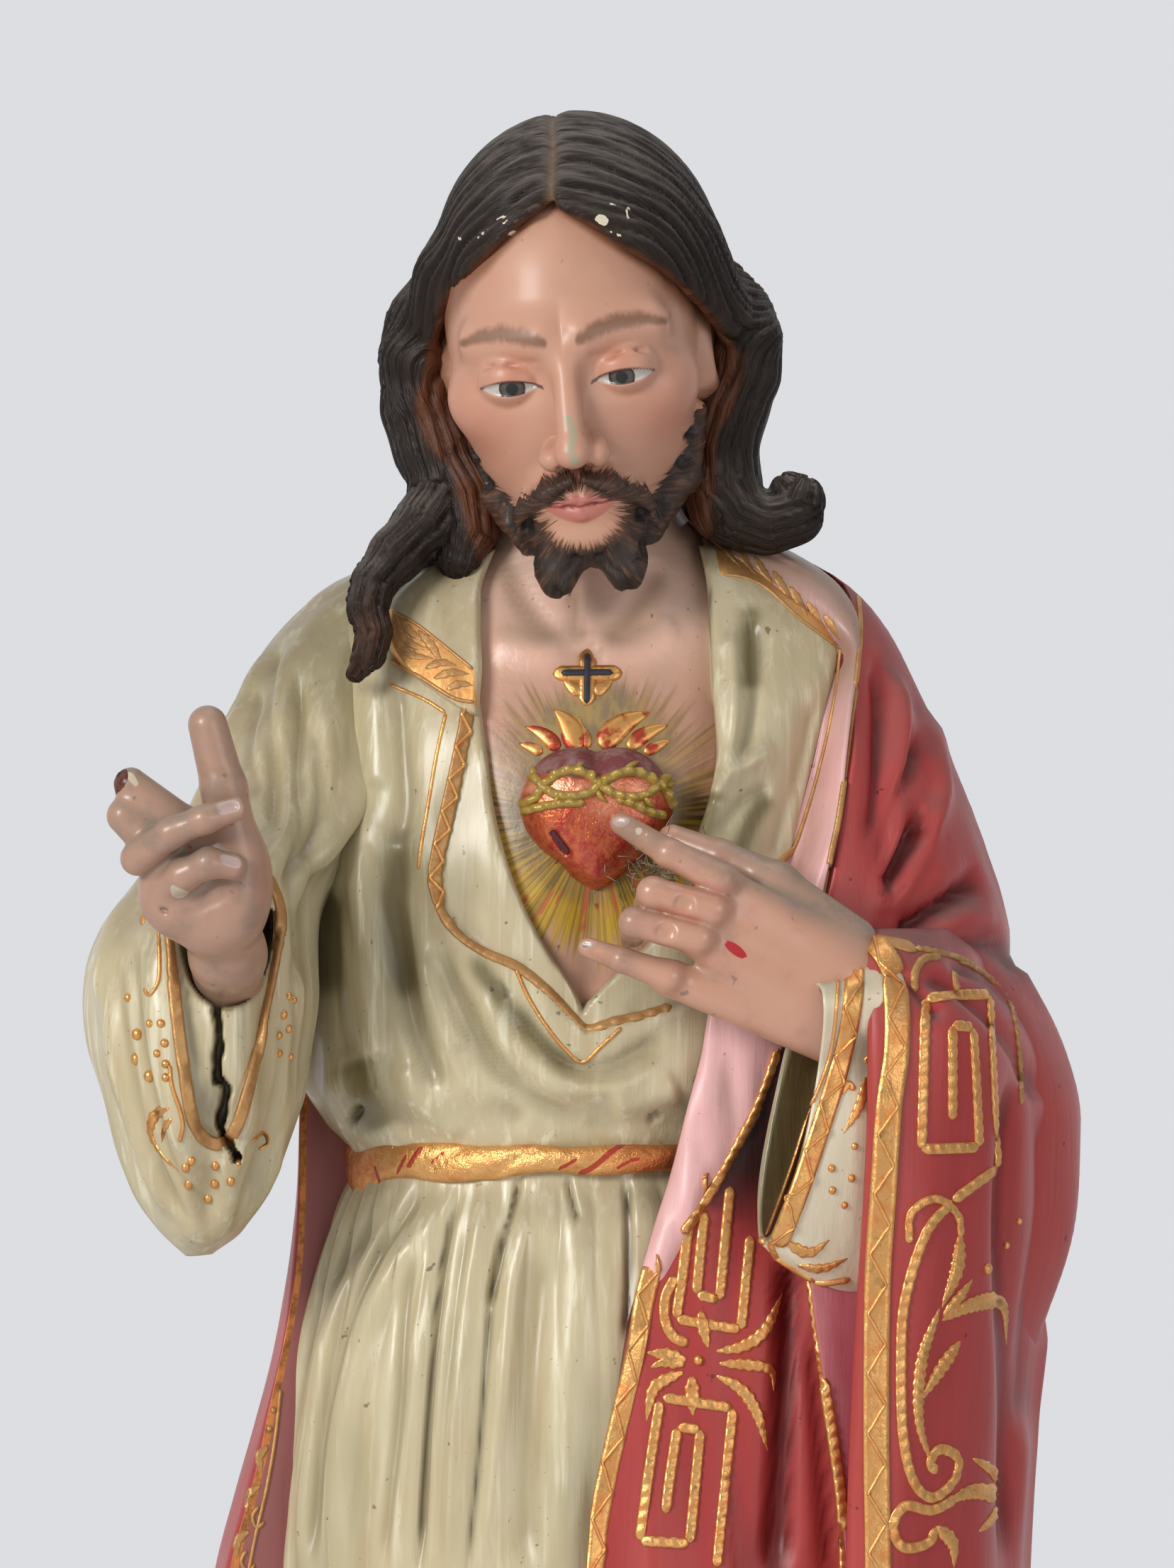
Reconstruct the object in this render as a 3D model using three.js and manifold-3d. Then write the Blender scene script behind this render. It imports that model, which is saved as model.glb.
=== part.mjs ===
// A polychrome plaster statue of the Sacred Heart: a robed and mantled standing figure cast in
// one piece with its ground, a separately cast right hand set in the open sleeve, and a low
// moulded plinth. Millimetres, +Z up. The figure faces -Y and the origin is the centre of the
// plinth's underside.
import * as THREE from 'three';
import { LoftGeometry } from 'three/addons/geometries/LoftGeometry.js';
import { mergeVertices } from 'three/addons/utils/BufferGeometryUtils.js';
import Module from 'manifold-3d';

const wasm = await Module();
wasm.setup();

// Driving dimensions
const figureHeight = 820; // from the ground's underside to the crown of the bent head
const plinthHeight = 40;
const plinthMargin = 9; // how far the plinth's top reaches past the figure's ground
const plinthChamfer = 42; // cut off each corner of the plinth, along its sides
const plinthFootStep = 11; // how far the plinth's foot stands out past its top
const groundHeight = 13;
const groundHalfWidth = 112;
const groundHalfDepth = 96;
const beltHeight = 11;
const clothThickness = 5; // tunic cloth where its opening is cut through to the chest
const wristRadius = 10.2;
const wristGap = 2.2; // open gap round the wrist where it enters the sleeve
const seatGap = 0.3; // left between pieces that touch: ground on plinth, wrist in its socket
const sleeveMouthDepth = 7;

// Every table of the figure below is written for a figure this tall and scaled to its height
const TABLE_HEIGHT = 820;
const share = figureHeight / TABLE_HEIGHT;
const figureBase = plinthHeight + seatGap;
const RAD = Math.PI / 180;

const point = (x, y, z) => new THREE.Vector3(x * share, y * share, z * share + figureBase);
const clamp = (v, low, high) => Math.min(high, Math.max(low, v));
const ease = (low, high, v) => {
  const t = clamp((v - low) / (high - low), 0, 1);
  return t * t * (3 - 2 * t);
};
const bell = (v, width) => Math.exp(-(v * v) / (width * width));

// Rows are [key, value, value, ...]; returns the values at a key on a smooth curve through them
function along(rows, key) {
  const last = rows.length - 1;
  if (key <= rows[0][0]) return rows[0].slice(1);
  if (key >= rows[last][0]) return rows[last].slice(1);
  const i = rows.findIndex((row) => row[0] > key) - 1;
  const [a, b] = [rows[i], rows[i + 1]];
  const before = rows[Math.max(i - 1, 0)];
  const after = rows[Math.min(i + 2, last)];
  const span = b[0] - a[0];
  const t = (key - a[0]) / span;
  return a.slice(1).map((_, n) => {
    const k = n + 1;
    const step = (b[k] - a[k]) / span;
    const limit = (slope) => (slope * step <= 0 ? 0 : Math.sign(step) * Math.min(Math.abs(slope), 3 * Math.abs(step)));
    const slopeA = i === 0 ? step : limit((b[k] - before[k]) / (b[0] - before[0]));
    const slopeB = i + 1 === last ? step : limit((after[k] - a[k]) / (after[0] - a[0]));
    const t2 = t * t;
    const t3 = t2 * t;
    return (
      a[k] * (2 * t3 - 3 * t2 + 1) +
      b[k] * (3 * t2 - 2 * t3) +
      span * (slopeA * (t3 - 2 * t2 + t) + slopeB * (t3 - t2))
    );
  });
}

// Solids from three.js geometries, and back
function solid(geometry) {
  const bare = geometry.index ? geometry.toNonIndexed() : geometry.clone();
  bare.deleteAttribute('normal');
  bare.deleteAttribute('uv');
  const merged = mergeVertices(bare, 1e-3);
  return new wasm.Manifold(
    new wasm.Mesh({
      numProp: 3,
      vertProperties: new Float32Array(merged.attributes.position.array),
      triVerts: new Uint32Array(merged.index.array),
    }),
  );
}

function piece(name, manifold, colour, roughness, metalness) {
  const body = manifold.getMesh();
  const geometry = new THREE.BufferGeometry()
    .setAttribute('position', new THREE.BufferAttribute(new Float32Array(body.vertProperties), 3))
    .setIndex(new THREE.BufferAttribute(new Uint32Array(body.triVerts), 1));
  geometry.computeVertexNormals();
  const mesh = new THREE.Mesh(geometry, new THREE.MeshStandardMaterial({ color: colour, roughness, metalness }));
  mesh.name = name;
  return mesh;
}

const join = (solids) => solids.reduce((whole, next) => whole.add(next));
// The outer body alone, without the closed pockets left between joined forms
const filled = (whole) => whole.decompose().reduce((most, next) => (next.volume() > most.volume() ? next : most));

function loft(sections) {
  return solid(new LoftGeometry(sections, { capStart: true, capEnd: true }));
}

// A limb: rows are [x, y, z, half width, half depth] along its middle line. The half width lies
// towards `side`. A rounded end closes like a fingertip.
function limb(rows, { side = [1, 0, 0], sides = 10, steps = 8, roundStart = false, roundEnd = true, grow = 0 } = {}) {
  const line = new THREE.CatmullRomCurve3(rows.map(([x, y, z]) => point(x, y, z)), false, 'centripetal');
  const radii = rows.map(([, , , a, b], i) => [i / (rows.length - 1), a, b]);
  const sections = [];
  for (let i = 0; i <= steps; i++) {
    const t = i / steps;
    const centre = line.getPoint(t);
    const tangent = line.getTangent(t);
    const across = new THREE.Vector3(...side);
    across.addScaledVector(tangent, -across.dot(tangent)).normalize();
    const over = new THREE.Vector3().crossVectors(tangent, across);
    const [a, b] = along(radii, t).map((r) => r * share + grow);
    const toEnd = roundEnd ? clamp((1 - t) * steps * 0.5 + 0.12, 0, 1) : 1;
    const toStart = roundStart ? clamp(t * steps * 0.5 + 0.12, 0, 1) : 1;
    const closing = Math.sqrt(1 - (1 - toEnd) ** 2) * Math.sqrt(1 - (1 - toStart) ** 2);
    sections.push(
      Array.from({ length: sides }, (_, j) => {
        const angle = (j / sides) * 2 * Math.PI;
        return centre
          .clone()
          .addScaledVector(across, Math.cos(angle) * a * closing)
          .addScaledVector(over, Math.sin(angle) * b * closing);
      }),
    );
  }
  return loft(sections);
}

// Level slices: rows are [z, half width, half depth, centre x, centre y]. `fold` adds to a radius.
const levels = (low, high, count) => Array.from({ length: count + 1 }, (_, i) => low + ((high - low) * i) / count);
const ring = (sides) => levels(0, 2 * Math.PI, sides).slice(0, -1);

function slices(rows, heights, angles, fold = () => 0, sway = () => 0) {
  return loft(
    heights.map((z) => {
      const [a, b, x, y] = along(rows, z);
      return angles.map((angle) => {
        const turned = angle + sway(angle, z);
        const [dx, dy] = [a * Math.cos(turned), b * Math.sin(turned)];
        const out = 1 + fold(angle, z, x + dx) / Math.hypot(dx, dy);
        return point(x + dx * out, y + dy * out, z);
      });
    }),
  );
}

// Tunic: half width, half depth and centre by height
const TUNIC = [
  [4, 96, 72, -3, 0],
  [110, 92, 68, -3, 0],
  [260, 91, 64, -1, 0],
  [410, 91.5, 60, 0, 0],
  [466, 84, 57, 0, 0],
  [508, 70, 51, 0, 0],
  [526, 62, 46, 0, 0],
  [536, 65, 49, 0, 0],
  [548, 70, 55, 0, 0],
  [600, 73, 56, 0, -1],
  [630, 76, 53, 0, 0],
  [655, 82, 47, 0, 2],
  [672, 83, 41, 0, 4],
  [686, 73, 35, 0, 6],
  [696, 52, 31, 0, 7],
  [704, 32, 27, 1, 7],
];
const SKIRT_FOLDS = 20;
const BELT_LEVEL = 527;
// Folds show where the mantle leaves the tunic bare, from its right side round to the front,
// so more of its outline's points lie there, four to each fold
const foldTurn = 360 / SKIRT_FOLDS;
const tunicAngles = [
  ...levels(8 * foldTurn, 16.5 * foldTurn, 34),
  ...levels(16.5 * foldTurn, 28 * foldTurn, 8).slice(1, -1),
].map((degrees) => degrees * RAD);

const crease = (phase) => 1 - 2 * Math.abs(Math.sin(phase / 2)) ** 0.7;
const tunicSway = (angle, z) => ease(500, 380, z) * (0.05 * Math.sin(3 * angle + 1) + 0.03 * Math.sin(z * 0.017 + 4 * angle));

function tunicFold(angle, z, x) {
  const below = ease(BELT_LEVEL - 4, BELT_LEVEL - 110, z);
  const depth = 2.2 + 1.6 * ease(430, 60, z) + 0.9 * Math.sin(2.7 * angle + 0.6);
  const knee = 9 * bell(Math.atan2(Math.sin(angle + 1.95), Math.cos(angle + 1.95)), 0.45) * bell(z - 225, 95);
  const skirt = knee - depth * below * (1 - 0.06 * knee) * crease(SKIRT_FOLDS * angle);
  const above = ease(BELT_LEVEL + 5, BELT_LEVEL + 30, z) * (1 - ease(640, 685, z));
  const sag = 556 + 0.03 * x * x;
  const front = ease(0.2, 0.7, -Math.sin(angle));
  const drape = 2.6 * front * Math.cos(((z - sag) / 17) * Math.PI) * (1 - ease(612, 640, z));
  return skirt + above * (drape + 1.5 * Math.cos(13 * angle - 0.03 * z));
}

// The tunic's front surface, for what lies on it
function tunicFront(x, z) {
  const [a, b, cx, cy] = along(TUNIC, z);
  return cy - b * Math.sqrt(Math.max(1 - ((x - cx) / a) ** 2, 0.04));
}

// The chest's opening in the tunic: its two edges by height
const OPENING = [
  [570, 0, 1],
  [574, -2, 5],
  [579, -5, 10],
  [587, -10.5, 18.5],
  [599, -16.5, 29],
  [613, -21.5, 38],
  [626, -24.5, 41],
  [639, -26, 40],
  [654, -28, 36.5],
  [672, -29, 35.5],
  [704, -27, 33.5],
];

function tunic() {
  const heights = [...levels(4, 440, 5), 474, 500, 515, 524, 531, ...levels(538, 620, 6), ...levels(640, 696, 2), 704];
  const cloth = slices(TUNIC, heights, tunicAngles, tunicFold, tunicSway);
  const outline = new THREE.Shape();
  const edge = OPENING.map(([z]) => z);
  edge.forEach((z, i) => {
    const x = along(OPENING, z)[0] * share;
    if (i === 0) outline.moveTo(x, z * share);
    else outline.lineTo(x, z * share);
  });
  outline.lineTo(5 * share, 740 * share);
  edge.reverse().forEach((z) => outline.lineTo(along(OPENING, z)[1] * share, z * share));
  const cutter = new THREE.ExtrudeGeometry(outline, { depth: 80 * share, bevelEnabled: false });
  cutter.rotateX(Math.PI / 2);
  cutter.translate(0, -16 * share, figureBase);
  const thick = clothThickness / share;
  const chest = TUNIC.filter(([z]) => z > BELT_LEVEL).map(([z, a, b, x, y]) => [z, a - thick, b - thick, x, y]);
  return join([cloth.subtract(solid(cutter)), slices(chest, levels(545, 704, 7), ring(18))]);
}

// A strip of cloth lying on the tunic: rows are [z, left x, right x]; it stands out by `raise`
function laidStrip(rows, heights, raise, across = 5) {
  return loft(
    heights.map((z) => {
      const [left, right] = along(rows, z);
      const over = levels(left, right, across).map((x) => point(x, tunicFront(x, z) - raise, z));
      const under = levels(right, left, 2).map((x) => point(x, tunicFront(x, z) + 8, z));
      return [...over, ...under];
    }),
  );
}

// Turned collar on the right shoulder, and the broad lapel on the left side of the chest
const COLLAR = [[650, -31, -28.5], [656, -40, -28], [664, -50, -27.5], [674, -55, -28], [684, -52, -28], [697, -37, -24]];
const LAPEL = [
  [588, 27, 46],
  [603, 28, 55],
  [614, 31, 60],
  [626, 35, 62.5],
  [640, 37.5, 66],
  [655, 36.5, 69.5],
  [668, 36, 72.5],
  [676, 35.5, 68],
  [687, 35, 54],
  [698, 33, 42],
];

const collar = () => laidStrip(COLLAR, levels(650, 697, 5), 3.5, 3);
const lapel = () => laidStrip(LAPEL, levels(588, 698, 8), 7);

const neck = () => limb([[2, 9, 690, 27, 25], [1, 2, 712, 24, 24], [0, -8, 740, 23, 24]], { sides: 16, steps: 3, roundEnd: false });

function belt() {
  const rows = levels(-1, 1, 3).map((t) => {
    const swell = Math.sqrt(1 - t * t) * 3.4 + 1.4;
    return [BELT_LEVEL + (t * beltHeight) / 2 / share, 62.5 + swell, 46.5 + swell, 0, 0];
  });
  return slices(rows, rows.map(([z]) => z), ring(28));
}

// Mantle: half width towards the left arm, half width towards the right side, front, back
const MANTLE = [
  [6, 122, 104, 82, 88],
  [200, 119, 104, 73, 80],
  [410, 120, 104, 66, 74],
  [451, 126, 93, 64, 71],
  [472, 128, 85, 63, 69],
  [508, 139, 81, 61, 67],
  [536, 141, 79, 60, 66],
  [556, 136, 77, 60, 66],
  [583, 123, 76, 60, 65],
  [603, 117, 74, 60, 64],
  [631, 107, 72, 57, 60],
  [661, 93, 68, 52, 55],
  [676, 85, 62, 46, 50],
  [688, 74, 52, 38, 42],
  [699, 54, 36, 32, 34],
  [706, 34, 24, 27, 28],
];
// Where the mantle's front edge runs across the figure, as x by height
const MANTLE_EDGE = [
  [6, -20],
  [180, -17],
  [300, -11],
  [410, 1.5],
  [454, 9],
  [487, 15],
  [514, 28],
  [534, 41],
  [560, 55],
  [600, 68],
  [620, 72],
  [653, 77],
  [680, 76],
  [690, 70],
  [706, 34],
];
// Where it ends on the far side, as an angle by height
const MANTLE_END = [
  [6, 196],
  [410, 192],
  [500, 186],
  [560, 172],
  [620, 140],
  [670, 118],
  [706, 104],
];
const MANTLE_FOLDS = 10;

function mantleRadius(angle, z) {
  const [left, right, front, back] = along(MANTLE, z);
  const a = Math.cos(angle) > 0 ? left : right;
  const b = Math.sin(angle) > 0 ? back : front;
  const power = 2.25;
  const plain = (Math.abs(Math.cos(angle) / a) ** power + Math.abs(Math.sin(angle) / b) ** power) ** (-1 / power);
  const depth = 1.5 + 3 * ease(620, 200, z);
  const fade = 1 - ease(640, 700, z);
  return plain + depth * fade * Math.cos(MANTLE_FOLDS * angle + 1.1 * Math.sin(2 * angle + z * 0.006));
}

function mantle() {
  const heights = [...levels(6, 400, 4), ...levels(440, 560, 4), ...levels(582, 690, 5), 699, 706];
  const outer = 26;
  const inner = 4;
  return loft(
    heights.map((z) => {
      const [left, , front] = along(MANTLE, z);
      const x = along(MANTLE_EDGE, z)[0];
      const start = Math.atan2(-front * (1 - Math.abs(x / left) ** 2.25) ** (1 / 2.25), x);
      const end = along(MANTLE_END, z)[0] * RAD;
      const ring = levels(start, end, outer - 1).map((angle) => {
        const r = mantleRadius(angle, z);
        return point(r * Math.cos(angle), r * Math.sin(angle), z);
      });
      levels(end, start, inner - 1).forEach((angle) => {
        const r = 0.5 * mantleRadius(angle, z);
        ring.push(point(r * Math.cos(angle), r * Math.sin(angle), z));
      });
      return ring;
    }),
  );
}

// The mantle's front surface, for the lining that shows along its edge
function mantleFront(x, z) {
  const [left, , front] = along(MANTLE, z);
  return -front * Math.max(1 - Math.abs(x / left) ** 2.25, 0.02) ** (1 / 2.25);
}

// The pink lining, from the lapel over the shoulder to the mantle's edge: height, left, right
const SHOULDER_LINING = [[585, 42, 62], [607, 55, 68], [639, 65, 73.5], [654, 68, 75.5], [668, 71, 77.5], [676, 66, 77.5], [683, 58, 75], [690, 50, 69], [698, 38, 56], [705, 30, 36]];
// Its turn beside the belt, and its sheet behind the mantle's fall
const LINING_TURN = [[486, 14, 19], [493, 14, 24], [509, 20, 31], [525, 25, 40], [541, 29, 50], [556, 33, 56], [575, 36, 60]];
const LINING_SHEET = [[150, 74, 92], [300, 74, 92], [410, 73, 90], [455, 68, 90], [492, 63, 88], [520, 60, 84]];

function liningStrip(rows, across, surface, thick) {
  return loft(
    rows.map(([z, left, right]) => {
      const over = levels(0, 1, across).map((t) => {
        const x = left + (right - left) * t;
        return point(x, surface(x, z, t), z);
      });
      return [...over, point(right, surface(right, z, 1) + thick, z), point(left, surface(left, z, 0) + thick, z)];
    }),
  );
}

const linings = () =>
  join([
    liningStrip(SHOULDER_LINING, 4, (x, z, t) => {
      const near = tunicFront(x, z) - 4.5;
      return near + (mantleFront(x, z) - 1 - near) * ease(0, 1, t);
    }, 9),
    liningStrip(LINING_TURN, 4, (x, z, t) => mantleFront(x, z) + 1 - 3.5 * Math.max(Math.sin(Math.PI * t), 0) ** 0.6, 9),
    liningStrip(LINING_SHEET, 2, (x, z, t) => 8 * t - 76, 10),
  ]);

// The fall of the mantle over the left forearm: its near border and its far side, by height
const FALL = [
  [150, 70, -62, 116, -20],
  [185, 72, -74, 122, -8],
  [300, 73, -80, 124, 0],
  [410, 75, -84, 127, 2],
  [470, 77, -86, 131, 2],
  [520, 80, -88, 137, 0],
  [550, 81, -89, 134, -2],
  [570, 81, -87, 126, -6],
  [584, 80, -80, 114, -10],
  [591, 80, -68, 104, -14],
];

function mantleFall() {
  const across = 10;
  return loft(
    [150, 185, ...levels(250, 530, 5), 552, 570, 582, 591].map((z) => {
      const [x0, y0, x1, y1] = along(FALL, z);
      const bend = ease(591, 560, z);
      const outer = levels(0, 1, across).map((t) => {
        const bulge = Math.sin(Math.PI * t ** 0.8) * (10 + 5 * bend) + Math.cos(t * 15 - 0.6) * 1.6 * ease(560, 380, z) * Math.sin(Math.PI * t);
        return point(x0 + (x1 - x0) * t + bulge * 0.7, y0 + (y1 - y0) * t - bulge, z);
      });
      return [...outer, point(x1 - 30, y1 + 24, z), point(x0 - 6, y0 + 44, z), point(x0 - 3, y0 + 6, z)];
    }),
  );
}

// Right sleeve: a hanging bag from shoulder to elbow to its point
const RIGHT_SLEEVE = [
  [501, 4, 6, -97, -50],
  [508, 12, 20, -98, -48],
  [523, 21, 32, -99, -46],
  [541, 28, 42, -100, -45],
  [560, 33, 45, -101, -43],
  [573, 35, 46, -100, -41],
  [590, 34, 45, -97, -37],
  [604, 29, 42, -91, -30],
  [625, 27, 35, -82, -14],
  [648, 26, 32, -74, -3],
  [670, 23, 27, -66, 4],
  [686, 16, 21, -56, 7],
  [693, 8, 13, -48, 7],
];
const MOUTH_HALF_WIDTH = 14;
const MOUTH_HALF_HEIGHT = 33;
const MOUTH = [-97, -81, 562]; // middle of the mouth, a long round opening in the sleeve's front
const MOUTH_INWARD = [0, 0.958, -0.287];
const SOCKET = [[-96, -98, 594], [-96, -88, 585], [-97, -62, 574]];

// The wrist's middle line goes down and back into the sleeve; `grow` opens the socket round it
const wristLine = (radius, grow, roundEnd) =>
  limb(SOCKET.map(([x, y, z]) => [x, y, z, radius / share, (radius * 0.92) / share]), { sides: 14, steps: 3, grow, roundEnd });

function rightSleeve() {
  const heights = RIGHT_SLEEVE.map(([z]) => z);
  const bag = slices(RIGHT_SLEEVE, heights, ring(20), (angle, z) => 1.6 * Math.cos(9 * angle + z * 0.03) * ease(690, 640, z) * ease(503, 520, z));
  const reach = (far, narrow) => [
    ...MOUTH.map((v, i) => v + MOUTH_INWARD[i] * far),
    MOUTH_HALF_WIDTH - narrow,
    MOUTH_HALF_HEIGHT - narrow,
  ];
  const mouth = limb([reach(-34, 0), reach(sleeveMouthDepth / share, 2.5)], { sides: 20, steps: 1, roundEnd: false });
  return bag.subtract(mouth).subtract(wristLine(wristRadius, wristGap, false));
}

// Left forearm inside the mantle, and the open cuff of the tunic's sleeve round the wrist
const leftArm = () =>
  limb([[68, 6, 664, 18, 28], [92, 8, 615, 22, 36], [106, -6, 562, 26, 40], [98, -46, 558, 22, 26], [82, -70, 568, 15, 17]], {
    sides: 10,
    steps: 6,
    roundEnd: false,
    roundStart: true,
  });

const LEFT_CUFF = [[98, -48, 536, 12, 32], [84, -62, 529, 14, 37], [70, -70, 531, 14.5, 39], [57, -76, 536, 13, 36]];
const LEFT_CUFF_BORE = [[86, -60, 532, 8, 28], [69, -70.5, 531, 11.5, 34], [46, -81, 537, 11, 34]];

function leftCuff() {
  const side = [0.5, -0.86, 0];
  const bell = limb(LEFT_CUFF, { side, sides: 16, steps: 4, roundEnd: false });
  return bell.subtract(limb(LEFT_CUFF_BORE, { side, sides: 16, steps: 2, roundEnd: false }));
}

// Fingers: rows as in limb, from knuckle to tip
const LEFT_PALM = [[84, -66, 566, 13, 11], [68, -76, 571, 15, 11], [52, -82, 577, 17.5, 9.5], [37, -82, 587, 18.5, 8], [26, -79, 595, 14, 6]];
const LEFT_FINGERS = [
  [[38, -84, 607, 5.4, 5.2], [25, -84, 614, 4.6, 4.6], [8, -70, 622, 3.6, 3.4]],
  [[32, -82, 600, 5, 5], [20, -86, 604, 4.4, 4.4], [14, -78, 603, 4, 4]],
  [[28, -82, 591, 5, 5], [16, -85, 594, 4.3, 4.3], [10, -76, 593, 3.8, 3.8]],
  [[26, -81, 582, 4.8, 4.8], [12, -81, 585, 4, 4], [-1, -72, 587, 3, 3]],
  [[56, -76, 598, 6, 6], [40, -68, 610, 5.5, 5.5], [23, -63, 619, 4.2, 4.2]],
];

const leftHand = () =>
  join([
    limb(LEFT_PALM, { side: [0.35, 0, 1], sides: 12, steps: 5 }),
    ...LEFT_FINGERS.map((rows) => limb(rows, { side: [0, 0, 1], sides: 7, steps: 4 })),
  ]);

const RIGHT_PALM = [[-96, -94, 588, 9.5, 8], [-100, -101, 599, 16, 9], [-103, -104, 609, 18, 8.5], [-106, -105, 619, 17, 8], [-107, -104, 629, 11, 6.5]];
const RIGHT_FINGERS = [
  [[-94, -103, 612, 8.5, 7.5], [-97, -105, 632, 6, 5.6], [-101, -107, 651, 5.2, 4.4]],
  [[-110, -104, 622, 7.5, 7], [-118, -105, 628, 6.2, 6.2], [-125, -105, 633, 4.4, 4.6]],
  [[-113, -106, 614, 7, 7], [-120, -107, 620, 6.4, 6.4], [-123, -107, 626, 4.8, 4.8]],
  [[-117, -106, 611, 5.8, 5.8], [-113, -114, 615, 5.1, 5.1], [-101, -118, 621, 4.5, 4.5], [-91, -115, 624, 3.6, 3.6]],
  [[-111, -107, 603, 5.4, 5.4], [-109, -114, 606, 4.8, 4.8], [-101, -116, 608, 4.2, 4.2], [-92, -113, 609, 3.4, 3.4]],
];

const rightHand = () =>
  join([
    wristLine(wristRadius, -seatGap, false).subtract(socketFloor()),
    limb(RIGHT_PALM, { sides: 12, steps: 5, roundStart: true }),
    ...RIGHT_FINGERS.map((rows) => limb(rows, { side: [0, 0, 1], sides: 6, steps: 4 })),
  ]);

// A slab under the wrist's end that keeps it off the socket's bottom
function socketFloor() {
  const end = point(...SOCKET[2]);
  const before = point(...SOCKET[1]);
  const line = end.clone().sub(before).normalize();
  const slab = new THREE.CylinderGeometry(40 * share, 40 * share, 20, 12);
  slab.applyQuaternion(new THREE.Quaternion().setFromUnitVectors(new THREE.Vector3(0, 1, 0), line));
  const middle = end.addScaledVector(line, 10 - seatGap);
  slab.translate(middle.x, middle.y, middle.z);
  return solid(slab);
}

// Head: distances from smoothly joined ellipsoids and capsules, in a frame with its origin in
// the middle of the head, -Y the way it faces
const HEAD_PLACE = [-2, -20, 756];
const HEAD_TURN = [17, -6, -5]; // nod, lean and turn, in degrees
const headTurn = new THREE.Matrix4().makeRotationFromEuler(
  new THREE.Euler(HEAD_TURN[0] * RAD, HEAD_TURN[1] * RAD, HEAD_TURN[2] * RAD, 'ZYX'),
);

const blend = (a, b, k) => Math.min(a, b) - (Math.max(k - Math.abs(a - b), 0) / k) ** 2 * k * 0.25;
const carve = (a, b, k) => -blend(-a, b, k);

function ellipsoid([x, y, z], [cx, cy, cz], [a, b, c]) {
  const [dx, dy, dz] = [x - cx, y - cy, z - cz];
  const near = Math.hypot(dx / a, dy / b, dz / c);
  return (near * (near - 1)) / Math.max(Math.hypot(dx / (a * a), dy / (b * b), dz / (c * c)), 1e-9);
}

function capsule([x, y, z], [ax, ay, az, ra], [bx, by, bz, rb]) {
  const [vx, vy, vz] = [bx - ax, by - ay, bz - az];
  const t = clamp(((x - ax) * vx + (y - ay) * vy + (z - az) * vz) / (vx * vx + vy * vy + vz * vz), 0, 1);
  return Math.hypot(x - ax - vx * t, y - ay - vy * t, z - az - vz * t) - ra - (rb - ra) * t;
}

function face(p) {
  const q = [Math.abs(p[0]), p[1], p[2]];
  let d = ellipsoid(p, [0, 6, 13], [36, 43, 40]);
  d = blend(d, ellipsoid(p, [0, -12, -12], [32.5, 32, 41]), 12);
  d = blend(d, ellipsoid(q, [23, -25, -9], [11, 11, 9]), 10);
  d = blend(d, ellipsoid(p, [0, -31, -43], [17, 17, 14]), 9);
  d = blend(d, capsule(q, [5, -40, 8, 4.5], [24, -32, 8, 4.5]), 7);
  d = carve(d, ellipsoid(q, [15.5, -49, -1], [9, 9, 6]), 6);
  d = blend(d, ellipsoid(q, [15.5, -35.5, -1], [8.6, 8.2, 7.6]), 1.5);
  d = blend(d, capsule(p, [0, -42, 5, 3.4], [0, -54, -20, 4.6]), 4);
  d = blend(d, ellipsoid(q, [5.6, -49, -22], [4.4, 5, 4]), 3);
  d = blend(d, ellipsoid(p, [0, -42, -35], [13, 8, 8]), 6);
  d = blend(d, capsule(q, [0, -48.5, -38.5, 3], [9, -44, -37, 2]), 2.5);
  return blend(d, ellipsoid(q, [37, 2, -10], [5, 9, 15]), 3);
}

function beard(p) {
  const q = [Math.abs(p[0]), p[1], p[2]];
  let d = ellipsoid(p, [0, -33, -48], [21, 17, 12]);
  d = blend(d, capsule(q, [31, -6, -26, 5], [21, -28, -47, 7]), 6);
  d = blend(d, capsule(q, [7, -40, -52, 7.5], [9, -42, -62, 5]), 3);
  return blend(d, capsule(q, [3, -50, -29, 2.2], [15, -43, -37, 2.6]), 3);
}

// Hair of the head: a crown parted in the middle, full sides and the fall behind the neck
function hairMass(p) {
  const q = [Math.abs(p[0]), p[1], p[2]];
  let d = ellipsoid(q, [8, 7, 17], [36, 49, 45]);
  d = blend(d, capsule(q, [36, -2, 22, 17], [44, 4, -8, 14]), 10);
  d = blend(d, capsule(q, [44, 4, -8, 14], [36, 12, -44, 13]), 6);
  d = blend(d, capsule(q, [12, 22, -4, 30], [14, 34, -62, 24]), 10);
  d = blend(d, capsule(q, [16, -22, 46, 9], [36, -18, 14, 8.5]), 8);
  return carve(d, ellipsoid(p, [0, -52, -16], [33, 40, 50]), 4);
}

// A closed surface found by walking in from outside along rays, which lie closer together
// towards the face
const RAY_SHIFT = 0.45;

function cast(distance, around, upright, centre) {
  const ball = new THREE.SphereGeometry(1, around, upright).rotateX(Math.PI / 2);
  const at = ball.attributes.position;
  const ray = new THREE.Vector3();
  for (let i = 0; i < at.count; i++) {
    ray.fromBufferAttribute(at, i).setY(at.getY(i) - RAY_SHIFT).normalize();
    let reach = 110;
    for (let n = 0; n < 90; n++) {
      const gap = distance([centre[0] + ray.x * reach, centre[1] + ray.y * reach, centre[2] + ray.z * reach]);
      reach -= gap * 0.8;
      if (gap < 0.02) break;
    }
    ray.multiplyScalar(reach).add(new THREE.Vector3(...centre)).applyMatrix4(headTurn);
    const placed = point(ray.x + HEAD_PLACE[0], ray.y + HEAD_PLACE[1], ray.z + HEAD_PLACE[2]);
    at.setXYZ(i, placed.x, placed.y, placed.z);
  }
  return solid(ball);
}

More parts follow.
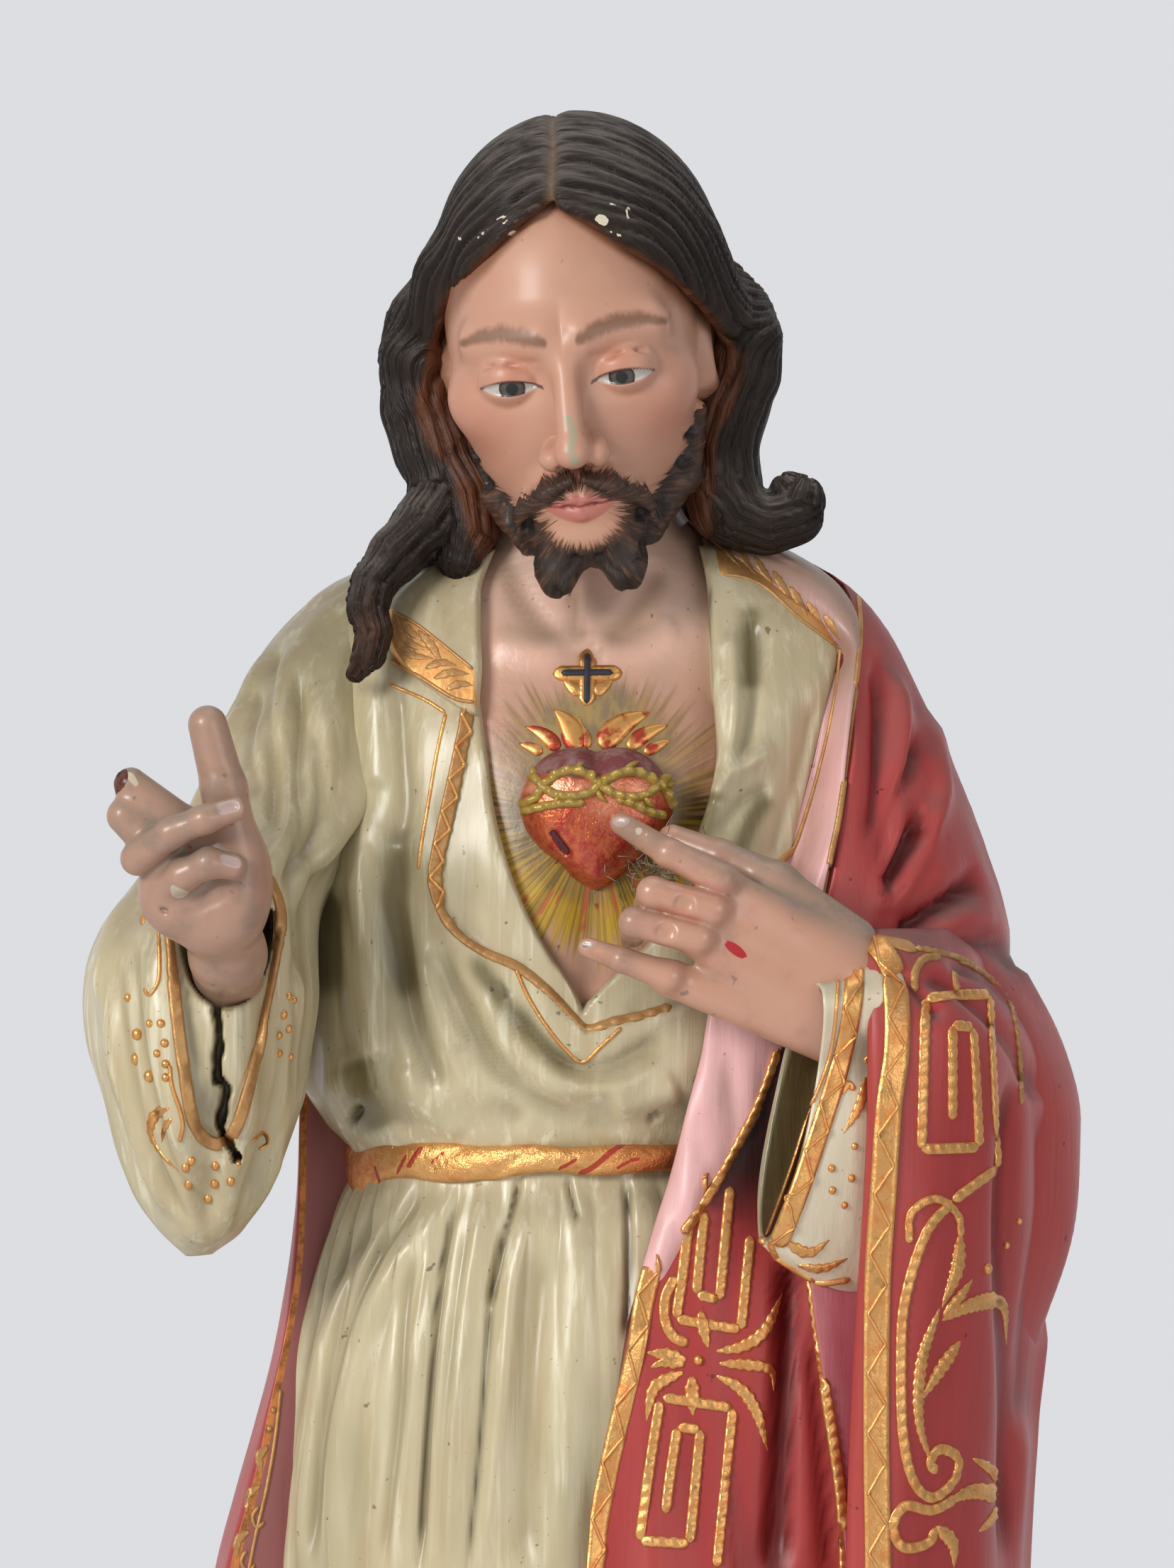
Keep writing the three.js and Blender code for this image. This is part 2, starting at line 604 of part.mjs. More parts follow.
const head = () =>
  join([cast((p) => blend(face(p), beard(p), 2), 24, 19, [0, -8, -12]), cast(hairMass, 24, 14, [0, 10, 4])]);

// Locks that leave the hair's sides: a long one on the right shoulder, an upturned curl on the left
const HAIR_LOCKS = [
  [[-50, -9, 750, 10, 18], [-46, -14, 730, 11, 18], [-46, -18, 713, 10.5, 17], [-53, -26, 700, 10, 13], [-61, -33, 688, 8.5, 10], [-65, -38, 675, 6, 7], [-61, -42, 663, 3.5, 4]],
  [[-38, -10, 722, 9, 14], [-42, -22, 706, 7, 10], [-50, -32, 692, 5.5, 7], [-55, -39, 680, 3.5, 4]],
  [[48, -8, 750, 10, 18], [46, -12, 730, 11, 18], [47, -16, 716, 11, 15], [54, -19, 708, 9.5, 11], [63, -20, 707, 7.5, 8.5], [68, -20, 714, 5, 6], [67, -20, 720, 3, 3.5]],
];

const hair = () => join(HAIR_LOCKS.map((rows) => limb(rows, { sides: 9, steps: 8, roundStart: true })));

// Relief on the chest: a heart with a swelling crown of thorns, and a small cross above it
function heart() {
  const outline = new THREE.Shape();
  outline.moveTo(0, -21);
  outline.bezierCurveTo(-12, -14, -24, -4, -22, 9);
  outline.bezierCurveTo(-20, 20, -6, 22, 0, 16);
  outline.bezierCurveTo(6, 22, 20, 20, 22, 9);
  outline.bezierCurveTo(24, -4, 12, -14, 0, -21);
  const relief = new THREE.ExtrudeGeometry(outline, { depth: 6, curveSegments: 4, bevelEnabled: true, bevelThickness: 6, bevelSize: 5, bevelOffset: -5, bevelSegments: 2 });
  relief.rotateX(Math.PI / 2).scale(share, share, share);
  const place = point(4.2, -48, 622);
  return solid(relief.translate(place.x, place.y, place.z));
}

function cross() {
  const bars = [[4, 14], [13, 4]].map(([w, h]) => {
    const bar = new THREE.BoxGeometry(w * share, 8 * share, h * share);
    const place = point(3, -41, 660);
    return solid(bar.translate(place.x, place.y, place.z));
  });
  return join(bars);
}

// Ground and the bare feet that show below the hem
function ground() {
  const rim = groundHeight / share;
  const rows = [
    [0, groundHalfWidth / share, groundHalfDepth / share, 0, 0],
    [rim * 0.6, groundHalfWidth / share - 1, groundHalfDepth / share - 1, 0, 0],
    [rim, groundHalfWidth / share - 8, groundHalfDepth / share - 8, 0, 0],
  ];
  return slices(rows, rows.map(([z]) => z), ring(28));
}

const feet = () => {
  const top = groundHeight / share;
  return [-34, 30].map((x) =>
    limb([[x, -30, top + 8, 13, 11], [x * 1.05, -62, top + 6, 14, 8], [x * 1.1, -84, top + 2.5, 13, 5]], { sides: 9, steps: 5 }),
  );
};

const figure = () =>
  join([ground(), ...feet(), tunic(), collar(), lapel(), neck(), belt(), mantle(), linings(), mantleFall(), leftArm()])
    .add(join([hair(), head()]))
    .subtract(wristLine(wristRadius, wristGap, false))
    .add(rightSleeve())
    .add(join([leftCuff(), leftHand(), heart(), cross()]));

// Plinth: a cut-cornered block with a hollow moulding between its foot and its top
const PLINTH_PROFILE = [[0, 1], [0.3, 1], [0.36, 0.78], [0.5, 0.3], [0.66, 0.06], [0.76, 0], [0.8, 0.34], [0.94, 0.34], [1, 0.1]];

function plinth() {
  const sections = PLINTH_PROFILE.map(([height, out]) => {
    const grow = plinthMargin + plinthFootStep * out;
    const [w, d] = [groundHalfWidth + grow, groundHalfDepth + grow];
    const cut = plinthChamfer;
    const corners = [[w, cut - d], [w, d - cut], [w - cut, d], [cut - w, d], [-w, d - cut], [-w, cut - d], [cut - w, -d], [w - cut, -d]];
    return corners.map(([x, y]) => new THREE.Vector3(x, y, height * plinthHeight));
  });
  return loft(sections);
}

const statue = new THREE.Group();
statue.add(piece('figure', filled(figure()), 0xd9d3b0, 0.45, 0));
statue.add(piece('right_hand', rightHand(), 0xc99a86, 0.4, 0));
statue.add(piece('plinth', plinth(), 0x4a3226, 0.5, 0));

export default statue;
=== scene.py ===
# The statue's looks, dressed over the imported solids: tunic, mantle, sleeves, head, hair, hands,
# heart relief, gilding and plinth. Tables of the figure are in millimetres of a figure 820 tall,
# standing on z = 0 and facing -Y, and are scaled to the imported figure.
import math

import bmesh
import bpy
import numpy as np
import openvdb
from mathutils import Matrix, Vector
from mathutils.bvhtree import BVHTree


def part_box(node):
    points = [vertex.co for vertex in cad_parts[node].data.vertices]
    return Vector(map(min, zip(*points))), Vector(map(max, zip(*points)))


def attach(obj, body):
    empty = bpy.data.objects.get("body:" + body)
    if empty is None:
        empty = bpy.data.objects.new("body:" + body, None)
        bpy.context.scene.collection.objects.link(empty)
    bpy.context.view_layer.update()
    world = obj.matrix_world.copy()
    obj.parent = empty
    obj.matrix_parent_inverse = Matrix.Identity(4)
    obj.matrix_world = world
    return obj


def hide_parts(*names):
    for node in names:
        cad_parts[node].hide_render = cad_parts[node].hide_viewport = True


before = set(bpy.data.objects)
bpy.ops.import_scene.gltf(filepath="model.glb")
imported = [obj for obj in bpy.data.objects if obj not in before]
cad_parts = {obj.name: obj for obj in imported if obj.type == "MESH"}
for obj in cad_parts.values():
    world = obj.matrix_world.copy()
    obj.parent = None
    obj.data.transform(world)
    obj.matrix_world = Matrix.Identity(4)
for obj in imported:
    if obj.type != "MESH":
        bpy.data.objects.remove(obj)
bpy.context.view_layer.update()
figure_low, figure_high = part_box("figure")
plinth_low, plinth_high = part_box("plinth")

TABLE_HEIGHT = 820.0
share = (figure_high[2] - figure_low[2]) / TABLE_HEIGHT
base = np.array([0.0, 0.0, figure_low[2]])


BACKWARDS = np.array([0.0, 1.0, 0.0])


# Arithmetic on arrays
def ease(low, high, v):
    t = np.clip((np.asarray(v, float) - low) / (high - low), 0, 1)
    return t * t * (3 - 2 * t)


def bell(v, width):
    return np.exp(-((np.asarray(v, float) / width) ** 2))


def along(rows, key):
    """Values at key on smooth monotone curves through rows of [key, value, value, ...]."""
    table = np.array(rows, float)
    x, y = table[:, 0], table[:, 1:]
    slope = np.diff(y, axis=0) / np.diff(x)[:, None]
    tangent = np.zeros_like(y)
    tangent[0], tangent[-1] = slope[0], slope[-1]
    mean = (y[2:] - y[:-2]) / (x[2:] - x[:-2])[:, None]
    small = 3 * np.minimum(np.abs(slope[1:]), np.abs(slope[:-1]))
    agree = (slope[1:] * slope[:-1]) > 0
    tangent[1:-1] = np.where(agree, np.sign(mean) * np.minimum(np.abs(mean), small), 0)
    key = np.clip(np.asarray(key, float), x[0], x[-1])
    i = np.clip(np.searchsorted(x, key, side="right") - 1, 0, len(x) - 2)
    span = (x[i + 1] - x[i])[..., None]
    t = (key - x[i])[..., None] / span
    value = (
        y[i] * (2 * t**3 - 3 * t**2 + 1)
        + y[i + 1] * (3 * t**2 - 2 * t**3)
        + span * (tangent[i] * (t**3 - 2 * t**2 + t) + tangent[i + 1] * (t**3 - t**2))
    )
    return [value[..., n] for n in range(value.shape[-1])]


def ripple(points, size, seed, waves=8):
    """Smooth irregular waves of about that size, roughly from -1 to 1."""
    rng = np.random.default_rng(seed)
    total = 0.0
    for _ in range(waves):
        way = rng.normal(size=3)
        way *= 2 * math.pi / (np.linalg.norm(way) * size * rng.uniform(0.7, 1.5))
        total = total + np.sin(points @ way + rng.uniform(0, 2 * math.pi))
    return total / math.sqrt(waves * 0.75)


def stack(*parts):
    return np.stack(np.broadcast_arrays(*parts), axis=-1)


def unit(v):
    return v / np.maximum(np.linalg.norm(v, axis=-1, keepdims=True), 1e-9)


# The photograph's frame. Its pixels are 0.2 mm wide in the plane through the figure's middle, and
# folds and ornaments of the front are kept as lines in them.
FRAME_WIDTH = 1656
FRAME_HEIGHT = 2212
PIXEL = 0.2
EYE = np.array([1.6, -2400.0, 631.3])


def seen(points):
    """Where points of the figure show in the frame, in pixels."""
    reach = (points[..., 1] - EYE[1]) / -EYE[1] * PIXEL
    px = FRAME_WIDTH / 2 + (points[..., 0] - EYE[0]) / reach
    py = FRAME_HEIGHT / 2 - (points[..., 2] - EYE[2]) / reach
    return px, py


def smooth_line(points, steps=8):
    """A smooth line through points of any number of values, with a few steps between each two."""
    points = np.array(points, float)
    ends = np.concatenate([2 * points[:1] - points[1:2], points, 2 * points[-1:] - points[-2:-1]])
    t = np.linspace(0, 1, steps, endpoint=False)[:, None]
    fine = []
    for a, b, c, d in zip(ends[:-3], ends[1:-2], ends[2:-1], ends[3:]):
        bend = (2 * a - 5 * b + 4 * c - d) * t**2 + (3 * b - a - 3 * c + d) * t**3
        fine.append(0.5 * (2 * b + (c - a) * t + bend))
    return np.concatenate(fine + [points[-1:]])


def travelled_along(line):
    """How far along a line each of its points lies."""
    return np.concatenate([[0], np.cumsum(np.linalg.norm(np.diff(line, axis=0), axis=1))])


def evenly(line, count, axes=3):
    """Points evenly spaced along a line, measured in its first few values."""
    length = travelled_along(line[:, :axes])
    at = np.linspace(0, length[-1], count)
    return stack(*[np.interp(at, length, line[:, n]) for n in range(line.shape[1])])


def from_line(px, py, line):
    """Distance in pixels from a line, and how far along it the nearest point lies, 0 to 1."""
    lengths = np.maximum(np.hypot(*np.diff(line, axis=0).T), 1e-6)
    nearest = np.full(px.shape, 1e9)
    travelled = np.zeros(px.shape)
    start = 0.0
    for (ax, ay), (bx, by), length in zip(line[:-1], line[1:], lengths):
        t = np.clip(((px - ax) * (bx - ax) + (py - ay) * (by - ay)) / length**2, 0, 1)
        gap = np.hypot(px - ax - t * (bx - ax), py - ay - t * (by - ay))
        travelled = np.where(gap < nearest, (start + t * length) / lengths.sum(), travelled)
        nearest = np.minimum(gap, nearest)
        start += length
    return nearest, travelled


def pressed(points, folds, share_of_depth=False):
    """Depth pressed into points by folds [width in pixels, depth in mm, [line in pixels]].

    With share_of_depth, 0 to 1 instead, as near as a point lies to the line of a fold.
    """
    px, py = seen(points)
    total = np.zeros(px.shape)
    for width, depth, line in folds:
        line = smooth_line(line, 4)
        x0, y0 = line.min(axis=0) - 3 * width
        x1, y1 = line.max(axis=0) + 3 * width
        near = (px > x0) & (px < x1) & (py > y0) & (py < y1)
        gap, way = from_line(px[near], py[near], line)
        ends = ease(0, 0.16, way) * ease(1, 0.84, way)
        fold = np.exp(-((gap / width) ** 2)) * ends
        total[near] = np.maximum(total[near], fold) if share_of_depth else total[near] - depth * fold
    return total


# Surfaces as grids of points, rows along and columns around
def outward(points, closed=True):
    """Unit normals of a grid of points, pointing away from the middle of its rows."""
    if closed:
        ring = points[:, :-1]
        around = np.roll(ring, -1, axis=1) - np.roll(ring, 1, axis=1)
        around = np.concatenate([around, around[:, :1]], axis=1)
    else:
        around = np.gradient(points, axis=1)
    normal = unit(np.cross(around, np.gradient(points, axis=0)))
    middle = points.mean(axis=1, keepdims=True)
    if np.sum(normal * (points - middle)) < 0:
        normal = -normal
    return normal


def pushed(points, amount, closed=True):
    return points + outward(points, closed) * np.asarray(amount)[..., None]


def vertex_values(mesh, kind):
    flat = np.empty(len(mesh.vertices) * 3)
    mesh.vertices.foreach_get(kind, flat)
    return flat.reshape(-1, 3)


def add_fields(mesh, fields):
    for key, values in fields.items():
        layer = mesh.attributes.new(key, "FLOAT", "POINT")
        layer.data.foreach_set("value", np.asarray(values, np.float32))


# How far hollows are looked for, in rounds of softening, and how deep one is that is fully dark, in mm
HOLLOW_ROUNDS = 36
HOLLOW_DEPTH = 1.1


def shade_and_dust_fields(mesh):
    """Fields for the paint: low in hollows, high on ridges, both 0 to 1, and up where dust can lie."""
    # low darkens hollows with painted shade and grime, high lightens ridges with painted highlights and wear
    count = len(mesh.vertices)
    place = vertex_values(mesh, "co") * 1000
    normal = vertex_values(mesh, "normal")
    ends = np.empty(len(mesh.edges) * 2, int)
    mesh.edges.foreach_get("vertices", ends)
    one, other = ends[0::2], ends[1::2]
    meets = np.maximum(np.bincount(ends, minlength=count), 1)
    soft = place.copy()
    for _ in range(HOLLOW_ROUNDS):
        for axis in range(3):
            column = soft[:, axis]
            total = np.bincount(one, column[other], count) + np.bincount(other, column[one], count)
            soft[:, axis] = total / meets
    depth = np.sum((soft - place) * normal, axis=1)
    add_fields(mesh, {
        "low": 1 - np.exp(-np.clip(depth, 0, None) / HOLLOW_DEPTH),
        "high": 1 - np.exp(-np.clip(-depth, 0, None) / HOLLOW_DEPTH),
        "up": np.clip(normal[:, 2] * 1.5 - 0.25, 0, 1),
    })


def faced_outwards(mesh, bm):
    """The mesh written back from a bmesh, with its faces pointing outwards."""
    bmesh.ops.recalc_face_normals(bm, faces=bm.faces)
    bm.to_mesh(mesh)
    bm.free()


def finish_mesh(name, mesh, material, stands_for):
    mesh.materials.append(material)
    mesh.shade_smooth()
    shade_and_dust_fields(mesh)
    piece = bpy.data.objects.new(name, mesh)
    bpy.context.scene.collection.objects.link(piece)
    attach(piece, "root")
    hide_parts(*stands_for)
    return piece


def grid(points, fields=None, capped=True):
    """A grid of points with a number of each field at each. Capped, its end rows close to a point."""
    fields = {key: np.broadcast_to(value, points.shape[:2]) for key, value in (fields or {}).items()}
    if capped:
        ends = [points[:1].mean(axis=1, keepdims=True), points[-1:].mean(axis=1, keepdims=True)]
        ends = [np.repeat(end, points.shape[1], axis=1) for end in ends]
        points = np.concatenate([ends[0], points, ends[1]])
        fields = {key: np.concatenate([f[:1], f, f[-1:]]) for key, f in fields.items()}
    return points, fields


def skin(name, grids, material, stands_for=("figure",)):
    """One mesh over several grids of points, its seams and closed ends merged."""
    bm = bmesh.new()
    for points, _ in grids:
        rows, columns = points.shape[:2]
        bmesh.ops.create_grid(bm, x_segments=columns - 1, y_segments=rows - 1, size=0.5)
    mesh = bpy.data.meshes.new(name)
    bm.to_mesh(mesh)
    flat = vertex_values(mesh, "co")
    placed, values, start = [], {key: [] for key in grids[0][1]}, 0
    for points, fields in grids:
        rows, columns = points.shape[:2]
        part = flat[start : start + rows * columns]
        start += rows * columns
        column = np.rint((part[:, 0] + 0.5) * (columns - 1)).astype(int)
        row = np.rint((part[:, 1] + 0.5) * (rows - 1)).astype(int)
        placed.append(points[row, column])
        for key in values:
            values[key].append(fields[key][row, column])
    mesh.vertices.foreach_set("co", (np.concatenate(placed) * share + base).ravel())
    add_fields(mesh, {key: np.concatenate(parts) for key, parts in values.items()})
    bm.clear()
    bm.from_mesh(mesh)
    bmesh.ops.remove_doubles(bm, verts=bm.verts, dist=1e-7)
    faced_outwards(mesh, bm)
    return finish_mesh(name, mesh, material, stands_for)


def limb(rows, around, count, side=(1, 0, 0), round_end=True):
    """Grid of a limb: rows are [x, y, z, half width, half depth], with the width towards side."""
    line = evenly(smooth_line(rows, 24), count)
    centre, radii = line[:, :3], line[:, 3:]
    tangent = unit(np.gradient(centre, axis=0))
    across = unit(np.array(side) - tangent * (tangent @ np.array(side, float))[:, None])
    over = np.cross(tangent, across)
    closing = np.ones(count)
    if round_end:
        travelled = travelled_along(centre)
        near = np.clip((travelled[-1] - travelled) / radii[-1].mean(), 0, 1)
        closing = np.sqrt(np.clip(1 - (1 - near) ** 2, 0.0004, 1))
    wide, deep = (radii * closing[:, None]).T[..., None, None]
    angle = np.linspace(0, 2 * math.pi, around + 1)[None, :, None]
    return centre[:, None] + across[:, None] * (np.cos(angle) * wide) + over[:, None] * (np.sin(angle) * deep)


# Materials, written as sums over node sockets
class Value:
    """A node's output, with arithmetic that adds Math nodes."""

    def __init__(self, paint, socket):
        self.paint, self.socket = paint, socket

    def math(self, kind, *others):
        return self.paint.node("ShaderNodeMath", 0, dict(enumerate((self, *others))), operation=kind)

    def __add__(self, other):
        return self.math("ADD", other)

    def __sub__(self, other):
        return self.math("SUBTRACT", other)

    def __rsub__(self, other):
        return self * -1 + other

    def __mul__(self, other):
        return self.math("MULTIPLY", other)

    def __truediv__(self, other):
        return self.math("DIVIDE", other)

    __radd__ = __add__
    __rmul__ = __mul__

    def clip(self):
        return self.math("MAXIMUM", 0.0).math("MINIMUM", 1.0)

    def step(self, low, high):
        """0 below low and 1 above high, eased between; it falls instead where low is over high."""
        before, after = (1.0, 0.0) if low > high else (0.0, 1.0)
        inputs = {
            "Value": self,
            "From Min": min(low, high),
            "From Max": max(low, high),
            "To Min": before,
            "To Max": after,
        }
        return self.paint.node("ShaderNodeMapRange", "Result", inputs, interpolation_type="SMOOTHSTEP")


class Paint:
    """A material with one Principled shader."""

    def __init__(self, name, roughness=0.5, metallic=0.0, coat=0.0, coat_roughness=0.2, specular=0.5):
        self.material = bpy.data.materials.new(name)
        self.material.use_nodes = True
        self.tree = self.material.node_tree
        self.shader = self.tree.nodes["Principled BSDF"]
        self.coordinates = None
        for key, value in {
            "Roughness": roughness,
            "Metallic": metallic,
            "Coat Weight": coat,
            "Coat Roughness": coat_roughness,
            "Specular IOR Level": specular,
        }.items():
            self.shader.inputs[key].default_value = value

    def feed(self, slot, value):
        if isinstance(value, Value):
            self.tree.links.new(value.socket, slot)
        elif isinstance(value, (tuple, list)):
            slot.default_value = (*value, 1.0) if len(value) == 3 and slot.type == "RGBA" else value
        else:
            slot.default_value = value

    def node(self, kind, output=0, inputs=None, **settings):
        node = self.tree.nodes.new(kind)
        for key, value in settings.items():
            setattr(node, key, value)
        for key, value in (inputs or {}).items():
            self.feed(node.inputs[key], value)
        return Value(self, node.outputs[output])

    def at(self):
        if self.coordinates is None:
            self.coordinates = self.node("ShaderNodeTexCoord", "Object")
        return self.coordinates

    def axes(self):
        split = self.tree.nodes.new("ShaderNodeSeparateXYZ")
        self.feed(split.inputs[0], self.at())
        return [Value(self, output) for output in split.outputs]

    def field(self, name):
        return self.node("ShaderNodeAttribute", "Fac", attribute_name=name)

    def noise_at(self, place, scale, detail, rough):
        inputs = {"Vector": place, "Scale": scale, "Detail": detail, "Roughness": rough}
        return self.node("ShaderNodeTexNoise", 0, inputs)

    def noise(self, size, detail=3.0, rough=0.55, stretch=(1, 1, 1), seed=0.0):
        """Noise with features of about that size in metres."""
        inputs = {"Vector": self.at(), "Location": (seed, seed * 2, seed * 3), "Scale": stretch}
        return self.noise_at(self.node("ShaderNodeMapping", 0, inputs), 1 / size, detail, rough)

    def combed_noise(self, size, stretch):
        """Noise across the strands, drawn out along them; size in mm."""
        inputs = {"X": self.field("across") / size, "Y": self.field("along") * (stretch / size)}
        return self.noise_at(self.node("ShaderNodeCombineXYZ", 0, inputs), 1.0, 3.0, 0.6)

    def streaks(self, way, scale, detail, rough):
        """Noise along one value alone."""
        inputs = {"W": way, "Scale": scale, "Detail": detail, "Roughness": rough}
        return self.node("ShaderNodeTexNoise", 0, inputs, noise_dimensions="1D")

    def mix(self, a, b, amount):
        return self.node("ShaderNodeMix", 2, {0: amount, 6: a, 7: b}, data_type="RGBA")

    def layered(self, colour, *layers):
        """A colour with others laid over it in turn, each with its amount."""
        for over, amount in layers:
            colour = self.mix(colour, over, amount)
        return colour

    def use(self, slot, value):
        self.feed(self.shader.inputs[slot], value)

    def bump(self, height, depth):
        """Height from 0 to 1 stands for that depth in metres."""
        inputs = {"Height": height, "Strength": 1.0, "Distance": depth}
        self.use("Normal", self.node("ShaderNodeBump", 0, inputs))


# Colours, linear
CREAM = (0.58, 0.5, 0.315)
CREAM_WORN_HIGHLIGHT = (0.76, 0.7, 0.5)
CREAM_OCHRE = (0.47, 0.355, 0.185)
CREAM_GREEN = (0.44, 0.39, 0.235)
CREAM_PALE = (0.76, 0.67, 0.5)
OLIVE_STAIN_AND_SHADE = (0.19, 0.17, 0.055)
OLIVE_GRIME_AND_SHADE = (0.16, 0.125, 0.05)
RED = (0.4, 0.048, 0.046)
RED_DEEP = (0.15, 0.012, 0.012)
RED_WORN_HIGHLIGHT = (0.5, 0.085, 0.07)
RED_INNER = (0.32, 0.12, 0.11)
RED_HOLLOW_SHADOW = (0.026, 0.006, 0.006)
RED_DUST_AND_SHADE = (0.17, 0.088, 0.08)
PINK = (0.86, 0.48, 0.47)
PINK_DIM = (0.42, 0.22, 0.19)
PINK_WORN = (0.8, 0.5, 0.5)
PINK_DEEP = (0.4, 0.065, 0.09)
PINK_DUSTY = (0.36, 0.215, 0.175)
PINK_GRIME_AND_SHADE = (0.3, 0.16, 0.11)
GOLD = (0.8, 0.43, 0.15)
GOLD_RED = (0.66, 0.24, 0.07)
GOLD_DARK = (0.26, 0.11, 0.03)
GOLD_BARE = (0.22, 0.06, 0.025)
GOLD_DUSTY = (0.27, 0.165, 0.075)
FLESH = (0.55, 0.29, 0.195)
FLESH_WARM = (0.52, 0.19, 0.12)
FLESH_GREY = (0.25, 0.18, 0.13)
NAIL = (0.46, 0.34, 0.31)
WOUND = (0.42, 0.012, 0.02)
BARE_PLASTER = (0.52, 0.45, 0.32)
BROKEN_PLASTER = (0.15, 0.035, 0.018)
BROKEN_DARK = (0.05, 0.014, 0.01)
HAND_SPECK = (0.16, 0.11, 0.08)
HAIR = (0.012, 0.007, 0.005)
HAIR_SHEEN = (0.03, 0.017, 0.011)
HAIR_BROWN = (0.06, 0.02, 0.008)
PLASTER = (0.7, 0.62, 0.46)
SHADE_AND_SOOT = (0.014, 0.009, 0.006)
SETTLED_DUST = (0.21, 0.16, 0.095)
CREVICE_SHADE_BROWN = (0.042, 0.03, 0.012)
SPECK_BROWN = (0.2, 0.11, 0.045)


def shaded_and_soiled(paint, colour, fleck=1.0, grime_and_shade=OLIVE_GRIME_AND_SHADE):
    """Painted shade and grime in folds, smudges and crevices, grime in patches, dust on top, dark and brown
    specks.
    """
    patch = paint.noise(0.055, 4, 0.62, (1, 1, 0.6), 4.1)
    smear = paint.noise(0.012, 4, 0.6, (1, 1, 0.5), 1.7)
    speck = paint.noise(0.0042, 2, 0.5, seed=8.3)
    fine = paint.noise(0.0017, 2, 0.5, seed=2.3)
    # Hollows are painted darker, as shade and grime; random patches add grime
    dim = paint.field("low") * (patch * 0.6 + 0.4) + patch.step(0.5, 0.76) * smear.step(0.35, 0.7) * 0.34
    return paint.layered(
        colour,
        (grime_and_shade, ((dim + paint.field("shade_and_smudge")) * 0.8).clip()),
        (SETTLED_DUST, (paint.field("up") * (smear * 0.5 + 0.5)).clip() * 0.85),
        # Crevices are painted dark brown, as shade, and the specks are soot
        (CREVICE_SHADE_BROWN, (paint.field("crevice_shade_and_grime") * (smear * 0.5 + 0.62)).clip() * 0.9),
        (SHADE_AND_SOOT, speck.step(0.73, 0.77) * (0.6 * fleck)),
        (SPECK_BROWN, fine.step(0.7, 0.74) * smear.step(0.46, 0.58) * (0.6 * fleck)),
    )


def make_cream():
    """Cream oil paint laid on in long strokes, with gilding where the field gilt is."""
    paint = Paint("cream_paint", 0.42, coat=0.3, coat_roughness=0.2)
    broad = paint.noise(0.028, 4, 0.6, (1, 1, 0.25), 3.0)
    stroke = paint.noise(0.0042, 4, 0.62, (1, 1, 0.055), 5.0)
    warm = paint.noise(0.011, 3, 0.6, (1, 1, 0.1), 9.0)
    green = paint.noise(0.045, 3, 0.6, (1, 1, 0.5), 12.0)
    colour = paint.layered(
        CREAM,
        (CREAM_OCHRE, (broad.step(0.4, 0.66) * 0.45 + warm.step(0.48, 0.7) * 0.45).clip()),
        (CREAM_GREEN, green.step(0.44, 0.68) * 0.7),
        # Olive over the smudges: stains, painted shade and painted shadow
        (OLIVE_STAIN_AND_SHADE, (paint.field("shade_and_smudge") * 1.3).clip() * 0.7),
        # Paler strokes, most on ridges: wear and painted highlight
        (CREAM_WORN_HIGHLIGHT, (stroke.step(0.5, 0.7) * (paint.field("high") * 1.2 + 0.35)).clip() * 0.75),
        (CREAM_PALE, paint.field("pale") * 0.75),
    )
    gilt = (paint.field("gilt") + (broad - 0.5) * 0.25).step(0.42, 0.55)
    leaf = paint.noise(0.004, 4, 0.65, seed=1.0)
    gilding = paint.layered(
        # Darker in hollows: painted shade
        GOLD, (GOLD_RED, leaf.step(0.45, 0.8) * 0.8), (GOLD_DARK, (paint.field("low") * 1.3).clip())
    )
    paint.use("Base Color", paint.mix(shaded_and_soiled(paint, colour), gilding, gilt))
    paint.use("Metallic", gilt * 0.8)
    paint.use("Roughness", (broad * 0.28 + stroke * 0.12 + 0.2 + gilt * 0.04).clip())
    paint.bump(stroke, 0.00035)
    return paint.material


